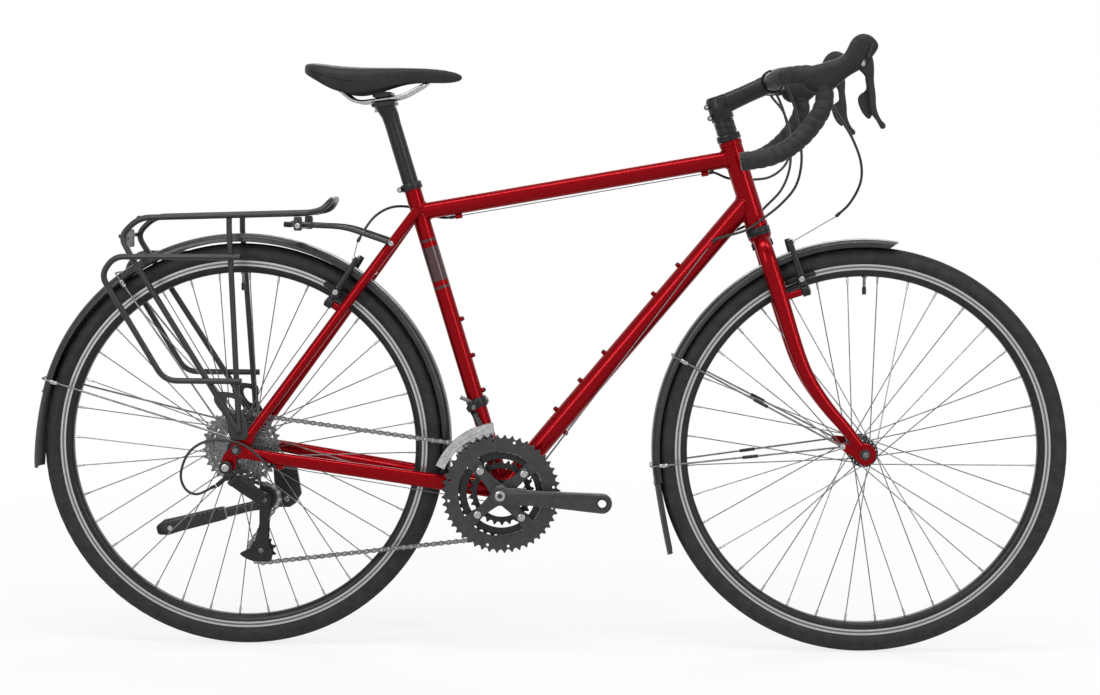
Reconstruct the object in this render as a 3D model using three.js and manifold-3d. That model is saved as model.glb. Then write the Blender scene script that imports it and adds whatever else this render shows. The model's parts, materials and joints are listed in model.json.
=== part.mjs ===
// A touring bicycle, standing upright with its front towards +X, its left side towards +Y and
// the ground at Z = 0. All lengths are millimetres. The drive side, with the chain, is at -Y.
import * as THREE from 'three';
import Module from 'manifold-3d';
import { mergeVertices } from 'three/addons/utils/BufferGeometryUtils.js';

const wasm = await Module();
wasm.setup();

// Whole bicycle
const wheelbase = 1047;
const tyreRadius = 343;
const touchGap = 0.3;
const runningGap = 0.35;
const overrun = 2;

// Frame: where its tubes meet and how thick they are
const frameSize = {
  chainstayReach: 442,
  bottomBracketDrop: 72,
  seatTubeLength: 536,
  topTubeBelowSeatTop: 46,
  headTopBehindAxle: 227.5,
  headTopAboveAxle: 518.2,
  headTubeLength: 151.4,
  topTubeBelowHeadTop: 29.5,
  downTubeAboveHeadBottom: 48,
  seatTubeRadius: 14.3,
  topTubeRadius: 14.3,
  downTubeRadius: 17.45,
  headTubeRadius: 18.2,
  tubeWall: 1.1,
  shellRadius: 20,
  shellLength: 68,
  shellWall: 3,
  chainstayTallFront: 14.5,
  chainstayTallRear: 10,
  chainstayWide: 8.5,
  seatstayRadius: 8.2,
  seatstayTopOffset: 13,
  seatstayTopDrop: -5,
  seatstayForward: 22,
  seatstayRise: 25,
  bridgeRadius: 5,
  dropoutThickness: 7,
  dropoutReach: 35,
  bossRadius: 3.6,
  bossHeight: 7,
  stopRadius: 4.4,
  stopRiseShare: 0.74,
  stopLength: 12,
  stayStopForward: 72,
};
const seatLean = THREE.MathUtils.degToRad(16.9);
const headLean = THREE.MathUtils.degToRad(18.16);
const frameShares = {
  stayBendPlace: 0.8,
  stayBendRadius: 4,
  chainstayEnd: 3,
  flattenedFrom: 0.9,
  clampEarReach: 0.8,
  headBoreGap: 3,
  eyeletBack: 0.35,
  eyeletRise: 0.64,
};
// Stations along a chainstay and how far each stands off the middle
const chainstayShares = [
  { along: -0.02, side: 0.3 }, { along: 0.1, side: 0.39 }, { along: 0.18, side: 0.475 },
  { along: 0.3, side: 0.55 }, { along: 0.5, side: 0.69 }, { along: 0.76, side: 0.9 },
  { along: 0.94, side: 1 }, { along: 1, side: 1 },
];

// The dropout's outline from its axle, in shares of its reach, with or without the gear hanger
const dropoutOutlineShares = [
  [-0.2, 0.3], [-0.42, 0.52], [-0.44, 0.66], [-0.28, 0.74], [-0.05, 0.68], [0.06, 0.92], [0.26, 0.94],
  [0.4, 0.74], [0.78, 0.78], [0.86, 0.5], [0.66, 0.1], [0.86, 0.02], [0.86, -0.38], [0.2, -0.42],
  [0.02, -0.4],
];
const hangerOutlineShares = [[-0.1, -0.96], [-0.46, -1.06], [-0.72, -0.86], [-0.64, -0.3]];
const plainEndShares = [[-0.3, -0.4], [-0.42, -0.1]];

// Places of the bottle studs and cable stops along their tubes
const seatBossShares = [0.32, 0.435, 0.555];
const downBossShares = [0.254, 0.354, 0.451, 0.653, 0.752];
const lowerBossShares = [0.122, 0.222];
const topStopShares = [0.12, 0.9];
const downStopShare = 0.845;

// Wheels, tyres, rims and hubs
const wheelSize = {
  tyreHalfWidth: 17,
  rimOuterRadius: 314.8,
  rimInnerRadius: 293.5,
  rimHalfWidth: 12,
  rimWall: 2.2,
  tyreBeadRadius: 309.6,
  frontSpacing: 100,
  rearSpacing: 135,
  axleRadius: 5,
  nutRadius: 8.5,
  nutLength: 7,
  flangeRadius: 24,
  flangeThickness: 5,
  spokeCircleRadius: 20.5,
  hubBarrelRadius: 14,
  frontFlangeOffset: 34,
  rearFlangeOffsetLeft: 33,
  rearFlangeOffsetRight: 19,
  freehubRadius: 16.5,
  hubEndGap: 3,
  spokeRadius: 1.15,
};
const spokeCount = 36;
const crossedSpokes = 3;
const spokeLeans = [1, -1, -1, 1];
const spokeTipShare = 0.08;
const firstSpokeAngles = { front: THREE.MathUtils.degToRad(5.6), rear: THREE.MathUtils.degToRad(7.9) };
const wheelSegments = 28;
const wheelShares = {
  beadGap: 4,
  tyreSideInward: 0.1,
  tyreShoulder: 0.7,
  tyreShoulderWidth: 0.72,
  wellGap: 2,
  rimBedWidth: 0.5,
  rimFlare: 3,
  hubShoulder: 1.2,
  hubNeck: 2,
};

// Chain drive
const driveSize = {
  chainPitch: 12.7,
  sprocketHalfThickness: 0.8,
  sprocketSpacing: 4.35,
  largestSprocketOffset: 26.5,
  toothHeight: 3,
  cassetteWall: 3,
  middleRingOffset: 50,
  ringSpacing: 8,
  ringWall: 9,
  boltCircleRadius: 52,
  boltRadius: 5,
  plateInner: 1.4,
  plateOuter: 2.9,
  plateHalfHeight: 4,
  pinRadius: 1.6,
  pulleyBoltRadius: 3,
};
const sprocketTeeth = [32, 28, 24, 21, 18, 16, 14, 12, 11];
const ringTeeth = { outer: 48, middle: 36, inner: 26 };
const usedSprocket = 1;
const pulleyTeeth = 11;
const linksPerPin = 10;
const chainStepAngle = THREE.MathUtils.degToRad(36);
const driveShares = {
  innerBolt: 0.62,
  tabWidth: 3,
  spiderReach: 1.4,
  bendAway: 2.2,
  bendLimit: 0.42,
  pinReach: 1.2,
};

// Cranks and bottom bracket
const crankSize = {
  length: 170,
  armHubRadius: 17,
  armEndRadius: 16.5,
  armWaist: 12.5,
  armThickness: 13,
  armBevel: 2.5,
  hubFace: 68,
  endFace: 82,
  pedalHoleRadius: 7,
  spindleRadius: 11.5,
  cupOuterRadius: 21,
  cupLength: 7,
  spiderThickness: 5,
  spiderArmWidth: 15,
};
const crankAngle = THREE.MathUtils.degToRad(-3.2);
const crankHubArc = [63, 297].map(THREE.MathUtils.degToRad);
const crankWaistShare = 0.3;

// Steering: headset, fork, spacers, stem and handlebar
const steerSize = {
  steererRadius: 14.3,
  steererWall: 1.8,
  bearingRadius: 20.5,
  upperStack: 12.6,
  lowerStack: 13.8,
  spacerRadius: 17,
  spacerStack: 23,
  stemClampHeight: 38,
  stemClampRadius: 19,
  stemRadius: 16,
  stemReach: 96,
  stemStart: 24,
  capHeight: 3.4,
  capRadius: 17.5,
  barClampRadius: 15.9,
  barClampWall: 4.2,
  barClampHalfWidth: 21,
  barBulgeHalfWidth: 50,
  barRadius: 11.9,
  barHalfWidth: 212,
  barReach: 68,
  barDrop: 134,
  tapeRadius: 15,
  tapeStart: 60,
  plugLength: 3,
  plugRadius: 9,
};
const stemRise = THREE.MathUtils.degToRad(6.5);
const steerShares = {
  stemEarReach: 0.7,
  faceplatePlace: 0.35,
  capTop: 0.9,
  bulgeStart: 1.5,
  tapeGap: 1.5,
  tapeEndRadius: 1.5,
};
const barStationCount = 11;
const barRouteShares = {
  width: [0, 0.5, 0.72, 0.88, 0.97, 1, 1, 1.005, 1.01, 1.015, 1.02, 1.025, 1.03, 1.035],
  forward: [0, 0, 0.01, 0.12, 0.36, 0.62, 0.88, 0.99, 0.97, 0.85, 0.56, 0.2, -0.24, -0.88],
  drop: [0, 0, 0, 0, -0.01, -0.01, 0.07, 0.24, 0.33, 0.47, 0.67, 0.83, 0.94, 1],
};

// Fork blades, in the steering frame, as shares of the fork's length and spread
const forkSize = {
  bladeHalfDepthTop: 14,
  bladeHalfDepthLow: 9.5,
  bladeHalfWidthTop: 10,
  bladeHalfWidthLow: 7.5,
  bladeWall: 1.8,
  endRadius: 19,
  endThickness: 7,
  bladeOffset: 54,
  eyeletBack: 38,
  eyeletRise: 13,
  bossRadius: 6,
};
const ventReachShare = 1.5;
const bladeRouteShares = [
  { down: 0.05, out: 0.14, forward: 0, taper: 0 },
  { down: 0.105, out: 0.56, forward: 0, taper: 0 },
  { down: 0.25, out: 0.69, forward: 0, taper: 0.05 },
  { down: 0.56, out: 0.85, forward: 0, taper: 0.35 },
  { down: 0.66, out: 0.89, forward: 0.1, taper: 0.5 },
  { down: 0.78, out: 0.93, forward: 0.37, taper: 0.72 },
  { down: 0.87, out: 0.97, forward: 0.66, taper: 0.88 },
  { down: 0.965, out: 1, forward: 0.92, taper: 1 },
];

// Brake lever, hood and shift paddle on each side, as shares of the lever's length
const leverSize = {
  length: 102,
  pivotForward: 126,
  pivotUp: 21,
  leverHalfThickness: 5.5,
  hoodHalfThickness: 15.5,
  hoodBevel: 6,
  leverBevel: 2,
  pinRadius: 3,
  paddleThickness: 3.2,
  paddlePinRadius: 2.4,
};
const leverOutlineShares = [
  [0.1, 0.15], [0.15, 0.05], [0.17, -0.1], [0.17, -0.27], [0.2, -0.49], [0.22, -0.71], [0.29, -0.87],
  [0.36, -0.95], [0.35, -1], [0.3, -1.01], [0.23, -0.9], [0.12, -0.74], [0.09, -0.56], [0.07, -0.38],
  [0.04, -0.22], [-0.06, -0.1], [-0.09, 0], [-0.06, 0.08],
];
const hoodOutlineShares = [
  [-0.62, -0.42], [-0.62, -0.05], [-0.4, 0.06], [-0.27, 0.15], [-0.2, 0.27], [-0.17, 0.38], [-0.1, 0.44],
  [0, 0.47], [0.1, 0.44], [0.2, 0.36], [0.235, 0.27], [0.2, 0.18], [0.14, 0.08], [0.08, -0.05],
  [-0.01, -0.11], [-0.1, -0.14], [-0.2, -0.2], [-0.34, -0.27], [-0.44, -0.4],
];
const slotShares = { back: -0.16, front: 0.5, low: -0.5, high: 0.19 };
const paddleOutlineShares = [
  [0.05, -0.2], [0.12, -0.2], [0.14, -0.36], [0.15, -0.6], [0.17, -0.76], [0.12, -0.86], [0.04, -0.8],
  [-0.03, -0.68], [-0.06, -0.55], [-0.03, -0.49], [0.06, -0.41],
];
const paddlePivotShares = [0.09, -0.24];

// Saddle, its rails and the seatpost
const seatSize = {
  postRadius: 13.6,
  postInsert: 120,
  postTravel: 62,
  postWall: 2.2,
  postTopRise: 658,
  saddleLength: 262,
  saddleHalfWidth: 76,
  saddleTall: 56,
  saddleTailBack: 141,
  saddleTopRise: 87,
  railRadius: 3.5,
  railSpread: 22,
  railDepth: 38,
  headLength: 44,
  headWidth: 60,
  headThickness: 8,
  clampLength: 34,
  collarHeight: 12,
  collarRise: 5,
  collarWall: 3.2,
};
// Stations from tail to nose: place along the length, half-width, top and lower edge heights
const saddleStationShares = [
  { along: 0, wide: 0.42, top: 0.94, low: 0.74, roof: 0.8 },
  { along: 0.03, wide: 0.72, top: 0.99, low: 0.6, roof: 0.66 },
  { along: 0.1, wide: 0.94, top: 0.99, low: 0.42, roof: 0.6 },
  { along: 0.2, wide: 1, top: 0.93, low: 0.12, roof: 0.56 },
  { along: 0.31, wide: 0.92, top: 0.89, low: 0, roof: 0.54 },
  { along: 0.42, wide: 0.7, top: 0.88, low: 0.08, roof: 0.53 },
  { along: 0.53, wide: 0.47, top: 0.88, low: 0.24, roof: 0.52 },
  { along: 0.64, wide: 0.33, top: 0.88, low: 0.4, roof: 0.52 },
  { along: 0.76, wide: 0.27, top: 0.87, low: 0.44, roof: 0.5 },
  { along: 0.88, wide: 0.25, top: 0.83, low: 0.42, roof: 0.47 },
  { along: 0.96, wide: 0.2, top: 0.75, low: 0.46, roof: 0.5 },
  { along: 1, wide: 0.1, top: 0.66, low: 0.54, roof: 0.56 },
];
const saddleCrownShares = [
  [-0.96, 0], [-1, 0.2], [-0.99, 0.5], [-0.93, 0.78], [-0.78, 0.93], [-0.45, 1], [0, 0.99],
  [0.45, 1], [0.78, 0.93], [0.93, 0.78], [0.99, 0.5], [1, 0.2], [0.96, 0],
];
const saddleRoofShares = [0.86, 0.5, 0, -0.5, -0.86];
const roofCurve = 6;
// Stations along a saddle rail: place along the saddle, distance from its middle, and drop
const railStationShares = [
  { along: 0.16, side: 1.5, drop: 0.05 },
  { along: 0.3, side: 1.1, drop: 0.86 },
  { along: 0.36, side: 1, drop: 0.97 },
  { along: 0.62, side: 1, drop: 0.74 },
  { along: 0.78, side: 0.6, drop: 0.12 },
];
const clampShares = {
  railTop: 0.5,
  railMiddle: 0.5,
  railBend: 0.5,
  neckRadius: 0.8,
  jawWidth: 0.95,
  boltRadius: 1.3,
};

// Mudguards and their stays
const guardSize = {
  halfWidth: 22,
  sideDrop: 14,
  sheet: 1.6,
  rearRadius: 355,
  rearLift: 5,
  frontRadius: 354,
  frontLift: 3,
  stayRadius: 1.7,
  stayClampLength: 14,
  stayClampRadius: 4.5,
  flapSheet: 2.4,
  flapDrop: 9,
  rearFlapReach: 10,
  frontFlapReach: 20,
  eyeletOffset: 5,
};
const guardAngles = {
  rear: [-8.5, 166].map(THREE.MathUtils.degToRad),
  front: [81.5, 190].map(THREE.MathUtils.degToRad),
  rearStays: [126.5, 162.5].map(THREE.MathUtils.degToRad),
  frontStays: [154, 185].map(THREE.MathUtils.degToRad),
  rearFlap: [165, 187.5].map(THREE.MathUtils.degToRad),
  frontFlap: [189, 209.5].map(THREE.MathUtils.degToRad),
};
const flapSectionShares = [[-1, 1], [-0.6, 0.2], [0.6, 0.2], [1, 1]];
const flapStationShares = [0, 0.3, 0.65, 1];
const flapWidthShares = { top: 0.9, spread: 0.2 };
const guardStationCounts = { rear: 14, front: 9 };
const stayBoltShares = { length: 3, radius: 2 };
const guardSectionShares = [[-1, 1], [-0.94, 0.4], [-0.55, 0.06], [0.55, 0.06], [0.94, 0.4], [1, 1]];

// Rear rack, measured from the rear axle
const rackSize = {
  tubeRadius: 5,
  armRadius: 4,
  halfWidth: 58,
  footHalfWidth: 80,
  loopHalfWidth: 82,
  railRise: 386,
  railFrontRise: 395,
  railFront: 120,
  railRear: -164,
  noseForward: 156,
  noseRise: 418,
  noseHalfWidth: 30,
  tailBack: -195,
  tailRise: 355,
  tailTuck: -176,
  tailTuckRise: 322,
  footBack: 6,
  footRise: 31,
  uprightBack: -12,
  loopRise: 322,
  loopBack: -222,
  loopLowBack: -118,
  loopLowRise: 116,
  loopFront: 10,
  bendRadius: 22,
  crossTubeRadius: 3.5,
  platePlace: -193,
  plateRise: 350,
  plateWidth: 50,
  plateHeight: 30,
  plateThickness: 3,
  clampSize: 13,
  clampSetback: 17,
  armRise: 372,
  armBend: 74,
};

const rackShares = {
  railBend: 1.6,
  loopBend: 1.4,
  tieBack: 0.4,
  lugRadius: 1.1,
  noseWidth: 0.9,
  armSpread: 0.62,
  clampBarRadius: 1.2,
  clampGap: 3,
  armEnd: 0.25,
  armEndGap: 4,
};

// Rim brakes: a pair of arms at each wheel
const brakeSize = {
  pivotRadius: 289,
  pivotHalfWidth: 40,
  frontPivotForward: 43.36427,
  topHalfWidth: 33,
  armLength: 88,
  armDepth: 13,
  armThickness: 8,
  rearStandoff: 24,
  frontStandoff: 34,
  hubRadius: 9,
  padLength: 54,
  padHeight: 9,
  padThickness: 8,
  padGap: 1.4,
  padRise: 21,
  postRadius: 4,
};
// Along a brake arm: rise, and its depth there
const armStationShares = [[0, 1], [0.35, 1], [0.7, 0.8], [1, 0.7]];
const padShares = { belowRimEdge: 0.6, slip: 0.5 };
// The rear pivots stand a little above the stay's own line
const rearBrakeLean = THREE.MathUtils.degToRad(4.445);

// Derailleurs
const shiftSize = {
  bandRise: 146,
  bandHeight: 16,
  bandWall: 3,
  cageInnerRadius: 103,
  cageOuterRadius: 119,
  cageDeepRadius: 80,
  cagePlate: 1.6,
  cageHalfGap: 6,
  cageInnerGap: 8.6,
  hangerBack: 16.5,
  hangerDrop: 28.5,
  knuckleRadius: 11,
  knuckleLength: 13,
  guideForward: 42.5,
  guideDrop: 86,
  cageLength: 90.5,
  pivotRadius: 12,
  jockeyPlateRadius: 11,
  jockeyPlate: 1.8,
  jockeyHalfGap: 5,
  linkWidth: 22,
  linkThickness: 12,
  knuckleStandoff: 76,
};
const cageAngles = [97, 157].map(THREE.MathUtils.degToRad);
const bandShares = {
  armTall: 1.2,
  armRise: 0.4,
  armBack: 0.4,
  armOut: 0.5,
  hangerDrop: 0.6,
  hangerGap: 3,
  hangerTopWide: 0.35,
  hangerTopDeep: 0.3,
  hangerLowWide: 0.3,
  hangerLowDeep: 0.4,
};
const cageShares = { deepArc: 0.7, tailArc: 0.06, bridgeDepth: 2 };
const mechShares = {
  lowerKnuckleLength: 1.4,
  linkTopForward: 1.2,
  linkTopOut: 0.6,
  linkTopDrop: 1.9,
  linkLowBack: 0.36,
  linkHalfWide: 0.3,
  barrelRadius: 0.34,
  barrelBack: 2.6,
  barrelDrop: 0.9,
  barrelGap: 3,
  outerPlateEnd: 1.3,
  innerPlateEnd: 1.1,
};
const cageBridgeAngles = [100, 114].map(THREE.MathUtils.degToRad);
const cageFinShares = [[-3.3, -0.55], [-1.45, -1.7], [1.45, -1.65], [1.9, 1.1]];
const jockeyAngle = THREE.MathUtils.degToRad(264.5);

// Kickstand, folded back along the left side
const standSize = {
  offset: 66,
  bracketThickness: 12,
  pivotForward: 62,
  pivotDrop: 103,
  pivotRadius: 15,
  legLength: 240,
  legHalfHeight: 15,
  legHalfThickness: 7,
  pinRadius: 4,
};
const standBracketShares = [[-1, 0], [-0.6, -0.8], [0.6, -0.8], [1.6, 0.5]];
const standTopShares = [0.9, -1.7];
// Stations along the leg: place, height above and below its line, thickness
const standLegShares = [
  [-0.05, 0.9, 0.9, 1], [0.07, 0.95, 0.8, 1], [0.3, 0.55, 0.55, 0.8], [0.48, 0.6, 0.6, 0.8],
  [0.5, 0.75, 0.75, 1], [0.84, 0.9, 0.85, 1], [0.93, 1, 0.9, 1], [1, 0.6, 0.2, 1],
];
const standGapShare = 4;
const standLean = THREE.MathUtils.degToRad(194.2);

// Cables: casing and bare wire
const cableSize = { casingRadius: 2.2, wireRadius: 0.8, holeRadius: 1.4, straightLength: 7 };
const wireInsideShare = 0.3;
const casingStationCounts = { rearBrake: 11, frontBrake: 10, gear: 12, loop: 13 };

// Number of flat sides on round things
const sides = { tube: 12, rod: 8, small: 6, boss: 5, wire: 4, spoke: 3, ring: 18, largeRing: 24, cog: 8 };
const seamTolerance = 0.05;
// A bend takes up no more than this share of the straight on each side of it
const bendLimitShare = 0.45;

const v = (x, y, z) => new THREE.Vector3(x, y, z);
const onCircle = (angle, radius, centre) =>
  [centre[0] + radius * Math.cos(angle), centre[1] + radius * Math.sin(angle)];

// A closed geometry as a solid, without the flat triangles that an axis or a seam leaves
function toSolid(geometry) {
  const bare = geometry.index ? geometry.toNonIndexed() : geometry.clone();
  bare.deleteAttribute('normal');
  bare.deleteAttribute('uv');
  const merged = mergeVertices(bare);
  const corners = merged.index.array;
  const kept = [];
  for (let i = 0; i < corners.length; i += 3) {
    const [a, b, c] = corners.slice(i, i + 3);
    if (a !== b && b !== c && a !== c) kept.push(a, b, c);
  }
  return new wasm.Manifold(new wasm.Mesh({
    numProp: 3,
    vertProperties: Float32Array.from(merged.attributes.position.array),
    triVerts: Uint32Array.from(kept),
  }));
}

function toGeometry(solid) {
  const mesh = solid.getMesh();
  const geometry = new THREE.BufferGeometry();
  geometry.setAttribute('position', new THREE.BufferAttribute(mesh.vertProperties, mesh.numProp));
  geometry.setIndex(new THREE.BufferAttribute(mesh.triVerts, 1));
  return geometry;
}

const join = (...solids) => solids.flat().reduce((whole, piece) => whole.add(piece));
const cut = (solid, ...cutters) => cutters.flat().reduce((rest, cutter) => rest.subtract(cutter), solid);

// A round bar or cone between two points
function rod(from, to, radius, count = sides.rod, endRadius = radius) {
  const along = to.clone().sub(from);
  const geometry = new THREE.CylinderGeometry(endRadius, radius, along.length(), count);
  geometry.applyQuaternion(new THREE.Quaternion().setFromUnitVectors(v(0, 1, 0), along.normalize()));
  const middle = from.clone().add(to).divideScalar(2);
  geometry.translate(middle.x, middle.y, middle.z);
  return toSolid(geometry);
}

// A bar between two points, run on past both of them
function longRod(from, to, radius, count, extra = overrun) {
  const step = to.clone().sub(from).normalize().multiplyScalar(extra);
  return rod(from.clone().sub(step), to.clone().add(step), radius, count);
}

// The radius of a hole with flat sides, so that each flat clears a round bar by the gap
const holeRadius = (barRadius, gap, count = sides.tube) => (barRadius + gap) / Math.cos(Math.PI / count);

const ring = (from, to, outer, inner, count = sides.tube) =>
  cut(rod(from, to, outer, count), longRod(from, to, inner, count));

// A bar across the bicycle, from one Y value to another
const crossRod = (x, z, from, to, radius, count = sides.rod) =>
  rod(v(x, from, z), v(x, to, z), radius, count);

// A shape turned about the Y axis through a centre: the profile holds [radius, y] pairs
function lathe(profile, centre = v(0, 0, 0), count = wheelSegments) {
  const geometry = new THREE.LatheGeometry(profile.map(([r, y]) => new THREE.Vector2(r, y)), count);
  geometry.translate(centre.x, centre.y, centre.z);
  return toSolid(geometry);
}

// A flat plate in the XZ plane between two Y values, its outline given as [x, z] pairs
function plate(outline, low, high, bevel = 0, holes = []) {
  const shape = new THREE.Shape(outline.map(([x, z]) => new THREE.Vector2(x, z)));
  shape.holes = holes.map((hole) => new THREE.Path(hole.map(([x, z]) => new THREE.Vector2(x, z))));
  const geometry = new THREE.ExtrudeGeometry(shape, {
    depth: high - low - 2 * bevel,
    bevelEnabled: bevel > 0,
    bevelThickness: bevel,
    bevelSize: bevel,
    bevelOffset: -bevel,
    bevelSegments: 1,
  });
  geometry.rotateX(Math.PI / 2);
  geometry.translate(0, high - bevel, 0);
  return toSolid(geometry);
}

function block(centre, size, turnY = 0) {
  const geometry = new THREE.BoxGeometry(size.x, size.y, size.z);
  geometry.rotateY(turnY);
  geometry.translate(centre.x, centre.y, centre.z);
  return toSolid(geometry);
}

// A route given by its own stations, so that a tube has rings only where it bends
class Route extends THREE.Curve {
  constructor(stations) {
    super();
    this.stations = stations;
  }

  getPoint(t, target = new THREE.Vector3()) {
    const last = this.stations.length - 1;
    const place = Math.min(Math.round(t * last), last);
    return target.copy(this.stations[place]);
  }

  getPointAt(u, target) {
    return this.getPoint(u, target);
  }

  getSpacedPoints() {
    return this.stations;
  }

  getTangentAt(u, target = new THREE.Vector3()) {
    const last = this.stations.length - 1;
    const place = Math.min(Math.round(u * last), last);
    const before = this.stations[Math.max(place - 1, 0)];
    const here = this.stations[place];
    const after = this.stations[Math.min(place + 1, last)];
    const arrive = here.clone().sub(before).normalize();
    const leave = after.clone().sub(here).normalize();
    return target.copy(arrive.add(leave)).normalize();
  }
}

// A tube with one ring at each station
function pipe(stations, radius, count = sides.small) {
  const circle = new THREE.Shape();
  circle.absarc(0, 0, radius, 0, 2 * Math.PI, false);
  const geometry = new THREE.ExtrudeGeometry(circle, {
    curveSegments: count / 2,
    steps: stations.length - 1,
    extrudePath: new Route(stations),
  });
  return toSolid(geometry);
}

// Corners of a bent tube, each rounded by a few stations
function rounded(corners, bendRadius, steps = 3) {
  const stations = [corners[0]];
  for (let i = 1; i < corners.length - 1; i += 1) {
    const back = corners[i - 1].clone().sub(corners[i]);
    const on = corners[i + 1].clone().sub(corners[i]);
    const reach = Math.min(bendRadius, back.length() * bendLimitShare, on.length() * bendLimitShare);
    const bend = new THREE.QuadraticBezierCurve3(
      corners[i].clone().add(back.setLength(reach)),
      corners[i],
      corners[i].clone().add(on.setLength(reach)),
    );
    stations.push(...bend.getPoints(steps));
  }
  stations.push(corners[corners.length - 1]);
  return stations;
}

const smooth = (points, count) => new THREE.CatmullRomCurve3(points, false, 'centripetal')
  .getSpacedPoints(count);

// A solid through closed rings of points, capped at both ends unless the rings close on themselves
function loft(rings, closed = false) {
  const count = rings[0].length;
  const places = rings.flat().flatMap((p) => [p.x, p.y, p.z]);
  const corners = [];
  const last = closed ? rings.length : rings.length - 1;
  for (let r = 0; r < last; r += 1) {
    const here = r * count;
    const next = ((r + 1) % rings.length) * count;
    for (let i = 0; i < count; i += 1) {
      const j = (i + 1) % count;
      corners.push(here + i, here + j, next + j, here + i, next + j, next + i);
    }
  }
  if (!closed) {
    for (const [start, flip] of [[0, false], [(rings.length - 1) * count, true]]) {
      const flat = flatten(rings[start / count]);
      for (const [a, b, c] of THREE.ShapeUtils.triangulateShape(flat, [])) {
        const face = flip ? [start + a, start + b, start + c] : [start + c, start + b, start + a];
        corners.push(...face);
      }
    }
  }
  const geometry = new THREE.BufferGeometry();
  geometry.setAttribute('position', new THREE.Float32BufferAttribute(places, 3));
  geometry.setIndex(corners);
  if (signedVolume(places, corners) < 0) geometry.setIndex(corners.reverse());
  return toSolid(geometry);
}

// A ring of points in its own plane, kept in the order that makes its outline turn one way
function flatten(points) {
  const centre = points.reduce((sum, p) => sum.add(p), v(0, 0, 0)).divideScalar(points.length);
  const normal = v(0, 0, 0);
  points.forEach((p, i) => {
    const next = points[(i + 1) % points.length];
    normal.add(p.clone().sub(centre).cross(next.clone().sub(centre)));
  });
  const across = points[0].clone().sub(centre).normalize();
  const up = normal.normalize().clone().cross(across);
  return points.map((p) => {
    const offset = p.clone().sub(centre);
    return new THREE.Vector2(offset.dot(across), offset.dot(up));
  });
}

function signedVolume(places, corners) {
  const point = (i) => v(places[3 * i], places[3 * i + 1], places[3 * i + 2]);
  let total = 0;
  for (let i = 0; i < corners.length; i += 3) {
    total += point(corners[i]).dot(point(corners[i + 1]).cross(point(corners[i + 2])));
  }
  return total;
}

// An oval ring round a centre, with its half-axes given as vectors
function oval(centre, first, second, count) {
  return Array.from({ length: count }, (_, i) => {
    const angle = (2 * Math.PI * i) / count;
    return centre.clone().addScaledVector(first, Math.cos(angle)).addScaledVector(second, Math.sin(angle));
  });
}

// The fixed places of the bicycle, all worked out from the frame's sizes
const rearAxle = v(-wheelbase / 2, 0, tyreRadius);
const frontAxle = v(wheelbase / 2, 0, tyreRadius);
const bracket = v(rearAxle.x + frameSize.chainstayReach, 0, tyreRadius - frameSize.bottomBracketDrop);
const seatUp = v(-Math.sin(seatLean), 0, Math.cos(seatLean));
const steerUp = v(-Math.sin(headLean), 0, Math.cos(headLean));
const steerForward = v(Math.cos(headLean), 0, Math.sin(headLean));
const seatTop = bracket.clone().addScaledVector(seatUp, frameSize.seatTubeLength);
const headTop = frontAxle.clone().add(v(-frameSize.headTopBehindAxle, 0, frameSize.headTopAboveAxle));
const headBottom = headTop.clone().addScaledVector(steerUp, -frameSize.headTubeLength);

const onSeat = (up, forward = 0, side = 0) => bracket.clone().addScaledVector(seatUp, up)
  .addScaledVector(v(seatUp.z, 0, -seatUp.x), forward).add(v(0, side, 0));
const onSteerer = (up, forward = 0, side = 0) => headBottom.clone().addScaledVector(steerUp, up)
  .addScaledVector(steerForward, forward).add(v(0, side, 0));
const fromRear = (x, y, z) => rearAxle.clone().add(v(x, y, z));

const forkReach = frontAxle.clone().sub(headBottom);
const forkLength = -forkReach.dot(steerUp);
const forkRake = forkReach.dot(steerForward);

const topTubeRear = onSeat(frameSize.seatTubeLength - frameSize.topTubeBelowSeatTop);
const topTubeFront = headTop.clone().addScaledVector(steerUp, -frameSize.topTubeBelowHeadTop);
const downTubeFront = headBottom.clone().addScaledVector(steerUp, frameSize.downTubeAboveHeadBottom);
const topTubeDirection = topTubeFront.clone().sub(topTubeRear).normalize();
const downTubeDirection = downTubeFront.clone().sub(bracket).normalize();
const topTubeBelow = v(topTubeDirection.z, 0, -topTubeDirection.x);
const downTubeBelow = v(downTubeDirection.z, 0, -downTubeDirection.x);

const pitchRadius = (teeth) => driveSize.chainPitch / (2 * Math.sin(Math.PI / teeth));
const dropoutInner = wheelSize.rearSpacing / 2;
const dropoutOuter = dropoutInner + frameSize.dropoutThickness;
const postBore = seatSize.postRadius + touchGap;

// Frame

function chainstayRings(side, thinner) {
  const start = bracket;
  const end = fromRear(frameSize.dropoutThickness * frameShares.chainstayEnd, 0,
    -frameSize.dropoutThickness);
  const sideReach = (dropoutInner + dropoutOuter) / 2;
  return chainstayShares.map(({ along, side: share }) => {
    const centre = start.clone().lerp(end, Math.max(along, 0)).add(v(0, side * share * sideReach, 0));
    const tall = THREE.MathUtils.lerp(frameSize.chainstayTallFront, frameSize.chainstayTallRear, along)
      - thinner;
    const wide = (along > frameShares.flattenedFrom
      ? frameSize.dropoutThickness : frameSize.chainstayWide) - thinner;
    return oval(centre, v(0, wide, 0), v(0, 0, tall), sides.rod);
  });
}

function seatstayPoints(side) {
  const low = fromRear(frameSize.seatstayForward, side * (dropoutInner + dropoutOuter) / 2,
    frameSize.seatstayRise);
  const top = topTubeRear.clone().addScaledVector(seatUp, -frameSize.seatstayTopDrop);
  const wide = (guardSize.halfWidth + frameSize.seatstayRadius + frameSize.stopRadius) * side;
  const bend = low.clone().lerp(top, frameShares.stayBendPlace);
  bend.y = wide;
  const end = top.clone();
  end.y = side * frameSize.seatstayTopOffset;
  return [low, bend, end];
}

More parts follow.
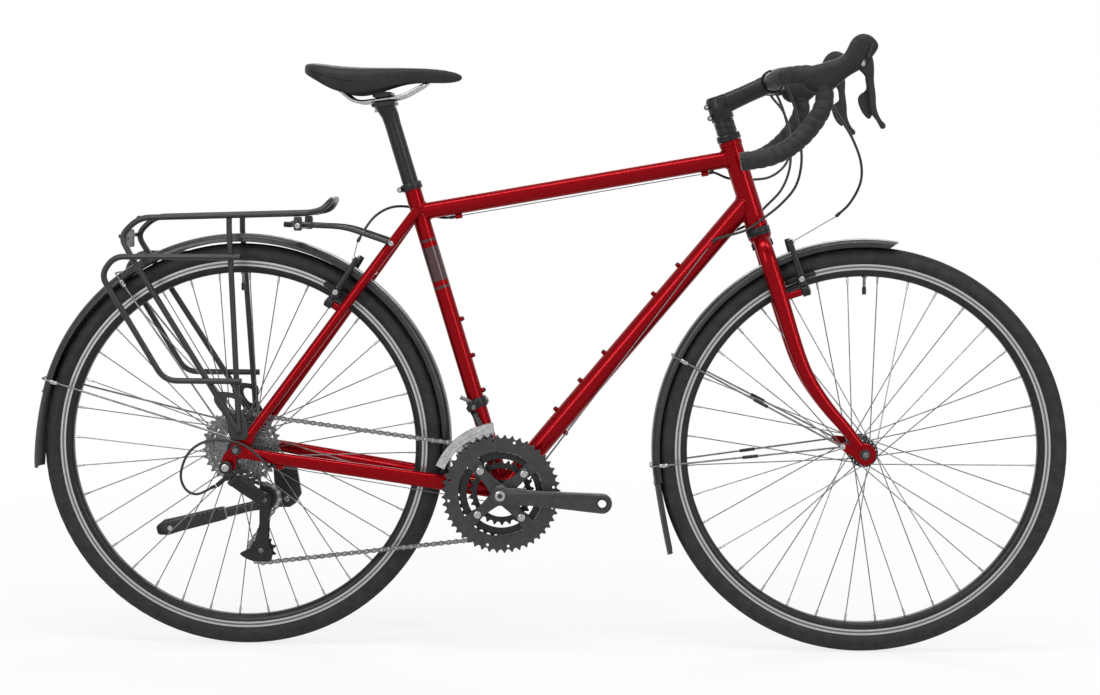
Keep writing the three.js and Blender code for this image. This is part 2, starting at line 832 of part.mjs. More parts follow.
function stayAngle() {
  const [low, , top] = seatstayPoints(1);
  return Math.atan2(top.z - low.z, top.x - low.x);
}

function seatstay(side) {
  const bendRadius = frameSize.seatstayRadius * frameShares.stayBendRadius;
  return pipe(rounded(seatstayPoints(side), bendRadius, 2), frameSize.seatstayRadius, sides.rod);
}

function dropout(side) {
  const tail = side < 0 ? hangerOutlineShares : plainEndShares;
  const outline = [...dropoutOutlineShares, ...tail].map(([x, z]) =>
    [rearAxle.x + x * frameSize.dropoutReach, rearAxle.z + z * frameSize.dropoutReach]);
  const [low, high] = side < 0 ? [-dropoutOuter, -dropoutInner] : [dropoutInner, dropoutOuter];
  const clearAxle = holeRadius(wheelSize.axleRadius, runningGap, sides.rod);
  const axleHole = crossRod(rearAxle.x, rearAxle.z, low - overrun, high + overrun, clearAxle);
  const eyelet = crossRod(rearAxle.x + rackSize.footBack, rearAxle.z + rackSize.footRise,
    side * dropoutInner,
    side * dropoutOuter, rackSize.tubeRadius);
  return cut(join(plate(outline, low, high), eyelet), axleHole);
}

// Threaded studs for bottles, on the seat tube and on the upper side of the down tube
function bosses() {
  const footRadius = (radius) => radius * Math.cos(Math.PI / sides.tube) - frameSize.tubeWall / 2;
  const seatForward = v(seatUp.z, 0, -seatUp.x);
  const onSeatTube = seatBossShares.map((share) => {
    const foot = onSeat(share * frameSize.seatTubeLength, footRadius(frameSize.seatTubeRadius));
    return rod(foot, foot.clone().addScaledVector(seatForward, frameSize.bossHeight), frameSize.bossRadius,
      sides.boss);
  });
  const onDownTube = (share, way) => {
    const foot = bracket.clone().lerp(downTubeFront, share);
    foot.addScaledVector(downTubeBelow, way * footRadius(frameSize.downTubeRadius));
    const tip = foot.clone().addScaledVector(downTubeBelow, way * frameSize.bossHeight);
    return rod(foot, tip, frameSize.bossRadius, sides.boss);
  };
  return [
    ...onSeatTube,
    ...downBossShares.map((share) => onDownTube(share, -1)),
    ...lowerBossShares.map((share) => onDownTube(share, 1)),
  ];
}

// Cable stops under the top tube and at the sides of the down tube
function topStop(share) {
  const centre = topTubeRear.clone().lerp(topTubeFront, share)
    .addScaledVector(topTubeBelow, frameSize.topTubeRadius
      + frameSize.stopRadius * frameSize.stopRiseShare);
  const half = topTubeDirection.clone().multiplyScalar(frameSize.stopLength / 2);
  return { centre, half };
}

function downStop(side) {
  const centre = bracket.clone().lerp(downTubeFront, downStopShare);
  centre.y = side * (frameSize.downTubeRadius + frameSize.stopRadius * frameSize.stopRiseShare);
  const half = downTubeDirection.clone().multiplyScalar(frameSize.stopLength / 2);
  return { centre, half };
}

// The stop under the right chainstay, where the rear gear cable's casing begins again
function stayStop() {
  const centre = chainstayCentre(frameSize.stayStopForward);
  centre.y = -centre.y;
  centre.z -= frameSize.chainstayTallRear + frameSize.stopRadius * frameSize.stopRiseShare;
  const ahead = chainstayCentre(frameSize.stayStopForward + frameSize.stopLength);
  ahead.y = -ahead.y;
  ahead.z -= frameSize.chainstayTallRear + frameSize.stopRadius * frameSize.stopRiseShare;
  return { centre, half: ahead.sub(centre).setLength(frameSize.stopLength / 2) };
}

const stopRod = ({ centre, half }) =>
  rod(centre.clone().sub(half), centre.clone().add(half), frameSize.stopRadius, sides.small);
const stopHole = ({ centre, half }) =>
  longRod(centre.clone().sub(half), centre.clone().add(half), cableSize.holeRadius, sides.wire);

// The rear pivots lie along the stays and the front ones ahead of the steerer, all at one distance from
// the axles
const rearBrakeDirection = stayAngle() + rearBrakeLean;
const frontPivotHeight = Math.sqrt(brakeSize.pivotRadius ** 2
  - (forkRake - brakeSize.frontPivotForward) ** 2)
  - forkLength;
const brakePivots = {
  rear: (side) => fromRear(
    Math.cos(rearBrakeDirection) * brakeSize.pivotRadius,
    side * brakeSize.pivotHalfWidth,
    Math.sin(rearBrakeDirection) * brakeSize.pivotRadius,
  ),
  front: (side) => onSteerer(frontPivotHeight, brakeSize.frontPivotForward,
    side * brakeSize.pivotHalfWidth),
};

// The brake's arms stand off the stays behind them, and off the fork in front of it
const brakeOut = {
  rear: v(-Math.sin(rearBrakeDirection), 0, Math.cos(rearBrakeDirection)),
  front: steerForward.clone(),
};
const brakeUp = {
  rear: v(Math.cos(rearBrakeDirection), 0, Math.sin(rearBrakeDirection)),
  front: steerUp.clone(),
};
const brakePivot = (wheel, side) => brakePivots[wheel](side);

function brakeBoss(wheel, side) {
  const tip = brakePivot(wheel, side);
  const standoff = wheel === 'rear' ? brakeSize.rearStandoff : brakeSize.frontStandoff;
  const foot = tip.clone().addScaledVector(brakeOut[wheel], -standoff);
  const neck = tip.clone().addScaledVector(brakeOut[wheel], -brakeSize.armDepth / 2 - touchGap);
  const pin = tip.clone().addScaledVector(brakeOut[wheel], brakeSize.armDepth / 2);
  return join(rod(foot, neck, forkSize.bossRadius), rod(foot, pin, brakeSize.postRadius));
}

function makeFrame() {
  const shellSide = v(0, frameSize.shellLength / 2, 0);
  const wall = frameSize.tubeWall;
  const tubes = [
    [bracket, seatTop, frameSize.seatTubeRadius],
    [topTubeRear, topTubeFront, frameSize.topTubeRadius],
    [bracket, downTubeFront, frameSize.downTubeRadius],
    [headBottom, headTop, frameSize.headTubeRadius],
    [bracket.clone().sub(shellSide), bracket.clone().add(shellSide), frameSize.shellRadius],
  ];
  const pairs = [-1, 1].flatMap((side) => [
    loft(chainstayRings(side, 0)), seatstay(side), dropout(side), brakeBoss('rear', side),
    stopRod(downStop(side)),
  ]);
  const outside = join(
    tubes.map(([from, to, radius]) => rod(from, to, radius, sides.tube)),
    pairs,
    bosses(),
    topStopShares.map((share) => stopRod(topStop(share))),
    stopRod(stayStop()),
    seatstayBridge(),
    chainstayBridge(),
  );
  const headInner = steerSize.steererRadius + runningGap * frameShares.headBoreGap;
  const inside = [
    rod(bracket, topTubeRear, frameSize.seatTubeRadius - wall, sides.rod),
    longRod(topTubeRear, seatTop, postBore, sides.tube),
    rod(topTubeRear, topTubeFront, frameSize.topTubeRadius - wall, sides.rod),
    rod(bracket, downTubeFront, frameSize.downTubeRadius - wall, sides.rod),
    longRod(headBottom, headTop, headInner, sides.tube),
    longRod(bracket.clone().sub(shellSide), bracket.clone().add(shellSide),
      frameSize.shellRadius - frameSize.shellWall, sides.tube),
    rod(onSeat(frameSize.seatTubeLength - seatSize.postInsert - seatSize.postTravel), topTubeRear,
      postBore, sides.tube),
    ...[downStop(-1), downStop(1), stayStop(), ...topStopShares.map(topStop)].map(stopHole),
  ];
  return cut(outside, inside);
}

function seatstayBridge() {
  const direction = seatstayPoints(1)[2].clone().sub(seatstayPoints(1)[0]);
  direction.y = 0;
  direction.normalize();
  const reach = guardSize.rearRadius + frameSize.bridgeRadius + guardSize.rearLift + touchGap;
  const centre = fromRear(direction.x * reach + frameSize.bridgeRadius, 0, direction.z * reach);
  const half = guardSize.halfWidth + frameSize.seatstayRadius;
  return crossRod(centre.x, centre.z, -half, half, frameSize.bridgeRadius);
}

function chainstayBridge() {
  const reach = guardSize.rearRadius + frameSize.bridgeRadius + touchGap;
  const angle = guardAngles.rear[0];
  const [x, z] = onCircle(angle, reach, [rearAxle.x, rearAxle.z + guardSize.rearLift]);
  const half = guardSize.halfWidth + frameSize.chainstayWide;
  return crossRod(x, z, -half, half, frameSize.bridgeRadius);
}

// Bottom bracket: a cup screwed into each end of the shell, joined by the sleeve inside it
function makeBottomBracket() {
  const end = frameSize.shellLength / 2;
  const bore = holeRadius(crankSize.spindleRadius, runningGap);
  const sleeve = frameSize.shellRadius - frameSize.shellWall - touchGap;
  const face = end + touchGap;
  const outer = face + crankSize.cupLength;
  return lathe([
    [bore, -outer], [crankSize.cupOuterRadius, -outer], [crankSize.cupOuterRadius, -face], [sleeve, -face],
    [sleeve, face], [crankSize.cupOuterRadius, face], [crankSize.cupOuterRadius, outer], [bore, outer],
    [bore, -outer],
  ], bracket, sides.tube);
}

function makeSeatClamp() {
  const inner = frameSize.seatTubeRadius + touchGap;
  const outer = inner + seatSize.collarWall;
  const collarTop = frameSize.seatTubeLength + seatSize.collarRise;
  const from = onSeat(collarTop - seatSize.collarHeight);
  const to = onSeat(collarTop);
  const earPlace = onSeat(collarTop - seatSize.collarHeight / 2, -outer - seatSize.collarWall);
  const earHalf = inner * frameShares.clampEarReach;
  const ear = crossRod(earPlace.x, earPlace.z, -earHalf, earHalf, seatSize.collarHeight / 3);
  return cut(join(rod(from, to, outer, sides.tube), ear), longRod(from, to, inner, sides.tube));
}

function makeHeadsetUpper() {
  const from = onSteerer(frameSize.headTubeLength + touchGap);
  const to = onSteerer(frameSize.headTubeLength + steerSize.upperStack);
  return ring(from, to, steerSize.bearingRadius, holeRadius(steerSize.steererRadius, runningGap));
}

function makeHeadsetLower() {
  const from = onSteerer(-touchGap);
  const to = onSteerer(-steerSize.lowerStack);
  return ring(from, to, steerSize.bearingRadius, holeRadius(steerSize.steererRadius, runningGap));
}

// Steering parts

const crownTop = -steerSize.lowerStack - touchGap;
const spacerBottom = frameSize.headTubeLength + steerSize.upperStack + touchGap;
const stemBottom = spacerBottom + steerSize.spacerStack + touchGap;
const stemTop = stemBottom + steerSize.stemClampHeight;
const steererTop = stemTop - overrun;
const stemAxisHeight = stemBottom + steerSize.stemStart;
const barLocal = {
  forward: steerSize.stemReach,
  up: stemAxisHeight + steerSize.stemReach * Math.tan(stemRise),
};
const barCentre = onSteerer(barLocal.up, barLocal.forward);

function bladeRings(side, thinner, count = sides.rod) {
  const centres = bladeRouteShares.map(({ down, out, forward }) =>
    onSteerer(-down * forkLength, forward * forkRake, side * out * forkSize.bladeOffset));
  return bladeRouteShares.map(({ taper }, i) => {
    const before = centres[Math.max(i - 1, 0)];
    const after = centres[Math.min(i + 1, centres.length - 1)];
    const along = after.clone().sub(before).normalize();
    const across = along.clone().cross(steerForward).normalize();
    const ahead = across.clone().cross(along);
    const depth = THREE.MathUtils.lerp(forkSize.bladeHalfDepthTop, forkSize.bladeHalfDepthLow, taper)
      - thinner;
    const width = THREE.MathUtils.lerp(forkSize.bladeHalfWidthTop, forkSize.bladeHalfWidthLow, taper)
      - thinner;
    return oval(centres[i], ahead.multiplyScalar(depth), across.multiplyScalar(width), count);
  });
}

function forkEnd(side) {
  const inner = wheelSize.frontSpacing / 2;
  const [low, high] = [side * inner, side * (inner + forkSize.endThickness)].sort((a, b) => a - b);
  const disc = crossRod(frontAxle.x, frontAxle.z, low, high, forkSize.endRadius, sides.tube);
  const eyelet = frontEyelet(side);
  const tab = crossRod(eyelet.x, eyelet.z, low, high, guardSize.eyeletOffset, sides.rod);
  const centre = v((eyelet.x + frontAxle.x) / 2, (low + high) / 2, (eyelet.z + frontAxle.z) / 2);
  const turn = Math.atan2(eyelet.z - frontAxle.z, eyelet.x - frontAxle.x);
  const arm = block(centre, v(forkSize.eyeletBack, high - low, guardSize.eyeletOffset * 2), -turn);
  return join(disc, tab, arm);
}

const frontEyelet = (side) => frontAxle.clone().add(v(
  -forkSize.eyeletBack,
  side * (wheelSize.frontSpacing / 2 + forkSize.endThickness),
  forkSize.eyeletRise,
));
const rearEyelet = (side) => fromRear(
  -frameSize.dropoutReach * frameShares.eyeletBack,
  side * dropoutOuter,
  frameSize.dropoutReach * frameShares.eyeletRise,
);

function makeFork() {
  const crown = onSteerer(crownTop);
  const neck = onSteerer(crownTop - forkSize.bladeHalfDepthTop);
  const steerer = rod(neck, onSteerer(steererTop), steerSize.steererRadius, sides.tube);
  const race = rod(neck, crown, steerSize.steererRadius, sides.tube, steerSize.bearingRadius - touchGap);
  const blades = [-1, 1].flatMap((side) => [loft(bladeRings(side, 0)), forkEnd(side),
    brakeBoss('front', side)]);
  const above = rod(crown, onSteerer(stemBottom), forkSize.bladeOffset, sides.tube);
  const bore = longRod(neck, onSteerer(steererTop), steerSize.steererRadius - steerSize.steererWall,
    sides.tube);
  const hollow = [-1, 1].map((side) => loft(bladeRings(side, forkSize.bladeWall, sides.small)
    .slice(1, -1)));
  const vents = [-1, 1].map((side) => {
    const { down, out, forward } = bladeRouteShares[bladeRouteShares.length - 3];
    const from = onSteerer(-down * forkLength, forward * forkRake, side * out * forkSize.bladeOffset);
    const back = from.clone().addScaledVector(steerForward, -forkSize.bladeHalfDepthTop * ventReachShare);
    return rod(from, back, cableSize.holeRadius, sides.wire);
  });
  const axleHole = holeRadius(wheelSize.axleRadius, runningGap, sides.rod);
  const end = wheelSize.frontSpacing / 2 + forkSize.endThickness + overrun;
  const lower = cut(join(race, blades), above);
  return cut(join(steerer, lower), bore, hollow, vents,
    crossRod(frontAxle.x, frontAxle.z, -end, end, axleHole));
}

function makeSpacers() {
  const from = onSteerer(spacerBottom);
  const to = onSteerer(spacerBottom + steerSize.spacerStack);
  return ring(from, to, steerSize.spacerRadius, holeRadius(steerSize.steererRadius, touchGap));
}

function makeStem() {
  const bottom = onSteerer(stemBottom);
  const top = onSteerer(stemTop);
  const clamp = rod(bottom, top, steerSize.stemClampRadius, sides.tube);
  const start = onSteerer(stemAxisHeight);
  const outer = steerSize.barClampRadius + steerSize.barClampWall;
  const extension = rod(start, barCentre, steerSize.stemRadius, sides.tube);
  const half = steerSize.barClampHalfWidth;
  const head = crossRod(barCentre.x, barCentre.z, -half, half, outer, sides.tube);
  const bar = crossRod(barCentre.x, barCentre.z, -half - overrun, half + overrun,
    holeRadius(steerSize.barClampRadius, touchGap), sides.tube);
  const boltPlace = onSteerer((stemBottom + stemTop) / 2, -steerSize.stemClampRadius);
  const ears = [-1, 1].map((way) => {
    const place = boltPlace.clone().addScaledVector(steerUp, way * steerSize.stemClampHeight / 4);
    const earHalf = steerSize.steererRadius * steerShares.stemEarReach;
    return crossRod(place.x, place.z, -earHalf, earHalf, steerSize.barClampWall);
  });
  const steererHole = longRod(bottom, top, steerSize.steererRadius + touchGap, sides.tube);
  const above = rod(top, onSteerer(stemTop + steerSize.stemRadius), steerSize.stemClampRadius + overrun,
    sides.tube);
  return cut(join(clamp, extension, head, ears), bar, steererHole, above, faceplateSpace(0));
}

// The front third of the bar clamp is the faceplate's place
function faceplateSpace(gap) {
  const outward = barCentre.clone().sub(onSteerer(stemAxisHeight)).normalize();
  const reach = steerSize.barClampRadius * steerShares.faceplatePlace + gap;
  const size = (steerSize.barClampRadius + steerSize.barClampWall + overrun) * 2;
  const centre = barCentre.clone().addScaledVector(outward, reach + size / 2);
  const turn = Math.atan2(outward.z, outward.x);
  return block(centre, v(size, (steerSize.barClampHalfWidth + overrun) * 2, size), -turn);
}

function makeFaceplate() {
  const outer = steerSize.barClampRadius + steerSize.barClampWall;
  const half = steerSize.barClampHalfWidth;
  const whole = crossRod(barCentre.x, barCentre.z, -half, half, outer, sides.tube);
  const bar = crossRod(barCentre.x, barCentre.z, -half - overrun, half + overrun,
    holeRadius(steerSize.barClampRadius, touchGap), sides.tube);
  return cut(whole.intersect(faceplateSpace(touchGap)), bar);
}

function makeStemCap() {
  const from = onSteerer(stemTop + touchGap);
  const to = onSteerer(stemTop + touchGap + steerSize.capHeight);
  return rod(from, to, steerSize.capRadius, sides.tube, steerSize.capRadius * steerShares.capTop);
}

// The handlebar's centre line on one side, from the middle of the bicycle to its end
function barRoute(side, count) {
  const { width, forward, drop } = barRouteShares;
  const points = width.map((share, i) => barCentre.clone().add(v(
    forward[i] * steerSize.barReach,
    side * share * steerSize.barHalfWidth,
    -drop[i] * steerSize.barDrop,
  )));
  return smooth(points, count);
}

const barSideRoute = (side) => barRoute(side, barStationCount);

function makeHandlebar() {
  const halves = [-1, 1].map((side) => pipe(barSideRoute(side), steerSize.barRadius, sides.small));
  const { barClampHalfWidth, barClampRadius, barBulgeHalfWidth, barRadius } = steerSize;
  const straight = barClampHalfWidth * steerShares.bulgeStart;
  const bulge = [-1, 1].map((side) => join(
    crossRod(barCentre.x, barCentre.z, 0, side * straight, barClampRadius, sides.rod),
    rod(barCentre.clone().add(v(0, side * straight, 0)),
      barCentre.clone().add(v(0, side * barBulgeHalfWidth, 0)), barClampRadius, sides.rod, barRadius),
  ));
  const plugs = [-1, 1].map((side) => {
    const route = barSideRoute(side);
    const end = route[route.length - 1];
    const away = end.clone().sub(route[route.length - 2]).normalize();
    const inside = end.clone().addScaledVector(away, -overrun);
    const head = end.clone().addScaledVector(away, touchGap);
    const tip = head.clone().addScaledVector(away, steerSize.plugLength);
    return join(rod(inside, tip, steerSize.plugRadius), rod(head, tip, steerSize.tapeRadius - touchGap));
  });
  return join(halves, bulge, plugs);
}

function makeBarTape(side) {
  const route = barSideRoute(side);
  const first = route.findIndex((p) => Math.abs(p.y) > steerSize.tapeStart);
  const start = route[first - 1].clone().lerp(route[first],
    (steerSize.tapeStart - Math.abs(route[first - 1].y)) / Math.abs(route[first].y - route[first - 1].y));
  const stations = [start, ...route.slice(first)];
  const inside = pipe(route, steerSize.barRadius + touchGap * steerShares.tapeGap, sides.small);
  return cut(pipe(stations, steerSize.tapeRadius, sides.rod), inside, barEndCutter(side));
}

// Past the tape's end nothing of it is left beside the plug
function barEndCutter(side) {
  const route = barSideRoute(side);
  const end = route[route.length - 1];
  const away = end.clone().sub(route[route.length - 2]).normalize();
  return rod(end.clone().addScaledVector(away, -touchGap), end.clone().addScaledVector(away, overrun),
    steerSize.tapeRadius * steerShares.tapeEndRadius);
}

// Brake levers, hoods and shift paddles

const leverPivot = (side) => barCentre.clone().add(v(
  leverSize.pivotForward,
  side * steerSize.barHalfWidth,
  leverSize.pivotUp,
));

const leverOutline = (shares, side) => {
  const pivot = leverPivot(side);
  return shares.map(([x, z]) => [pivot.x + x * leverSize.length, pivot.z + z * leverSize.length]);
};

function makeHood(side) {
  const pivot = leverPivot(side);
  const half = leverSize.hoodHalfThickness;
  const body = plate(leverOutline(hoodOutlineShares, side), pivot.y - half, pivot.y + half,
    leverSize.hoodBevel);
  const slotHalf = leverSize.leverHalfThickness + runningGap;
  const length = leverSize.length;
  const { back, front, low, high } = slotShares;
  const slot = block(
    v(pivot.x + (back + front) * length / 2, pivot.y, pivot.z + (low + high) * length / 2),
    v((front - back) * length, slotHalf * 2, (high - low) * length),
  );
  const pinHole = crossRod(pivot.x, pivot.z, pivot.y - half - overrun, pivot.y + half + overrun,
    leverSize.pinRadius + runningGap);
  const tape = pipe(barSideRoute(side), steerSize.tapeRadius + touchGap, sides.rod);
  return largestPiece(cut(body, slot, pinHole, tape));
}

const largestPiece = (solid) => solid.decompose().sort((a, b) => b.volume() - a.volume())[0];

function makeLever(side) {
  const pivot = leverPivot(side);
  const half = leverSize.leverHalfThickness;
  const blade = plate(leverOutline(leverOutlineShares, side), pivot.y - half, pivot.y + half,
    leverSize.leverBevel);
  const pinHalf = leverSize.hoodHalfThickness - touchGap;
  return join(blade, crossRod(pivot.x, pivot.z, pivot.y - pinHalf, pivot.y + pinHalf, leverSize.pinRadius));
}

function makePaddle(side) {
  const pivot = leverPivot(side);
  const near = pivot.y - side * (leverSize.leverHalfThickness + touchGap);
  const far = near - side * leverSize.paddleThickness;
  const [low, high] = [near, far].sort((a, b) => a - b);
  return plate(leverOutline(paddleOutlineShares, side), low, high, leverSize.paddleThickness / 4);
}

// Wheels, each built about its own centre

function makeTyre(centre) {
  const { tyreHalfWidth, rimHalfWidth, rimWall, tyreBeadRadius } = wheelSize;
  const bead = rimHalfWidth - rimWall - touchGap * wheelShares.beadGap;
  const middle = tyreRadius - tyreHalfWidth;
  const rise = tyreHalfWidth;
  const half = [
    [tyreBeadRadius, bead],
    [middle - rise * wheelShares.tyreSideInward, rise],
    [middle + rise * wheelShares.tyreShoulder, rise * wheelShares.tyreShoulderWidth],
    [tyreRadius, 0],
  ];
  const mirrored = half.slice(0, -1).reverse().map(([r, y]) => [r, -y]);
  return lathe([...half, ...mirrored, half[0]].reverse(), centre);
}

function makeRim(centre) {
  const { rimOuterRadius: outer, rimInnerRadius: inner, rimHalfWidth: half, rimWall: wall,
    tyreBeadRadius } = wheelSize;
  const well = tyreBeadRadius - touchGap * wheelShares.wellGap;
  const side = [
    [inner, half * wheelShares.rimBedWidth], [inner + wall * wheelShares.rimFlare, half],
    [outer, half], [well, half - wall],
  ];
  const mirrored = side.slice().reverse().map(([r, y]) => [r, -y]);
  return lathe([...side, ...mirrored, side[0]].reverse(), centre);
}

// Spokes alternate between the flanges, and on each flange between its two faces
function spokes(centre, flangeLeft, flangeRight, firstAngle) {
  const { spokeCircleRadius, rimInnerRadius, spokeRadius, flangeThickness } = wheelSize;
  const rimPoint = rimInnerRadius * Math.cos(Math.PI / wheelSegments) - touchGap;
  const crossing = (2 * Math.PI / spokeCount) * crossedSpokes * 2;
  return Array.from({ length: spokeCount }, (_, i) => {
    const angle = firstAngle + (2 * Math.PI * i) / spokeCount;
    const flange = i % 2 ? -flangeRight : flangeLeft;
    const lean = spokeLeans[i % spokeLeans.length];
    const face = flange + Math.sign(flange) * lean * (flangeThickness / 2 - spokeRadius);
    const [hx, hz] = onCircle(angle - lean * crossing, spokeCircleRadius, [centre.x, centre.z]);
    const [rx, rz] = onCircle(angle, rimPoint, [centre.x, centre.z]);
    return rod(v(hx, centre.y + face, hz), v(rx, centre.y + flange * spokeTipShare, rz), spokeRadius,
      sides.spoke);
  });
}

const hubShoulder = wheelSize.flangeThickness * wheelShares.hubShoulder;

function hubBody(centre, left, right, endLeft, endRight) {
  const { flangeRadius, flangeThickness, hubBarrelRadius, axleRadius } = wheelSize;
  const bore = holeRadius(axleRadius, runningGap);
  const barrel = hubBarrelRadius;
  const flange = (y) => [
    [barrel, y - flangeThickness / 2], [flangeRadius, y - flangeThickness / 2],
    [flangeRadius, y + flangeThickness / 2], [barrel, y + flangeThickness / 2],
  ];
  const neck = axleRadius * wheelShares.hubNeck;
  const outline = [
    [bore, -endRight], [neck, -endRight], [neck, -right - hubShoulder],
    ...flange(-right), ...flange(left),
    [neck, left + hubShoulder], [neck, endLeft], [bore, endLeft], [bore, -endRight],
  ];
  return lathe(outline, centre, sides.tube);
}

function makeFrontHub() {
  const offset = wheelSize.frontFlangeOffset;
  const end = wheelSize.frontSpacing / 2 - wheelSize.hubEndGap;
  return join(hubBody(frontAxle, offset, offset, end, end),
    spokes(frontAxle, offset, offset, firstSpokeAngles.front));
}

function makeRearHub() {
  const left = wheelSize.rearFlangeOffsetLeft;
  const right = wheelSize.rearFlangeOffsetRight;
  const end = wheelSize.rearSpacing / 2 - wheelSize.hubEndGap;
  return join(hubBody(rearAxle, left, right, end, right + hubShoulder),
    spokes(rearAxle, left, right, firstSpokeAngles.rear));
}

// An axle with its lock nuts inside the frame's ends and its outer nuts outside them
function makeAxle(centre, spacing, endThickness) {
  const inner = spacing / 2;
  const outerFace = inner + endThickness + touchGap;
  const tip = outerFace + wheelSize.nutLength;
  const shaft = crossRod(centre.x, centre.z, -tip - overrun, tip + overrun, wheelSize.axleRadius,
    sides.small);
  const nuts = [-1, 1].flatMap((side) => [
    crossRod(centre.x, centre.z, side * outerFace, side * tip, wheelSize.nutRadius, sides.small),
    crossRod(centre.x, centre.z, side * (inner - wheelSize.hubEndGap + touchGap), side * (inner - touchGap),
      wheelSize.nutRadius, sides.small),
  ]);
  return join(shaft, nuts);
}

// Chain drive

function circleOutline(centre, radius, count) {
  return Array.from({ length: count }, (_, i) =>
    onCircle((2 * Math.PI * i) / count, radius, [centre.x, centre.z]));
}

const sprocketY = (index) => -driveSize.largestSprocketOffset - index * driveSize.sprocketSpacing;
const chainSprocketY = sprocketY(usedSprocket);

// The sprockets on the freehub's body, which turns with them beside the hub and round the same axle
function makeCassette() {
  const half = driveSize.sprocketHalfThickness;
  const { x, z } = rearAxle;
  const start = -wheelSize.rearFlangeOffsetRight - hubShoulder - touchGap;
  const end = -wheelSize.rearSpacing / 2 + wheelSize.hubEndGap;
  const sprockets = sprocketTeeth.map((teeth, i) =>
    crossRod(x, z, sprocketY(i) - half, sprocketY(i) + half, pitchRadius(teeth) + driveSize.toothHeight,
      sides.cog));
  const last = sprocketY(sprocketTeeth.length - 1);
  const core = crossRod(x, z, sprocketY(0), last, wheelSize.freehubRadius + driveSize.cassetteWall,
    sides.cog);
  const freehub = crossRod(x, z, start, end, wheelSize.freehubRadius, sides.cog);
  const bore = holeRadius(wheelSize.axleRadius, runningGap, sides.cog);
  return cut(join(sprockets, core, freehub), crossRod(x, z, start + overrun, end - overrun, bore,
    sides.cog));
}

const ringY = {
  outer: -driveSize.middleRingOffset - driveSize.ringSpacing,
  middle: -driveSize.middleRingOffset,
  inner: -driveSize.middleRingOffset + driveSize.ringSpacing,
};

const boltAngles = [0, 1, 2, 3].map((i) => crankAngle + Math.PI / 4 + (i * Math.PI) / 2);

// A ring with a bolt tab at each spider arm
function chainring(teeth, y, boltRadius, count) {
  const half = driveSize.sprocketHalfThickness;
  const innerRadius = pitchRadius(teeth) - driveSize.toothHeight - driveSize.ringWall;
  const outline = circleOutline(bracket, pitchRadius(teeth) + driveSize.toothHeight, count);
  const band = plate(outline, y - half, y + half, 0,
    [circleOutline(bracket, innerRadius, count).reverse()]);
  const tabs = boltAngles.map((angle) => {
    const outerEnd = innerRadius + driveSize.ringWall / 2;
    const [x, z] = onCircle(angle, (boltRadius + outerEnd) / 2, [bracket.x, bracket.z]);
    const length = Math.abs(outerEnd - boltRadius) + driveSize.boltRadius * 2;
    return block(v(x, y, z), v(length, half * 2, driveSize.boltRadius * driveShares.tabWidth), -angle);
  });
  return join(band, tabs);
}

// The three rings, held together by the bolts that pass through them
function makeChainrings() {
  const half = driveSize.sprocketHalfThickness;
  const innerCircle = driveSize.boltCircleRadius * driveShares.innerBolt;
  const bolts = boltAngles.flatMap((angle) => [
    [driveSize.boltCircleRadius, ringY.outer - half / 2, ringY.middle + half],
    [innerCircle, ringY.middle - half, ringY.inner + half],
  ].map(([reach, from, to]) => {
    const [x, z] = onCircle(angle, reach, [bracket.x, bracket.z]);
    return crossRod(x, z, from, to, driveSize.boltRadius, sides.small);
  }));
  return join(
    chainring(ringTeeth.outer, ringY.outer, driveSize.boltCircleRadius, sides.largeRing),
    chainring(ringTeeth.middle, ringY.middle, innerCircle, sides.ring),
    chainring(ringTeeth.inner, ringY.inner, innerCircle, sides.tube),
    bolts,
  );
}

// A crank arm, with its hub round the spindle and its eye for a pedal
function crankArm(side, turn) {
  const hubFace = side * crankSize.hubFace;
  const thickness = crankSize.armThickness;
  const waist = crankSize.armWaist;
  const at = (along, across) => {
    const [x, z] = onCircle(turn, along, [bracket.x, bracket.z]);
    return [x - across * Math.sin(turn), z + across * Math.cos(turn)];
  };
  const arc = (along, radius, from, to, count) => Array.from({ length: count + 1 }, (_, i) => {
    const angle = from + ((to - from) * i) / count;
    return at(along + radius * Math.cos(angle), radius * Math.sin(angle));
  });
  const outline = [
    ...arc(0, crankSize.armHubRadius, ...crankHubArc, 6),
    at(crankSize.length * crankWaistShare, -waist),
    ...arc(crankSize.length, crankSize.armEndRadius, -Math.PI / 2, Math.PI / 2, 5),
    at(crankSize.length * crankWaistShare, waist),
  ];
  const step = side * (crankSize.endFace - crankSize.hubFace);
  const [low, high] = [hubFace, hubFace + side * thickness].sort((a, b) => a - b);
  const straight = plate(outline, low, high, crankSize.armBevel);
  const leaning = straight.warp((place) => {
    const along = (place[0] - bracket.x) * Math.cos(turn) + (place[2] - bracket.z) * Math.sin(turn);
    place[1] += step * THREE.MathUtils.clamp(along / crankSize.length, 0, 1);
  });
  const [px, pz] = at(crankSize.length, 0);
  const eye = side * (crankSize.endFace + thickness / 2);
  const pedalHole = crossRod(px, pz, eye - thickness, eye + thickness, crankSize.pedalHoleRadius,
    sides.tube);
  return cut(leaning, pedalHole);
}

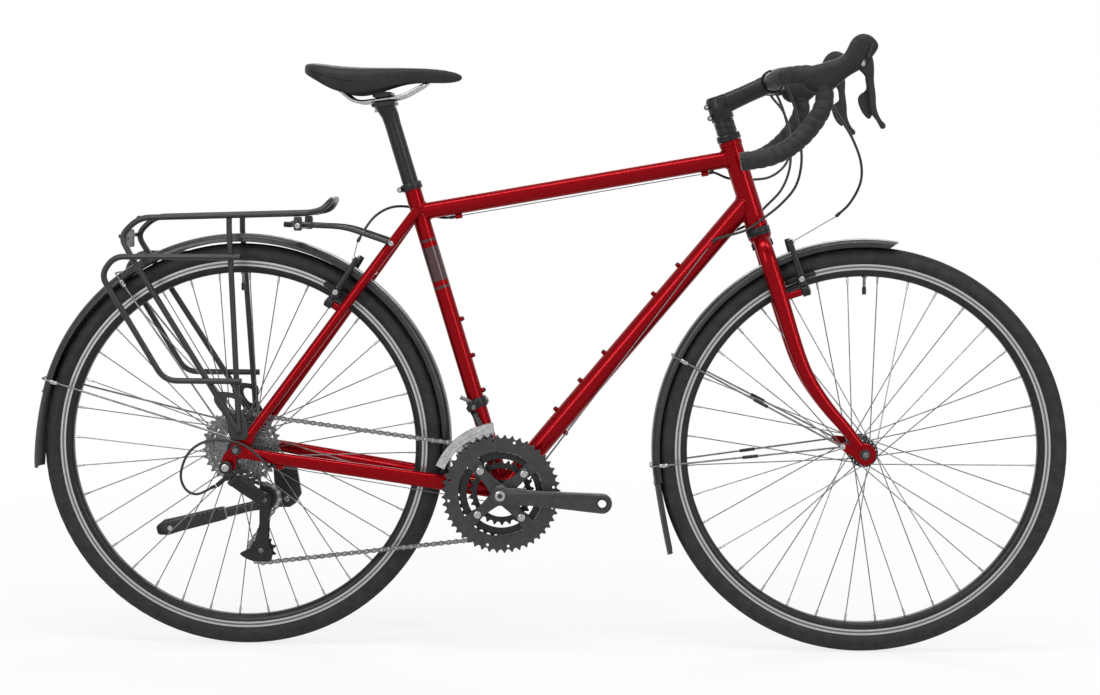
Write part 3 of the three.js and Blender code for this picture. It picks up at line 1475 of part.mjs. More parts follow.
function makeRightCrank() {
  const spindleEnd = crankSize.hubFace + crankSize.armThickness / 2;
  const leftEnd = crankSize.hubFace - touchGap;
  const spindle = crossRod(bracket.x, bracket.z, -spindleEnd, leftEnd, crankSize.spindleRadius, sides.tube);
  const face = ringY.outer - driveSize.sprocketHalfThickness - touchGap;
  const spider = boltAngles.map((angle) => {
    const reach = driveSize.boltCircleRadius + driveSize.boltRadius * driveShares.spiderReach;
    const [x, z] = onCircle(angle, reach / 2, [bracket.x, bracket.z]);
    return block(v(x, face - crankSize.spiderThickness / 2, z),
      v(reach, crankSize.spiderThickness, crankSize.spiderArmWidth), -angle);
  });
  const hub = crossRod(bracket.x, bracket.z, -crankSize.hubFace - overrun, face, crankSize.armHubRadius,
    sides.tube);
  return join(spindle, spider, hub, crankArm(-1, crankAngle));
}

function makeLeftCrank() {
  return crankArm(1, crankAngle + Math.PI);
}

// The rear derailleur's two jockey wheels hang on its cage
const guideWheel = fromRear(shiftSize.guideForward, 0, -shiftSize.guideDrop);
const [tensionX, tensionZ] = onCircle(jockeyAngle, shiftSize.cageLength, [guideWheel.x, guideWheel.z]);
const tensionWheel = v(tensionX, 0, tensionZ);

function makeJockeyWheel(centre) {
  const half = driveSize.sprocketHalfThickness;
  const hole = circleOutline(centre, driveSize.pulleyBoltRadius + runningGap, sides.rod).reverse();
  const outline = circleOutline(centre, pitchRadius(pulleyTeeth) + driveSize.toothHeight, sides.tube);
  const wheel = plate(outline, chainSprocketY - half, chainSprocketY + half, 0, [hole]);
  const hubHalf = shiftSize.jockeyHalfGap - touchGap;
  const hub = ring(v(centre.x, chainSprocketY - hubHalf, centre.z),
    v(centre.x, chainSprocketY + hubHalf, centre.z),
    driveSize.pulleyBoltRadius * 2, driveSize.pulleyBoltRadius + runningGap, sides.rod);
  return join(wheel, hub);
}

// The wheels that the chain runs round, in order. A turn of 1 is clockwise seen from the drive side
const chainWheels = [
  { centre: rearAxle, radius: pitchRadius(sprocketTeeth[usedSprocket]), turn: 1, y: chainSprocketY },
  { centre: bracket, radius: pitchRadius(ringTeeth.middle), turn: 1, y: ringY.middle },
  { centre: tensionWheel, radius: pitchRadius(pulleyTeeth), turn: 1, y: chainSprocketY },
  { centre: guideWheel, radius: pitchRadius(pulleyTeeth), turn: -1, y: chainSprocketY },
];

// The straight run from one wheel to the next: where it leaves and where it arrives
function chainRun(from, to) {
  const dx = to.centre.x - from.centre.x;
  const dz = to.centre.z - from.centre.z;
  const [start, end] = [from.turn * from.radius, to.turn * to.radius];
  const angle = Math.atan2(dz, dx) - Math.asin((start - end) / Math.hypot(dx, dz));
  const left = [-Math.sin(angle), Math.cos(angle)];
  return {
    angle,
    leave: v(from.centre.x + start * left[0], from.y, from.centre.z + start * left[1]),
    arrive: v(to.centre.x + end * left[0], to.y, to.centre.z + end * left[1]),
  };
}

const chainRuns = chainWheels.map((wheel, i) => chainRun(wheel, chainWheels[(i + 1) % chainWheels.length]));

// The chain keeps to a wheel's own plane for a little way on each side of it
function chainBends({ leave, arrive }) {
  const length = leave.distanceTo(arrive);
  const share = Math.min(driveSize.chainPitch * driveShares.bendAway / length, driveShares.bendLimit);
  const first = leave.clone().lerp(arrive, share);
  const last = leave.clone().lerp(arrive, 1 - share);
  first.y = leave.y;
  last.y = arrive.y;
  return [first, last];
}

// Stations round the whole chain, each with its place and its outward direction
function chainStations(stepAngle) {
  const stations = [];
  chainWheels.forEach((wheel, i) => {
    const before = chainRuns[(i + chainWheels.length - 1) % chainWheels.length].angle;
    const after = chainRuns[i].angle;
    let sweep = (before - after) * wheel.turn;
    while (sweep < 0) sweep += 2 * Math.PI;
    while (sweep > 2 * Math.PI) sweep -= 2 * Math.PI;
    const steps = Math.max(2, Math.ceil(sweep / stepAngle));
    for (let s = 0; s <= steps; s += 1) {
      const heading = before - (wheel.turn * sweep * s) / steps;
      const left = v(-Math.sin(heading), 0, Math.cos(heading));
      const place = v(wheel.centre.x, wheel.y, wheel.centre.z)
        .addScaledVector(left, wheel.turn * wheel.radius);
      stations.push({ place, left });
    }
    const left = v(-Math.sin(after), 0, Math.cos(after));
    chainBends(chainRuns[i]).forEach((place) => stations.push({ place, left }));
  });
  return stations;
}

function chainPlates(side, stations) {
  const { plateInner, plateOuter, plateHalfHeight } = driveSize;
  return loft(stations.map(({ place, left }) =>
    [[-1, plateInner], [1, plateInner], [1, plateOuter], [-1, plateOuter]]
    .map(([height, offset]) => place.clone().addScaledVector(left, height * plateHalfHeight)
      .add(v(0, side * offset, 0)))), true);
}

// Pins join the two rows of plates along the runs that are clear of any teeth
function chainPins() {
  const { chainPitch, plateInner, pinRadius } = driveSize;
  return [0, 1, 2].flatMap((i) => {
    const [first, last] = chainBends(chainRuns[i]);
    const length = first.distanceTo(last);
    const count = Math.floor(length / (chainPitch * linksPerPin));
    return Array.from({ length: count + 1 }, (_, n) => {
      const place = first.clone().lerp(last, (n * chainPitch * linksPerPin) / length);
      const half = plateInner * driveShares.pinReach;
      return rod(place.clone().add(v(0, -half, 0)), place.clone().add(v(0, half, 0)), pinRadius,
        sides.wire);
    });
  });
}

function makeChain() {
  const stations = chainStations(chainStepAngle);
  return join(chainPlates(-1, stations), chainPlates(1, stations), chainPins());
}

// Front derailleur: a band round the seat tube, and the cage that it carries

function makeBand() {
  const inner = frameSize.seatTubeRadius + touchGap;
  const outer = inner + shiftSize.bandWall;
  const low = onSeat(shiftSize.bandRise);
  const high = onSeat(shiftSize.bandRise + shiftSize.bandHeight);
  const arm = bandArmPlace();
  const armBlock = block(arm, v(shiftSize.bandHeight, shiftSize.bandHeight,
    shiftSize.bandHeight * bandShares.armTall), 0);
  return cut(join(rod(low, high, outer, sides.tube), armBlock), longRod(low, high, inner, sides.tube));
}

const bandArmPlace = () => onSeat(
  shiftSize.bandRise + shiftSize.bandHeight * bandShares.armRise,
  -frameSize.seatTubeRadius * bandShares.armBack,
  -frameSize.seatTubeRadius - shiftSize.bandHeight * bandShares.armOut,
);

function arcBand(inner, outer, [from, to], count, centre) {
  const at = (radius, i) => onCircle(from + ((to - from) * i) / count, radius, [centre.x, centre.z]);
  const outerEdge = Array.from({ length: count + 1 }, (_, i) => at(outer, i));
  const innerEdge = Array.from({ length: count + 1 }, (_, i) => at(inner, count - i));
  return [...outerEdge, ...innerEdge];
}

function makeFrontCage() {
  const { cageInnerRadius, cageOuterRadius, cageDeepRadius, cagePlate, cageHalfGap,
    cageInnerGap } = shiftSize;
  const middle = ringY.middle;
  const outerPlate = plate(arcBand(cageInnerRadius, cageOuterRadius, cageAngles, 6, bracket),
    middle - cageHalfGap - cagePlate, middle - cageHalfGap);
  const deepArc = [cageAngles[0], THREE.MathUtils.lerp(cageAngles[0], cageAngles[1], cageShares.deepArc)];
  const innerPlate = plate(arcBand(cageDeepRadius, cageOuterRadius, deepArc, 4, bracket),
    middle + cageInnerGap, middle + cageInnerGap + cagePlate);
  const innerTail = plate(arcBand(cageInnerRadius, cageOuterRadius, cageAngles, 6, bracket),
    middle + cageInnerGap, middle + cageInnerGap + cagePlate);
  const bridge = plate(arcBand(cageOuterRadius - cagePlate * cageShares.bridgeDepth, cageOuterRadius,
    cageBridgeAngles, 2, bracket),
    middle - cageHalfGap - cagePlate, middle + cageInnerGap + cagePlate);
  const tailArc = [cageAngles[1] - (cageAngles[1] - cageAngles[0]) * cageShares.tailArc, cageAngles[1]];
  const tail = plate(arcBand(cageInnerRadius, cageOuterRadius, tailArc, 1, bracket),
    middle - cageHalfGap - cagePlate, middle + cageInnerGap + cagePlate);
  const arm = bandArmPlace();
  const tall = shiftSize.bandHeight;
  const topRise = arm.z - tall * bandShares.hangerDrop - touchGap * bandShares.hangerGap;
  const bridgeMiddle = (cageBridgeAngles[0] + cageBridgeAngles[1]) / 2;
  const [hx, hz] = onCircle(bridgeMiddle, cageOuterRadius - cagePlate, [bracket.x, bracket.z]);
  const hangerLow = Math.min(arm.y - shiftSize.bandHeight / 2, middle + cageInnerGap);
  const link = loft([
    oval(v(arm.x, arm.y, topRise), v(tall * bandShares.hangerTopWide, 0, 0),
      v(0, tall * bandShares.hangerTopDeep, 0), sides.small),
    oval(v(hx, hangerLow, hz - cagePlate), v(tall * bandShares.hangerLowWide, 0, 0),
      v(0, tall * bandShares.hangerLowDeep, 0), sides.small),
  ]);
  return join(outerPlate, innerPlate, innerTail, bridge, tail, link);
}

// Rear derailleur: the knuckle on its hanger, the link, the lower knuckle and the cage

const hangerPlace = fromRear(-shiftSize.hangerBack, 0, -shiftSize.hangerDrop);
const knuckleOuter = -dropoutOuter - touchGap - shiftSize.knuckleLength;
const lowerKnuckleY = chainSprocketY - shiftSize.jockeyHalfGap - shiftSize.jockeyPlate - touchGap;
const lowerKnuckleOuter = lowerKnuckleY - shiftSize.knuckleLength * mechShares.lowerKnuckleLength;

const linkTop = v(
  hangerPlace.x + shiftSize.knuckleRadius * mechShares.linkTopForward,
  knuckleOuter + shiftSize.linkThickness * mechShares.linkTopOut,
  hangerPlace.z - shiftSize.knuckleRadius * mechShares.linkTopDrop,
);
const linkLow = v(
  guideWheel.x - shiftSize.knuckleRadius * mechShares.linkLowBack,
  lowerKnuckleOuter - shiftSize.linkThickness / 2 - touchGap,
  guideWheel.z + shiftSize.knuckleRadius * mechShares.linkLowBack,
);
const linkRun = linkLow.clone().sub(linkTop).setY(0).normalize();
const linkPin = v(-linkRun.z, 0, linkRun.x);

function makeUpperKnuckle() {
  const inner = -dropoutOuter - touchGap;
  const body = crossRod(hangerPlace.x, hangerPlace.z, inner, knuckleOuter, shiftSize.knuckleRadius,
    sides.tube);
  const face = linkTop.clone().addScaledVector(linkRun, -shiftSize.linkThickness / 2 - touchGap);
  const ear = rod(face.clone().addScaledVector(linkRun, -shiftSize.knuckleRadius), face,
    shiftSize.linkThickness / 2);
  return join(body, ear, crossBarrel());
}

// The cable's adjusting barrel points backwards from the knuckle
function crossBarrel() {
  const start = linkTop.clone().addScaledVector(linkRun, -shiftSize.knuckleRadius - touchGap);
  return rod(start, barrelEnd(), shiftSize.linkThickness * mechShares.barrelRadius, sides.small);
}

const barrelGap = () => barrelEnd().addScaledVector(barrelEnd().sub(linkTop).normalize(),
  touchGap * mechShares.barrelGap);

const barrelEnd = () => linkTop.clone().add(v(
  -shiftSize.knuckleRadius * mechShares.barrelBack,
  0,
  -shiftSize.knuckleRadius * mechShares.barrelDrop,
));

// A thin plate with a round pivot at each end
function makeLink() {
  const { linkThickness, linkWidth } = shiftSize;
  const across = v(0, linkThickness * mechShares.linkHalfWide, 0);
  const tall = linkPin.clone().multiplyScalar(linkWidth / 2);
  const plateRings = [linkTop, linkLow].map((centre) => oval(centre, tall, across, sides.small));
  const pivots = [linkTop, linkLow].map((centre) =>
    rod(centre.clone().sub(tall), centre.clone().add(tall), linkThickness / 2, sides.small));
  return join(loft(plateRings), pivots);
}

function makeLowerKnuckle() {
  return crossRod(guideWheel.x, guideWheel.z, lowerKnuckleOuter, lowerKnuckleY, shiftSize.pivotRadius,
    sides.tube);
}

// Two side plates, joined by the bolts of the two jockey wheels
function makeJockeyCage() {
  const { jockeyPlate, jockeyHalfGap, jockeyPlateRadius } = shiftSize;
  const turn = jockeyAngle;
  const outlineAt = (narrow) => {
    const arc = (centre, radius, from, to) => Array.from({ length: 7 }, (_, i) =>
      onCircle(from + ((to - from) * i) / 6, radius, [centre.x, centre.z]));
    return [
      ...arc(guideWheel, jockeyPlateRadius, turn + Math.PI / 2, turn + (3 * Math.PI) / 2),
      ...arc(tensionWheel, jockeyPlateRadius * narrow, turn - Math.PI / 2, turn + Math.PI / 2),
    ];
  };
  const plates = [-1, 1].map((side) => {
    const near = chainSprocketY + side * jockeyHalfGap;
    const [low, high] = [near, near + side * jockeyPlate].sort((a, b) => a - b);
    return plate(outlineAt(side < 0 ? mechShares.outerPlateEnd : mechShares.innerPlateEnd), low, high);
  });
  const finOutline = cageFinShares.map(([x, z]) =>
    [tensionWheel.x + x * jockeyPlateRadius, tensionWheel.z + z * jockeyPlateRadius]);
  const fin = plate(finOutline, chainSprocketY - jockeyHalfGap - jockeyPlate,
    chainSprocketY - jockeyHalfGap);
  const bolts = [guideWheel, tensionWheel].map((centre) => crossRod(centre.x, centre.z,
    chainSprocketY - jockeyHalfGap - jockeyPlate, chainSprocketY + jockeyHalfGap + jockeyPlate,
    driveSize.pulleyBoltRadius));
  return join(plates, fin, bolts);
}

// Brakes: each arm turns on its boss and carries one pad

function makeBrakeArm(wheel, side) {
  const axle = wheel === 'rear' ? rearAxle : frontAxle;
  const pivot = brakePivot(wheel, side);
  const up = brakeUp[wheel];
  const out = brakeOut[wheel];
  const { armLength, armDepth, armThickness, hubRadius, postRadius } = brakeSize;
  const { padLength, padHeight, padThickness, padGap } = brakeSize;
  const halfDepth = armDepth / 2;
  const hub = rod(pivot.clone().addScaledVector(out, -halfDepth),
    pivot.clone().addScaledVector(out, halfDepth),
    hubRadius, sides.rod);
  const lean = brakeSize.pivotHalfWidth - brakeSize.topHalfWidth;
  const at = (rise, width, depth) => {
    const centre = pivot.clone().addScaledVector(up, rise * armLength).add(v(0, -side * lean * rise, 0));
    return oval(centre, v(0, width, 0), out.clone().multiplyScalar(depth), sides.small);
  };
  const arm = loft(armStationShares.map(([rise, deep]) => at(rise, armThickness / 2, halfDepth * deep)));
  const toRim = pivot.clone().sub(axle).setY(0).normalize();
  const padAxis = axle.clone().addScaledVector(toRim,
    wheelSize.rimOuterRadius - padHeight * padShares.belowRimEdge);
  const along = v(-toRim.z, 0, toRim.x);
  const padMiddle = wheelSize.rimHalfWidth + padGap + padThickness / 2;
  const slip = pivot.clone().sub(padAxis).dot(along) * padShares.slip;
  const padCentre = padAxis.clone().addScaledVector(along, slip).add(v(0, side * padMiddle, 0));
  const padTurn = Math.atan2(along.z, along.x);
  const pad = block(padCentre, v(padLength, padThickness, padHeight), -padTurn);
  const rise = padCentre.clone().sub(pivot).dot(up) / armLength;
  const armPoint = pivot.clone().addScaledVector(up, rise * armLength).add(v(0, -side * lean * rise, 0));
  const stud = rod(padCentre, v(padCentre.x, armPoint.y, padCentre.z), postRadius);
  const tie = rod(v(padCentre.x, armPoint.y, padCentre.z), armPoint, postRadius);
  const hole = rod(pivot.clone().addScaledVector(out, -halfDepth - overrun),
    pivot.clone().addScaledVector(out, halfDepth + overrun), postRadius + runningGap);
  return cut(join(hub, arm, pad, stud, tie), hole);
}

// Mudguards: a curved sheet round part of the tyre, with a flap at its lower end

function guardRings(centre, radius, [from, to], count) {
  const { halfWidth, sideDrop, sheet } = guardSize;
  return Array.from({ length: count + 1 }, (_, i) => {
    const angle = from + ((to - from) * i) / count;
    const out = v(Math.cos(angle), 0, Math.sin(angle));
    const at = (side, inward) => centre.clone().addScaledVector(out, radius - inward).add(v(0, side, 0));
    const outer = guardSectionShares.map(([side, inward]) => at(side * halfWidth, inward * sideDrop));
    const inner = guardSectionShares.slice().reverse().map(([side, inward]) =>
      at(side * (halfWidth - sheet), inward * (sideDrop - sheet) + sheet));
    return [...outer, ...inner];
  });
}

function flap(centre, radius, [from, to], reach) {
  const { halfWidth, flapSheet, flapDrop } = guardSize;
  return loft(flapStationShares.map((share) => {
    const angle = from + (to - from) * share;
    const out = v(Math.cos(angle), 0, Math.sin(angle));
    const at = ([side, inward], deeper) => centre.clone()
      .addScaledVector(out, radius + reach * share ** 2 - inward * flapDrop - deeper)
      .add(v(0, side * halfWidth * (flapWidthShares.top + flapWidthShares.spread * share), 0));
    const outer = flapSectionShares.map((point) => at(point, 0));
    const inner = flapSectionShares.slice().reverse().map((point) => at(point, flapSheet));
    return [...outer, ...inner];
  }));
}

const rearGuardCentre = rearAxle.clone().add(v(0, 0, guardSize.rearLift));
const frontGuardCentre = frontAxle.clone().add(v(0, 0, guardSize.frontLift));

function makeRearGuard() {
  const sheet = loft(guardRings(rearGuardCentre, guardSize.rearRadius, guardAngles.rear,
    guardStationCounts.rear));
  return join(sheet, flap(rearGuardCentre, guardSize.rearRadius, guardAngles.rearFlap,
    guardSize.rearFlapReach));
}

function makeFrontGuard() {
  const sheet = loft(guardRings(frontGuardCentre, guardSize.frontRadius, guardAngles.front,
    guardStationCounts.front));
  return join(sheet, flap(frontGuardCentre, guardSize.frontRadius, guardAngles.frontFlap,
    guardSize.frontFlapReach));
}

// Two wire stays on each side, from the eyelet to clamps on a strap over the mudguard
function guardStays(eyelet, centre, radius, angles) {
  const { halfWidth, stayRadius, stayClampLength, stayClampRadius, sideDrop, sheet } = guardSize;
  const bolt = [-1, 1].map((side) => {
    const foot = eyelet(side);
    const boltEnd = foot.y + side * stayRadius * stayBoltShares.length;
    return crossRod(foot.x, foot.z, foot.y + side * touchGap, boltEnd, stayRadius * stayBoltShares.radius,
      sides.small);
  });
  const legs = angles.flatMap((angle) => {
    const out = v(Math.cos(angle), 0, Math.sin(angle));
    const edge = (side, reach, width) => centre.clone().addScaledVector(out, reach)
      .add(v(0, side * width, 0));
    const clampWidth = halfWidth + stayClampRadius + touchGap;
    const strap = pipe(rounded([
      edge(-1, radius - sideDrop, clampWidth), edge(-1, radius + sheet + stayRadius, clampWidth),
      edge(1, radius + sheet + stayRadius, clampWidth), edge(1, radius - sideDrop, clampWidth),
    ], stayClampRadius * 2, 1), stayRadius, sides.wire);
    const arms = [-1, 1].flatMap((side) => {
      const foot = eyelet(side).add(v(0, side * (stayRadius * 2), 0));
      const clamp = edge(side, radius - sideDrop, clampWidth);
      const inward = clamp.clone().addScaledVector(foot.clone().sub(clamp).normalize(), stayClampLength);
      return [rod(foot, clamp, stayRadius, sides.wire), rod(clamp, inward, stayClampRadius, sides.wire)];
    });
    return [strap, ...arms];
  });
  return join(bolt, legs);
}

// Rear rack

const rackPoint = (x, y, z) => fromRear(x, y, z);

function rackSide(side) {
  const r = rackSize;
  const y = side * r.halfWidth;
  const foot = side * r.footHalfWidth;
  const main = pipe(rounded([
    rackPoint(r.railFront, y, r.railFrontRise), rackPoint(r.railRear, y, r.railRise),
    rackPoint(r.tailBack, y, r.tailRise), rackPoint(r.tailTuck, y + side * r.tubeRadius, r.tailTuckRise),
    rackPoint(r.footBack, foot, r.footRise),
  ], r.bendRadius * rackShares.railBend, 2), r.tubeRadius, sides.small);
  const upright = pipe([
    rackPoint(r.uprightBack, y, r.railRise), rackPoint(r.uprightBack, y, r.railRise - r.bendRadius),
    rackPoint(r.footBack, foot, r.footRise),
  ], r.tubeRadius, sides.small);
  const loopY = side * r.loopHalfWidth;
  const loop = pipe(rounded([
    rackPoint(r.loopFront, loopY, r.loopRise), rackPoint(r.loopBack + r.bendRadius, loopY, r.loopRise),
    rackPoint(r.loopBack, loopY, r.loopRise - r.bendRadius * rackShares.loopBend),
    rackPoint(r.loopLowBack, loopY, r.loopLowRise),
    rackPoint(r.loopFront, loopY, r.loopLowRise),
  ], r.bendRadius, 1), r.tubeRadius, sides.small);
  const lowTieBack = r.footBack * rackShares.tieBack;
  const ties = [
    [rackPoint(r.uprightBack, y, r.loopRise), rackPoint(r.uprightBack, loopY, r.loopRise)],
    [rackPoint(r.tailTuck, y, r.tailTuckRise), rackPoint(r.tailTuck, loopY, r.loopRise)],
    [rackPoint(lowTieBack, foot, r.loopLowRise), rackPoint(lowTieBack, loopY, r.loopLowRise)],
  ].map(([from, to]) => rod(from, to, r.crossTubeRadius, sides.boss));
  const lug = crossRod(rearAxle.x + r.footBack, rearAxle.z + r.footRise, side * (dropoutOuter + touchGap),
    side * (r.footHalfWidth + r.tubeRadius), r.tubeRadius * rackShares.lugRadius);
  return [main, upright, loop, ...ties, lug];
}

function makeRack() {
  const r = rackSize;
  const nose = pipe(rounded([
    rackPoint(r.railFront - r.tubeRadius, -r.halfWidth, r.railFrontRise),
    rackPoint(r.railFront + r.bendRadius, -r.halfWidth * rackShares.noseWidth,
      r.railFrontRise + r.tubeRadius),
    rackPoint(r.noseForward, -r.noseHalfWidth, r.noseRise),
    rackPoint(r.noseForward, r.noseHalfWidth, r.noseRise),
    rackPoint(r.railFront + r.bendRadius, r.halfWidth * rackShares.noseWidth,
      r.railFrontRise + r.tubeRadius),
    rackPoint(r.railFront - r.tubeRadius, r.halfWidth, r.railFrontRise),
  ], r.bendRadius, 1), r.tubeRadius, sides.small);
  const crossPlaces = [r.railRear, r.uprightBack, r.railFront];
  const crosses = crossPlaces.map((x) => {
    const rise = THREE.MathUtils.mapLinear(x, r.railRear, r.railFront, r.railRise, r.railFrontRise);
    return rod(rackPoint(x, -r.halfWidth, rise), rackPoint(x, r.halfWidth, rise), r.crossTubeRadius,
      sides.boss);
  });
  const tailCross = rod(rackPoint(r.tailBack, -r.halfWidth, r.tailRise),
    rackPoint(r.tailBack, r.halfWidth, r.tailRise),
    r.crossTubeRadius, sides.boss);
  const lightPlate = block(rackPoint(r.platePlace, 0, r.plateRise),
    v(r.plateThickness, r.plateWidth, r.plateHeight));
  return join([-1, 1].flatMap(rackSide), nose, crosses, tailCross, lightPlate);
}

// The rack's arms reach forward to bolts on the seat stays, from one clamp bar under the rack
function makeRackArms() {
  const r = rackSize;
  const clampPlace = r.railFront - r.clampSetback;
  const spread = r.halfWidth * rackShares.armSpread;
  const bar = rod(rackPoint(clampPlace, -r.halfWidth, r.armRise),
    rackPoint(clampPlace, r.halfWidth, r.armRise),
    r.armRadius * rackShares.clampBarRadius, sides.small);
  const railHere = r.railFrontRise - r.tubeRadius - touchGap * rackShares.clampGap;
  const arms = [-1, 1].flatMap((side) => {
    const start = rackPoint(clampPlace - r.clampSize * 2, side * spread, r.armRise + r.armRadius);
    const middle = rackPoint(clampPlace + r.armBend, side * spread, r.armRise);
    const clamp = block(rackPoint(clampPlace, side * r.halfWidth,
      (railHere + r.armRise - r.clampSize / 2) / 2),
      v(r.clampSize, r.clampSize, railHere - r.armRise + r.clampSize / 2));
    return [
      pipe(rounded([start, middle, rackArmEnd(side)], r.bendRadius), r.armRadius, sides.small),
      clamp,
    ];
  });
  return join(bar, arms);
}

// Just outside the stay, at the height of its threaded boss
function rackArmEnd(side) {
  const [, bend, end] = seatstayPoints(side);
  const place = bend.clone().lerp(end, rackShares.armEnd);
  place.y += side * (frameSize.seatstayRadius + rackSize.armRadius + touchGap * rackShares.armEndGap);
  return place;
}

// Saddle, rails and seatpost

const seatpostHead = onSeat(seatSize.postTopRise);
const saddleTail = v(seatpostHead.x - seatSize.saddleTailBack, 0, seatpostHead.z + seatSize.saddleTopRise
  - seatSize.saddleTall);

function makeSaddle() {
  const { saddleLength, saddleHalfWidth, saddleTall } = seatSize;
  const rings = saddleStationShares.map(({ along, wide, top, low, roof }) => {
    const x = saddleTail.x + along * saddleLength;
    const height = (share) => saddleTail.z + share * saddleTall;
    const crown = saddleCrownShares.map(([side, rise]) => v(x, side * wide * saddleHalfWidth,
      THREE.MathUtils.lerp(height(low), height(top), rise)));
    const under = saddleRoofShares.map((side) => v(x, side * wide * saddleHalfWidth,
      THREE.MathUtils.lerp(height(low), height(roof), Math.max(0, 1 - side ** roofCurve))));
    return [...crown, ...under];
  });
  return loft(rings);
}

function makeRails() {
  const { railRadius, railSpread, railDepth, saddleLength, saddleTall } = seatSize;
  const top = saddleTail.z + saddleTall * clampShares.railTop;
  const half = (side) => railStationShares.map(({ along, side: out, drop }) =>
    v(saddleTail.x + along * saddleLength, side * out * railSpread, top - drop * railDepth));
  const corners = [...half(-1), ...half(1).reverse()];
  return pipe(rounded(corners, railSpread * clampShares.railBend, 1), railRadius, sides.small);
}

// Between its two clamped stations a rail is straight
const [railRear, railFront] = railStationShares.slice(2, 4);
const railAt = (along) => {
  const { railDepth, saddleLength, saddleTall } = seatSize;
  const top = saddleTail.z + saddleTall * clampShares.railTop;
  const drop = THREE.MathUtils.mapLinear(along, railRear.along, railFront.along, railRear.drop,
    railFront.drop);
  return v(saddleTail.x + along * saddleLength, 0, top - drop * railDepth);
};
const railMiddle = railAt(clampShares.railMiddle);
const railRise = railAt(railFront.along).sub(railAt(railRear.along));
const railSlope = Math.atan2(railRise.z, railRise.x);

function makeSeatpost() {
  const { postRadius, postInsert, headLength, headWidth, headThickness, railRadius } = seatSize;
  const bottom = onSeat(frameSize.seatTubeLength - postInsert);
  const seat = v(railMiddle.x, 0, railMiddle.z - railRadius - touchGap - headThickness / 2);
  const cradle = block(seat, v(headLength, headWidth, headThickness), -railSlope);
  const post = rod(bottom, seatpostHead, postRadius, sides.tube);
  const neck = rod(seatpostHead.clone().addScaledVector(seatUp, -postRadius), seat, postRadius, sides.tube,
    postRadius * clampShares.neckRadius);
  const hollow = rod(onSeat(frameSize.seatTubeLength - postInsert - overrun),
    seatpostHead.clone().addScaledVector(seatUp, -postRadius * 2), postRadius - seatSize.postWall,
      sides.rod);
  return cut(join(post, neck, cradle), hollow);
}

function makeSaddleClamp() {
  const { clampLength, headWidth, headThickness, railRadius } = seatSize;
  const jaw = v(railMiddle.x, 0, railMiddle.z + railRadius + touchGap + headThickness / 2);
  const top = block(jaw, v(clampLength, headWidth * clampShares.jawWidth, headThickness), -railSlope);
  const down = v(Math.sin(railSlope), 0, -Math.cos(railSlope));
  const bolt = rod(jaw, jaw.clone().addScaledVector(down, headThickness / 2 + railRadius * 2),
    railRadius * clampShares.boltRadius);
  return join(top, bolt);
}

// Kickstand

const standPivot = fromRear(standSize.pivotForward, standSize.offset, -standSize.pivotDrop);

function makeStandBracket() {
  const s = standSize;
  const half = s.bracketThickness / 2;
  const [low, high] = [s.offset - half, s.offset + half];
  const stay = chainstayCentre(s.pivotForward + s.pivotRadius);
  const top = stay.z - frameSize.chainstayTallRear - touchGap * standGapShare;
  const outline = [
    ...standBracketShares.map(([x, z]) => [standPivot.x + x * s.pivotRadius,
      standPivot.z + z * s.pivotRadius]),
    ...standTopShares.map((x) => [standPivot.x + x * s.pivotRadius, top]),
  ];
  const pinHole = crossRod(standPivot.x, standPivot.z, low - overrun, high + overrun,
    s.pinRadius + runningGap);
  return cut(plate(outline, low, high), pinHole);
}

// The left chainstay's centre line at a distance ahead of the rear axle
function chainstayCentre(forward) {
  const rings = chainstayRings(1, 0).map((points) =>
    points.reduce((sum, p) => sum.add(p.clone()), v(0, 0, 0))
    .divideScalar(points.length));
  const x = rearAxle.x + forward;
  const next = rings.findIndex((p) => p.x < x);
  const [a, b] = [rings[next - 1], rings[next]];
  return a.clone().lerp(b, (a.x - x) / (a.x - b.x));
}

function makeStandLeg() {
  const s = standSize;
  const y = s.offset + s.bracketThickness / 2 + touchGap + s.legHalfThickness;
  const along = v(Math.cos(standLean), 0, Math.sin(standLean));
  const across = v(-along.z, 0, along.x);
  const ringAt = (share, high, low, thick) => {
    const centre = v(standPivot.x, y, standPivot.z).addScaledVector(along, share * s.legLength);
    return [[-low, -1], [high, -1], [high, 1], [-low, 1]].map(([rise, side]) => centre.clone()
      .addScaledVector(across, rise * s.legHalfHeight).add(v(0, side * thick * s.legHalfThickness, 0)));
  };
  const leg = loft(standLegShares.map((station) => ringAt(...station)));
  const pin = crossRod(standPivot.x, standPivot.z, s.offset - s.bracketThickness / 2, y, s.pinRadius);
  return join(leg, pin);
}

// Cables. Their routes are chosen by hand: the front ones are measured from the handlebar's middle, the
// tail of the rear brake's cable from the top tube's rear end and then from the rear brake, the wires
// under the bottom bracket from its middle, and the rear derailleur's loop from the rear axle

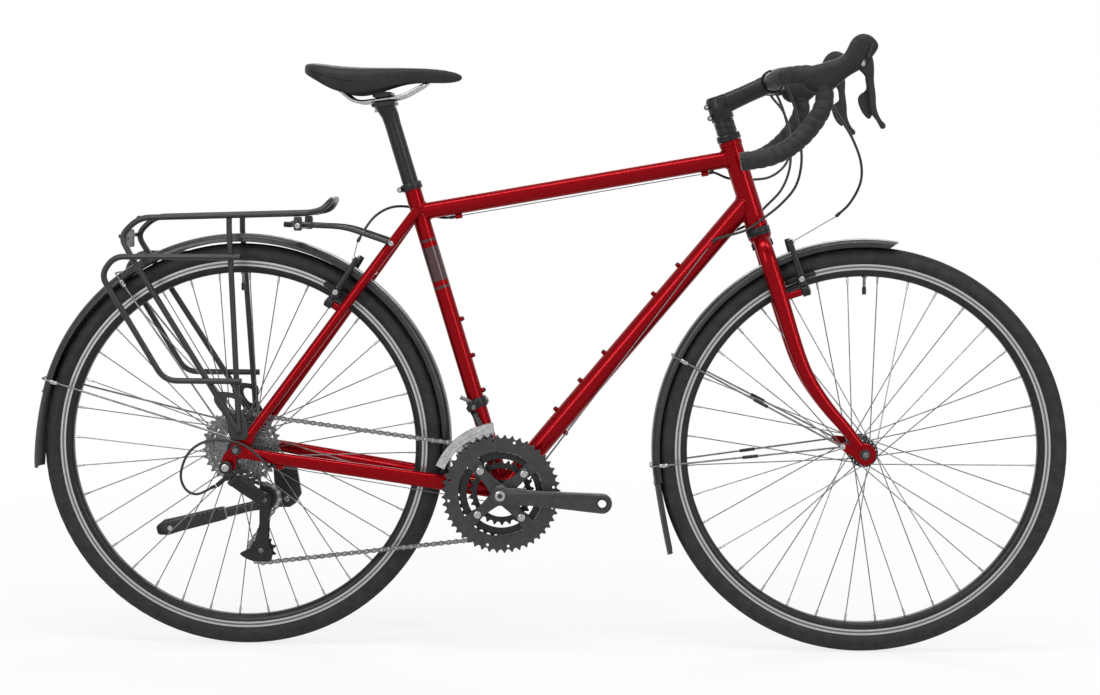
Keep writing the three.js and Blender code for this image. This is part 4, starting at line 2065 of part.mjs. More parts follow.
const rearBrakeRoute = [
  [9, 122, -19.7], [27, 110, -43.7], [39, 97, -83.7], [34, 79, -128.7], [5, 52, -155.7],
  [-33, 31, -161.7], [-69, 16, -159.7],
];
const rearBrakeTail = [
  [33.9, 12, -8.8], [17.9, 24, -3.8], [-2.1, 28, 3.2], [-26.1, 25, 9.2], [-51.1, 15, 7.2],
];
const rearBrakeEnd = [
  [72.2, 4, 144.4], [54.2, -10, 119.4], [45.2, -20, 101.4],
];
const rearBrakeWireEnd = [37.2, -29, 79.4];
const frontBrakeRoute = [
  [77, -203.8, -40], [97, -180, -66.7], [119, -150, -96.7], [138, -108, -136.7], [140, -76, -168.7],
  [125, -52, -201.7], [105, -44, -221.7],
];
const frontBrakeWireEnd = [45, -36, -255.7];
const rearGearRoute = [
  [19, -112, -19.7], [33, -98, -53.7], [42, -82, -98.7], [45, -66, -138.7], [37, -50, -173.7],
  [15, -39, -201.7], [-11, -33, -223.7], [-40, -27, -244.7],
];
const frontGearRoute = [
  [17, 98, -19.7], [29, 84, -53.7], [37, 66, -100.7], [35, 50, -143.7], [21, 42, -178.7],
  [-5, 36, -206.7], [-35, 28, -236.7],
];
const underBracketRoute = [
  [19.5, 14, -20], [0, 13, -23.5], [-19.5, 12, -21],
];
const frontGearWire = [
  [-26.5, 8, -3], [-30.5, 0, 29], [-39.5, -13, 89], [-42.5, -21, 133],
];
const rearGearLoop = [
  [55.5, -79, -27], [43.5, -83.5, -13], [18.5, -85.5, 8], [-11.5, -85.5, 17], [-49.5, -85.5, 15],
  [-77.5, -85.5, -4], [-91.5, -84.5, -43], [-83.5, -83, -66], [-66.5, -82, -74],
];

const handRoute = (origin, points) => points.map(([x, y, z]) => origin.clone().add(v(x, y, z)));
const casing = (points, count, start = [], end = []) => pipe([...start, ...smooth(points, count), ...end],
  cableSize.casingRadius, sides.wire);
const wire = (points) => pipe(points, cableSize.wireRadius, sides.wire);

// Where a cable meets a stop: the casing ends at its face, and the wire runs on through its hole
function stopEnds({ centre, half }) {
  const out = half.clone().normalize();
  const ahead = centre.clone().add(half).addScaledVector(out, touchGap);
  const behind = centre.clone().sub(half).addScaledVector(out, -touchGap);
  return {
    ahead,
    behind,
    ahead2: ahead.clone().addScaledVector(out, cableSize.straightLength),
    behind2: behind.clone().addScaledVector(out, -cableSize.straightLength),
  };
}

function makeRearBrakeCable() {
  const front = stopEnds(topStop(topStopShares[1]));
  const rear = stopEnds(topStop(topStopShares[0]));
  const brake = brakePivot('rear', 1).setY(0);
  const tail = [...handRoute(topTubeRear, rearBrakeTail), ...handRoute(brake, rearBrakeEnd)];
  const wireEnd = handRoute(brake, [rearBrakeWireEnd]);
  const last = tail[tail.length - 1];
  const tailMiddle = last.clone().lerp(tail[tail.length - 2], wireInsideShare);
  return join(
    casing([...handRoute(barCentre, rearBrakeRoute), front.ahead2], casingStationCounts.rearBrake, [],
      [front.ahead]),
    wire([front.ahead2, rear.behind2]),
    casing([rear.behind2, ...tail], casingStationCounts.rearBrake, [rear.behind]),
    wire([tailMiddle, last, ...wireEnd]),
  );
}

function makeFrontBrakeCable() {
  const route = handRoute(barCentre, frontBrakeRoute);
  const wireEnd = handRoute(barCentre, [frontBrakeWireEnd]);
  const last = route[route.length - 1];
  const inside = last.clone().lerp(route[route.length - 2], wireInsideShare);
  return join(casing(route, casingStationCounts.frontBrake), wire([inside, last, ...wireEnd]));
}

function makeFrontGearCable() {
  const stop = stopEnds(downStop(1));
  return join(
    casing([...handRoute(barCentre, frontGearRoute), stop.ahead2], casingStationCounts.gear, [],
      [stop.ahead]),
    wire([stop.ahead2, stop.behind2, ...handRoute(bracket, [...underBracketRoute, ...frontGearWire])]),
  );
}

function makeRearGearCable() {
  const stop = stopEnds(downStop(-1));
  const low = stopEnds(stayStop());
  const mirrored = underBracketRoute.map(([x, y, z]) => [x, -y, z]);
  const loop = handRoute(rearAxle, rearGearLoop);
  return join(
    casing([...handRoute(barCentre, rearGearRoute), stop.ahead2], casingStationCounts.gear, [],
      [stop.ahead]),
    wire([stop.ahead2, stop.behind2, ...handRoute(bracket, mirrored), low.ahead2, low.behind2]),
    casing([low.behind2, ...loop, barrelGap()], casingStationCounts.loop, [low.behind]),
  );
}

// Materials

const paint = { color: 0x9c0a1c, roughness: 0.25, metalness: 0.35 };
const satin = { color: 0x1c1c1e, roughness: 0.45, metalness: 0.3 };
const rubber = { color: 0x17171a, roughness: 0.85, metalness: 0 };
const steel = { color: 0xb9bcc0, roughness: 0.3, metalness: 0.9 };
const plastic = { color: 0x202124, roughness: 0.6, metalness: 0 };

function piece(name, solid, look) {
  const mesh = new THREE.Mesh(toGeometry(solid.asOriginal().simplify(seamTolerance)),
    new THREE.MeshStandardMaterial(look));
  mesh.name = name;
  return mesh;
}

const handed = (side) => (side < 0 ? 'right' : 'left');

const bicycle = new THREE.Group();

const framePart = new THREE.Group();
framePart.add(
  piece('frame', makeFrame(), paint),
  piece('bottom_bracket', makeBottomBracket(), satin),
  piece('seat_clamp', makeSeatClamp(), satin),
  piece('headset_upper', makeHeadsetUpper(), satin),
  piece('headset_lower', makeHeadsetLower(), satin),
  piece('rear_axle', makeAxle(rearAxle, wheelSize.rearSpacing, frameSize.dropoutThickness), satin),
  piece('rear_mudguard', makeRearGuard(), plastic),
  piece('rear_mudguard_stays', guardStays(rearEyelet, rearGuardCentre, guardSize.rearRadius,
    guardAngles.rearStays), steel),
  piece('rear_rack', makeRack(), satin),
  piece('rack_arms', makeRackArms(), satin),
);

const steering = new THREE.Group();
steering.add(
  piece('fork', makeFork(), paint),
  piece('headset_spacers', makeSpacers(), satin),
  piece('stem', makeStem(), satin),
  piece('stem_faceplate', makeFaceplate(), satin),
  piece('stem_cap', makeStemCap(), satin),
  piece('handlebar', makeHandlebar(), satin),
  piece('front_axle', makeAxle(frontAxle, wheelSize.frontSpacing, forkSize.endThickness), satin),
  piece('front_mudguard', makeFrontGuard(), plastic),
  piece('front_mudguard_stays', guardStays(frontEyelet, frontGuardCentre, guardSize.frontRadius,
    guardAngles.frontStays),
    steel),
);

for (const side of [-1, 1]) {
  steering.add(
    piece(`bar_tape_${handed(side)}`, makeBarTape(side), rubber),
    piece(`brake_hood_${handed(side)}`, makeHood(side), rubber),
    piece(`brake_lever_${handed(side)}`, makeLever(side), plastic),
    piece(`shift_paddle_${handed(side)}`, makePaddle(side), plastic),
    piece(`front_brake_arm_${handed(side)}`, makeBrakeArm('front', side), satin),
  );
  framePart.add(piece(`rear_brake_arm_${handed(side)}`, makeBrakeArm('rear', side), satin));
}

const wheels = new THREE.Group();
wheels.add(
  piece('front_tyre', makeTyre(frontAxle), rubber),
  piece('front_rim', makeRim(frontAxle), satin),
  piece('front_hub', makeFrontHub(), steel),
  piece('rear_tyre', makeTyre(rearAxle), rubber),
  piece('rear_rim', makeRim(rearAxle), satin),
  piece('rear_hub', makeRearHub(), steel),
);

const drive = new THREE.Group();
drive.add(
  piece('cassette', makeCassette(), steel),
  piece('chainrings', makeChainrings(), satin),
  piece('crank_right', makeRightCrank(), satin),
  piece('crank_left', makeLeftCrank(), satin),
  piece('chain', makeChain(), steel),
  piece('front_derailleur_band', makeBand(), satin),
  piece('front_derailleur_cage', makeFrontCage(), steel),
  piece('rear_derailleur_upper', makeUpperKnuckle(), satin),
  piece('rear_derailleur_link', makeLink(), satin),
  piece('rear_derailleur_lower', makeLowerKnuckle(), satin),
  piece('rear_derailleur_cage', makeJockeyCage(), satin),
  piece('jockey_wheel_guide', makeJockeyWheel(guideWheel), plastic),
  piece('jockey_wheel_tension', makeJockeyWheel(tensionWheel), plastic),
);

const seat = new THREE.Group();
seat.add(
  piece('seatpost', makeSeatpost(), satin),
  piece('saddle_clamp', makeSaddleClamp(), satin),
  piece('saddle_rails', makeRails(), steel),
  piece('saddle', makeSaddle(), rubber),
);

const cables = new THREE.Group();
cables.add(
  piece('rear_brake_cable', makeRearBrakeCable(), plastic),
  piece('front_brake_cable', makeFrontBrakeCable(), plastic),
  piece('front_gear_cable', makeFrontGearCable(), plastic),
  piece('rear_gear_cable', makeRearGearCable(), plastic),
);

const stand = new THREE.Group();
stand.add(
  piece('kickstand_bracket', makeStandBracket(), satin),
  piece('kickstand_leg', makeStandLeg(), satin),
);

bicycle.add(framePart, steering, wheels, drive, seat, stand, cables);

// The middle of the bicycle's whole length stands at X = 0
const wholeBox = new THREE.Box3().setFromObject(bicycle);
bicycle.position.x = -(wholeBox.min.x + wholeBox.max.x) / 2;

export default bicycle;
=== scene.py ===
import json
from math import asin, atan2, copysign, cos, hypot, pi, radians, sin, sqrt, tan, tau

import bmesh
import bpy
from mathutils import Matrix, Vector
from mathutils.geometry import tessellate_polygon


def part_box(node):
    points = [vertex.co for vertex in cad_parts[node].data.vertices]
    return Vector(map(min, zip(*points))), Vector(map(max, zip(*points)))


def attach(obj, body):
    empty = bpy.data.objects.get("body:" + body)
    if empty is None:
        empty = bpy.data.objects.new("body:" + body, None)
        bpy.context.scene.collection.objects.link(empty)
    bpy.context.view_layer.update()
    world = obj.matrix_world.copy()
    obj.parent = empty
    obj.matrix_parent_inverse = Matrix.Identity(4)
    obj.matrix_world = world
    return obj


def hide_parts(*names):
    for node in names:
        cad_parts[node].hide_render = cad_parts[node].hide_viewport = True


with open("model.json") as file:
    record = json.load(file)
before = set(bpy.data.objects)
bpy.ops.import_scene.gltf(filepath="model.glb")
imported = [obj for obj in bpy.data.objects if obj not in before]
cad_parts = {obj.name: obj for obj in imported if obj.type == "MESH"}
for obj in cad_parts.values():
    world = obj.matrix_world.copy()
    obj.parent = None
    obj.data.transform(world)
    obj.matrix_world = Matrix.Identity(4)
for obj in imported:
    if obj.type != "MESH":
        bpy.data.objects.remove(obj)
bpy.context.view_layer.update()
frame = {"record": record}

# Lengths are millimetres, with X measured from the middle of the wheelbase, Y to the left and Z up
METRES = 0.001
WHEELBASE, TYRE_RADIUS = 1047.0, 343.0
SHIFT = sum(corner.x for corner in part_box("front_tyre")) / 2 / METRES - WHEELBASE / 2
BODY_OF = {n: b for b, nodes in frame["record"]["behaviour"]["bodies"].items() for n in nodes}
SIDES = {"right": -1, "left": 1}
BOTH = (-1, 1)


def vec(x, y, z):
    return Vector((x, y, z))


def heading(turn, reach=1.0):
    """A step at an angle in the plane of the wheels."""
    return vec(cos(turn), 0, sin(turn)) * reach


ACROSS, UP, ALONG_X = vec(0, 1, 0), vec(0, 0, 1), vec(1, 0, 0)
REAR, FRONT = vec(-WHEELBASE / 2, 0, TYRE_RADIUS), vec(WHEELBASE / 2, 0, TYRE_RADIUS)
BRACKET = REAR + vec(442, 0, -72)
SEAT_LEAN, HEAD_LEAN = radians(16.9), radians(18.16)
SEAT_UP, STEER_UP = vec(-sin(SEAT_LEAN), 0, cos(SEAT_LEAN)), vec(-sin(HEAD_LEAN), 0, cos(HEAD_LEAN))
SEAT_AHEAD, STEER_AHEAD = vec(SEAT_UP.z, 0, -SEAT_UP.x), vec(STEER_UP.z, 0, -STEER_UP.x)
SEAT_TUBE, HEAD_TUBE = 536.0, 151.4
THIN_TUBE, DOWN_TUBE, HEAD_RADIUS, SHELL_RADIUS = 14.3, 17.45, 18.2, 20
HEAD_TOP = FRONT + vec(-227.5, 0, 518.2)
HEAD_BOTTOM = HEAD_TOP - STEER_UP * HEAD_TUBE
GAP = 0.3
CLAMP_BORE = 14.6


def on_seat(up, ahead=0.0, side=0.0):
    return BRACKET + SEAT_UP * up + SEAT_AHEAD * ahead + ACROSS * side


def on_steerer(up, ahead=0.0, side=0.0):
    return HEAD_BOTTOM + STEER_UP * up + STEER_AHEAD * ahead + ACROSS * side


SEAT_TOP, TOP_REAR = on_seat(SEAT_TUBE), on_seat(SEAT_TUBE - 46)
TOP_FRONT, DOWN_FRONT = HEAD_TOP - STEER_UP * 29.5, HEAD_BOTTOM + STEER_UP * 48
FORK_REACH = FRONT - HEAD_BOTTOM
FORK_LENGTH, FORK_RAKE = -FORK_REACH.dot(STEER_UP), FORK_REACH.dot(STEER_AHEAD)
HEADSET_RISE, SPACER_STACK, STEM_CLAMP = 12.6, 23, 38
STEM_BOTTOM = HEAD_TUBE + HEADSET_RISE + SPACER_STACK + 2 * GAP
STEM_TOP = STEM_BOTTOM + STEM_CLAMP
STEM_REACH, STEM_ROOT = 96, 24
BAR = on_steerer(STEM_BOTTOM + STEM_ROOT + STEM_REACH * tan(radians(6.5)), STEM_REACH)


# Forms: points and faces of one piece, and which of its materials each face has

class Form:
    def __init__(self):
        self.points, self.faces, self.looks = [], [], []

    def add(self, points, faces, look=0):
        first = len(self.points)
        self.points += [Vector(p) for p in points]
        self.faces += [[first + i for i in face] for face in faces]
        self.looks += [look] * len(faces)
        return self

    def rings(self, rows, look=0, ends=True, joined=False):
        """Closed rings of points, one after another, joined by four-sided faces."""
        count, total = len(rows[0]), len(rows)
        faces = []
        for r in range(total if joined else total - 1):
            here, on = r * count, (r + 1) % total * count
            faces += [(here + i, here + (i + 1) % count, on + (i + 1) % count, on + i) for i in range(count)]
        if ends and not joined:
            faces += [tuple(reversed(range(count))), tuple(range((total - 1) * count, total * count))]
        return self.add([p for row in rows for p in row], faces, look)


def ring_of(centre, first, second, count, power=1.0):
    """Points round a centre; a power under 1 squares the oval off."""
    points = []
    for i in range(count):
        c, s = cos(tau * i / count), sin(tau * i / count)
        points.append(centre + first * copysign(abs(c) ** power, c) + second * copysign(abs(s) ** power, s))
    return points


def loft(form, stations, place, first, second, count, power=1.0, look=0):
    """A skin over ovals. Each station has its place and the oval's two half widths."""
    return form.rings([ring_of(place(s), first * a, second * b, count, power) for s, a, b in stations], look)


def sweep(form, path, radius, sides=16, look=0, joined=False):
    """A tube along a path. radius is one number, a list, or a function of station and side."""
    total = len(path)
    tangents = []
    for i in range(total):
        before = path[i - 1] if joined else path[max(i - 1, 0)]
        after = path[(i + 1) % total] if joined else path[min(i + 1, total - 1)]
        tangents.append((after - before).normalized())
    side = tangents[0].cross(ACROSS if abs(tangents[0].y) < 0.9 else UP).normalized()
    rows = []
    for i, (place, along) in enumerate(zip(path, tangents)):
        side = (side - along * side.dot(along)).normalized()
        other = along.cross(side)
        row = []
        for k in range(sides):
            turn = tau * k / sides
            reach = radius(i, k) if callable(radius) else radius[i] if hasattr(radius, "__len__") else radius
            row.append(place + (side * cos(turn) + other * sin(turn)) * reach)
        rows.append(row)
    return form.rings(rows, look, joined=joined)


def bar(form, start, end, radius, look=0, sides=24, bevel=0.6):
    """A round bar with softened ends."""
    along = (end - start).normalized()
    bevel = min(bevel, (end - start).length / 3, radius / 2)
    path = [start, start + along * bevel, end - along * bevel, end]
    return sweep(form, path, [radius - bevel, radius, radius, radius - bevel], sides, look)


def cross_bar(form, place, low, high, radius, look=0, sides=24, bevel=0.6):
    """A bar across the bicycle, between two Y values."""
    return bar(form, vec(place.x, low, place.z), vec(place.x, high, place.z), radius, look, sides, bevel)


def turned(form, profile, centre, axis=ACROSS, sides=48, look=0, closed=False):
    """A profile of (radius, height) pairs turned about an axis through the centre."""
    axis = axis.normalized()
    first = axis.cross(UP if abs(axis.z) < 0.9 else ALONG_X).normalized()
    second = axis.cross(first)
    profile = [(max(r, 0.01), h) for r, h in profile]
    rows = [ring_of(centre + axis * h, first * r, second * r, sides) for r, h in profile]
    return form.rings(rows, look, joined=closed)


def washer(form, inner, outer, low, high, centre, axis=ACROSS, sides=48, look=0):
    """A flat ring between two heights along its axis."""
    profile = [(inner, low), (outer, low), (outer, high), (inner, high)]
    return turned(form, profile, centre, axis, sides, look, closed=True)


def bolt(form, face, out, radius, height, look=0):
    """A round bolt head with a socket, its face towards out."""
    shares = [(1, -0.2 / height), (1, 0.7), (0.86, 1), (0.48, 1), (0.48, 0.35), (0, 0.3)]
    return turned(form, [(radius * r, height * h) for r, h in shares], face, out, 24, look)


def nut(form, face, out, radius, height, look=0):
    shares = [(0.9, 0), (1, 0.12), (1, 0.85), (0.85, 1)]
    return turned(form, [(radius * r, height * h) for r, h in shares], face, out, 6, look)


def offset_outline(outline, reach):
    """The outline moved inwards by the reach; it runs anticlockwise."""
    tiny = 1e-6
    total, moved = len(outline), []
    for i in range(total):
        (x0, z0), (x1, z1), (x2, z2) = outline[i - 1], outline[i], outline[(i + 1) % total]
        a, b = Vector((x1 - x0, z1 - z0)), Vector((x2 - x1, z2 - z1))
        if a.length < tiny or b.length < tiny:
            moved.append((x1, z1))
            continue
        a, b = a.normalized(), b.normalized()
        inward = Vector((-a.y - b.y, a.x + b.x))
        if inward.length > tiny:
            inward = inward.normalized() * (reach / max(0.35, inward.length / 2))
        moved.append((x1 + inward.x, z1 + inward.y))
    return moved


def area_of(outline):
    return sum(a[0] * b[1] - b[0] * a[1] for a, b in zip(outline, outline[1:] + outline[:1])) / 2


def slab(form, outline, low, high, holes=(), bevel=0.5, look=0, at=None):
    """A plate in the XZ plane between two Y values, with rounded edges; at moves its points afterwards."""
    low, high = sorted((low, high))
    loops = [outline if area_of(outline) > 0 else outline[::-1]]
    loops += [hole if area_of(hole) < 0 else hole[::-1] for hole in holes]
    inner = [offset_outline(loop, bevel) for loop in loops]
    points, faces, firsts = [], [], []
    for y, row in ((low, inner), (low + bevel, loops), (high - bevel, loops), (high, inner)):
        start = []
        for loop in row:
            start.append(len(points))
            points += [vec(x, y, z) for x, z in loop]
        firsts.append(start)
    for a, b in zip(firsts, firsts[1:]):
        for k, loop in enumerate(loops):
            n = len(loop)
            faces += [(a[k] + i, a[k] + (i + 1) % n, b[k] + (i + 1) % n, b[k] + i) for i in range(n)]
    triangles = tessellate_polygon([[Vector((x, z, 0)) for x, z in loop] for loop in inner])
    for first in (0, firsts[-1][0]):
        faces += [tuple(first + i for i in t) for t in triangles]
    return form.add([at(p) for p in points] if at else points, faces, look)


def circle(place, radius, count=24, start=0.0, stop=tau):
    """Points on a circle, or on an arc between two angles, in the XZ plane."""
    total = count if stop - start >= tau - 1e-6 else count + 1
    turns = [start + (stop - start) * i / count for i in range(total)]
    return [(place.x + radius * cos(turn), place.z + radius * sin(turn)) for turn in turns]


def band(place, outer, inner, count, start, stop):
    """The outline of a part of a flat ring."""
    return circle(place, outer, count, start, stop) + circle(place, inner, count, start, stop)[::-1]


def smooth(points, count, closed=False):
    """Evenly spaced points on a centripetal curve through given ones."""
    knots = [Vector(p) for p in points]
    if closed:
        knots = [knots[-1]] + knots + knots[:2]
    else:
        knots = [knots[0] * 2 - knots[1]] + knots + [knots[-1] * 2 - knots[-2]]

    def mix(p, q, start, end, u):
        return p * ((end - u) / (end - start)) + q * ((u - start) / (end - start))

    fine, steps = [], 24
    for a, b, c, d in zip(knots, knots[1:], knots[2:], knots[3:]):
        t = [0.0]
        for p, q in ((a, b), (b, c), (c, d)):
            t.append(t[-1] + max(sqrt((q - p).length), 1e-4))
        for k in range(steps):
            u = t[1] + (t[2] - t[1]) * k / steps
            ab, bc, cd = mix(a, b, t[0], t[1], u), mix(b, c, t[1], t[2], u), mix(c, d, t[2], t[3], u)
            fine.append(mix(mix(ab, bc, t[0], t[2], u), mix(bc, cd, t[1], t[3], u), t[1], t[2], u))
    fine.append(knots[-2])
    return resample(fine, count)


def resample(points, count):
    """The same line with evenly spaced points."""
    lengths = [0.0]
    for a, b in zip(points, points[1:]):
        lengths.append(lengths[-1] + (b - a).length)
    made, k = [], 0
    for i in range(count + 1):
        want = lengths[-1] * i / count
        while k < len(points) - 2 and lengths[k + 1] < want:
            k += 1
        span = lengths[k + 1] - lengths[k]
        made.append(points[k].lerp(points[k + 1], (want - lengths[k]) / span if span > 1e-9 else 0))
    return made


def length_of(points):
    return sum((b - a).length for a, b in zip(points, points[1:]))


def rounded(corners, bend, steps=7):
    """The line through the corners with each inner corner bent round."""
    path = [corners[0]]
    for before, here, after in zip(corners, corners[1:], corners[2:]):
        back, on = before - here, after - here
        reach = min(bend, back.length * 0.45, on.length * 0.45)
        a, b = here + back.normalized() * reach, here + on.normalized() * reach
        for k in range(steps + 1):
            t = k / steps
            path.append(a * (1 - t) ** 2 + here * (2 * t * (1 - t)) + b * t ** 2)
    return path + [corners[-1]]


def smooth_outline(place, scale, shares, count):
    """A smooth closed outline from shares of a scale about a place."""
    knots = [Vector((place.x + x * scale, place.z + z * scale, 0)) for x, z in shares]
    return [(p.x, p.y) for p in smooth(knots, count, True)[:-1]]


# Materials

def finish_of(name, colour, second, rough, metal=0.0, spot=60.0, spread=0.1, bump=0.0, grain=900.0, coat=0.0,
              coat_rough=0.06, shine=0.5):
    """A plain surface: two colours in soft spots, a roughness that varies, and a fine grain."""
    made = bpy.data.materials.new(name)
    made.use_nodes = True
    tree = made.node_tree
    shader = tree.nodes["Principled BSDF"]
    for key, value in (("Metallic", metal), ("Specular IOR Level", shine), ("Coat Weight", coat),
                       ("Coat Roughness", coat_rough)):
        shader.inputs[key].default_value = value
    places = tree.nodes.new("ShaderNodeTexCoord")

    def noise(scale, detail):
        node = tree.nodes.new("ShaderNodeTexNoise")
        node.inputs["Scale"].default_value = scale
        node.inputs["Detail"].default_value = detail
        tree.links.new(places.outputs["Object"], node.inputs["Vector"])
        return node.outputs["Fac"]

    ramp = tree.nodes.new("ShaderNodeValToRGB")
    for stop, position, shade in zip(ramp.color_ramp.elements, (0.35, 0.65), (colour, second)):
        stop.position, stop.color = position, (*shade, 1)
    tree.links.new(noise(spot, 4), ramp.inputs["Fac"])
    tree.links.new(ramp.outputs["Color"], shader.inputs["Base Color"])
    span = tree.nodes.new("ShaderNodeMapRange")
    span.inputs["To Min"].default_value = max(rough - spread, 0.03)
    span.inputs["To Max"].default_value = min(rough + spread, 1)
    tree.links.new(noise(spot * 2.3, 3), span.inputs["Value"])
    tree.links.new(span.outputs["Result"], shader.inputs["Roughness"])
    if bump:
        dents = tree.nodes.new("ShaderNodeBump")
        dents.inputs["Strength"].default_value = bump
        dents.inputs["Distance"].default_value = 0.0004
        tree.links.new(noise(grain, 2), dents.inputs["Height"])
        tree.links.new(dents.outputs["Normal"], shader.inputs["Normal"])
    return made


# Two colours, roughness, metal, spots, roughness spread, grain depth, grain, coat, coat roughness, shine
PAINT = finish_of("red_paint", (0.205, 0.0002, 0.0028), (0.225, 0.0003, 0.0035), 0.25, 0.6, 240, 0.04, 0.02,
                  2600, 0.10, 0.03, 0.03)
DARK_PANEL = finish_of("grey_panel", (0.035, 0.012, 0.014), (0.06, 0.02, 0.02), 0.3, 0.2, 300, 0.06, 0.0,
                       900, 0.5, 0.05, 0.3)
SATIN = finish_of("black_satin_alloy", (0.010, 0.010, 0.011), (0.016, 0.016, 0.017), 0.34, 0.3, 120, 0.07,
                  0.10, 1800, shine=0.35)
POWDER = finish_of("black_powder_coat", (0.009, 0.009, 0.010), (0.015, 0.015, 0.016), 0.34, 0.05, 90, 0.08,
                   0.35, 1500, 0.15, 0.2, 0.4)
CRANK_GREY = finish_of("dark_anodised", (0.040, 0.040, 0.044), (0.052, 0.052, 0.056), 0.36, 0.5, 100, 0.05,
                       0.10, 2200, shine=0.35)
STEEL = finish_of("polished_steel", (0.46, 0.46, 0.47), (0.30, 0.30, 0.31), 0.24, 1.0, 420, 0.08, 0.05)
CHROME = finish_of("bright_chrome", (0.50, 0.50, 0.51), (0.36, 0.36, 0.37), 0.16, 1.0, 160, 0.05, 0.04)
SPOKE = finish_of("spoke_steel", (0.20, 0.20, 0.205), (0.12, 0.12, 0.125), 0.28, 0.9, 90, 0.08, 0.05,
                  shine=0.3)
DULL_STEEL = finish_of("grey_steel", (0.20, 0.20, 0.205), (0.09, 0.09, 0.095), 0.34, 0.85, 260, 0.10, 0.12,
                       1200, shine=0.3)
CHAIN_STEEL = finish_of("oiled_chain_steel", (0.24, 0.235, 0.23), (0.11, 0.108, 0.105), 0.33, 0.9, 200,
                        0.12, 0.10, 1500)
TRACK = finish_of("machined_brake_track", (0.50, 0.50, 0.50), (0.38, 0.38, 0.38), 0.32, 0.85, 500, 0.10,
                  0.15, 2500, shine=0.3)
WORN_TRACK = finish_of("worn_brake_track", (0.16, 0.16, 0.16), (0.11, 0.11, 0.11), 0.36, 0.85, 500, 0.10,
                       0.15, 2500, shine=0.3)
RIM_BLACK = finish_of("black_rim", (0.009, 0.009, 0.010), (0.016, 0.016, 0.017), 0.32, 0.3, 100, 0.08, 0.06,
                      1200, shine=0.35)
TYRE = finish_of("tyre_rubber", (0.016, 0.0158, 0.016), (0.028, 0.0275, 0.028), 0.60, 0.0, 55, 0.10, 0.45,
                 1100, shine=0.22)
TREAD = finish_of("tread_rubber", (0.014, 0.014, 0.014), (0.028, 0.0275, 0.027), 0.74, 0.0, 70, 0.10, 0.60,
                  800, shine=0.2)
RUBBER = finish_of("hood_rubber", (0.009, 0.0087, 0.0092), (0.014, 0.0136, 0.0142), 0.55, 0.0, 80, 0.08,
                   0.50, 1600, shine=0.25)
TAPE = finish_of("bar_tape", (0.012, 0.0118, 0.0122), (0.022, 0.0215, 0.022), 0.62, 0.0, 90, 0.10, 0.70,
                 1300, shine=0.28)
PLASTIC = finish_of("black_plastic", (0.010, 0.010, 0.011), (0.017, 0.017, 0.018), 0.38, 0.0, 70, 0.10,
                    0.20, 1400, shine=0.35)
GUARD = finish_of("mudguard_plastic", (0.012, 0.0125, 0.014), (0.020, 0.0208, 0.023), 0.30, 0.0, 45, 0.10,
                  0.12, 1000, shine=0.4)
FLAP = finish_of("flap_rubber", (0.030, 0.031, 0.034), (0.042, 0.043, 0.046), 0.52, 0.0, 50, 0.08, 0.30,
                 1000, shine=0.3)
COVER = finish_of("saddle_cover", (0.007, 0.007, 0.008), (0.012, 0.012, 0.014), 0.46, 0.0, 75, 0.08, 0.60,
                  1900, shine=0.22)
CASING = finish_of("cable_casing", (0.010, 0.010, 0.011), (0.017, 0.017, 0.018), 0.33, 0.0, 120, 0.06, 0.10,
                   1500, shine=0.4)
WIRE = finish_of("cable_wire", (0.22, 0.22, 0.225), (0.10, 0.10, 0.105), 0.35, 0.8, 900, 0.10, 0.3, 3000)
LEVER = finish_of("lever_finish", (0.013, 0.0128, 0.0135), (0.020, 0.0195, 0.021), 0.36, 0.15, 90, 0.06,
                  0.15, 1700, shine=0.35)


def placed(point):
    """The point in metres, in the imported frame."""
    return tuple((point + ALONG_X * SHIFT) * METRES)


def piece(name, form, looks, *nodes, slot="black_alloy", body=None, soft=0, sharp=38):
    """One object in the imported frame, riding on the body of the first node that it replaces."""
    mesh = bpy.data.meshes.new(name)
    mesh.from_pydata([placed(p) for p in form.points], [], form.faces)
    for look in looks:
        mesh.materials.append(look)
    mesh.polygons.foreach_set("material_index", form.looks)
    work = bmesh.new()
    work.from_mesh(mesh)
    bmesh.ops.recalc_face_normals(work, faces=work.faces)
    work.to_mesh(mesh)
    work.free()
    mesh.polygons.foreach_set("use_smooth", [True] * len(mesh.polygons))
    mesh.set_sharp_from_angle(angle=radians(sharp))
    made = bpy.data.objects.new(name, mesh)
    bpy.context.scene.collection.objects.link(made)
    if soft:
        rounding = made.modifiers.new("rounding", "SUBSURF")
        rounding.levels = rounding.render_levels = soft
    if nodes:
        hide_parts(*nodes)
    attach(made, body or BODY_OF[nodes[0]])
    return made


# Camera, at the photograph's own place and angle

def make_camera():
    place = vec(137.97971, -3400, 793.509) * METRES
    yaw, pitch, roll = -0.0388433999, -0.0823267710, 0.00467921166
    sensor, photo_width, focal_pixels = 36, 1100, 2020.15684
    ahead = vec(sin(yaw) * cos(pitch), cos(yaw) * cos(pitch), sin(pitch))
    right = vec(cos(yaw), -sin(yaw), 0)
    up = right.cross(ahead)
    right, up = right * cos(roll) + up * sin(roll), up * cos(roll) - right * sin(roll)
    data = bpy.data.cameras.new("camera")
    data.sensor_width, data.lens = sensor, sensor * focal_pixels / photo_width
    data.clip_start, data.clip_end = 0.1, 60
    camera = bpy.data.objects.new("camera", data)
    camera.matrix_world = Matrix.Translation(place) @ Matrix((right, up, -ahead)).transposed().to_4x4()
    bpy.context.scene.collection.objects.link(camera)
    bpy.context.scene.camera = camera


make_camera()


# Cables: casings, their end caps and the bare wires

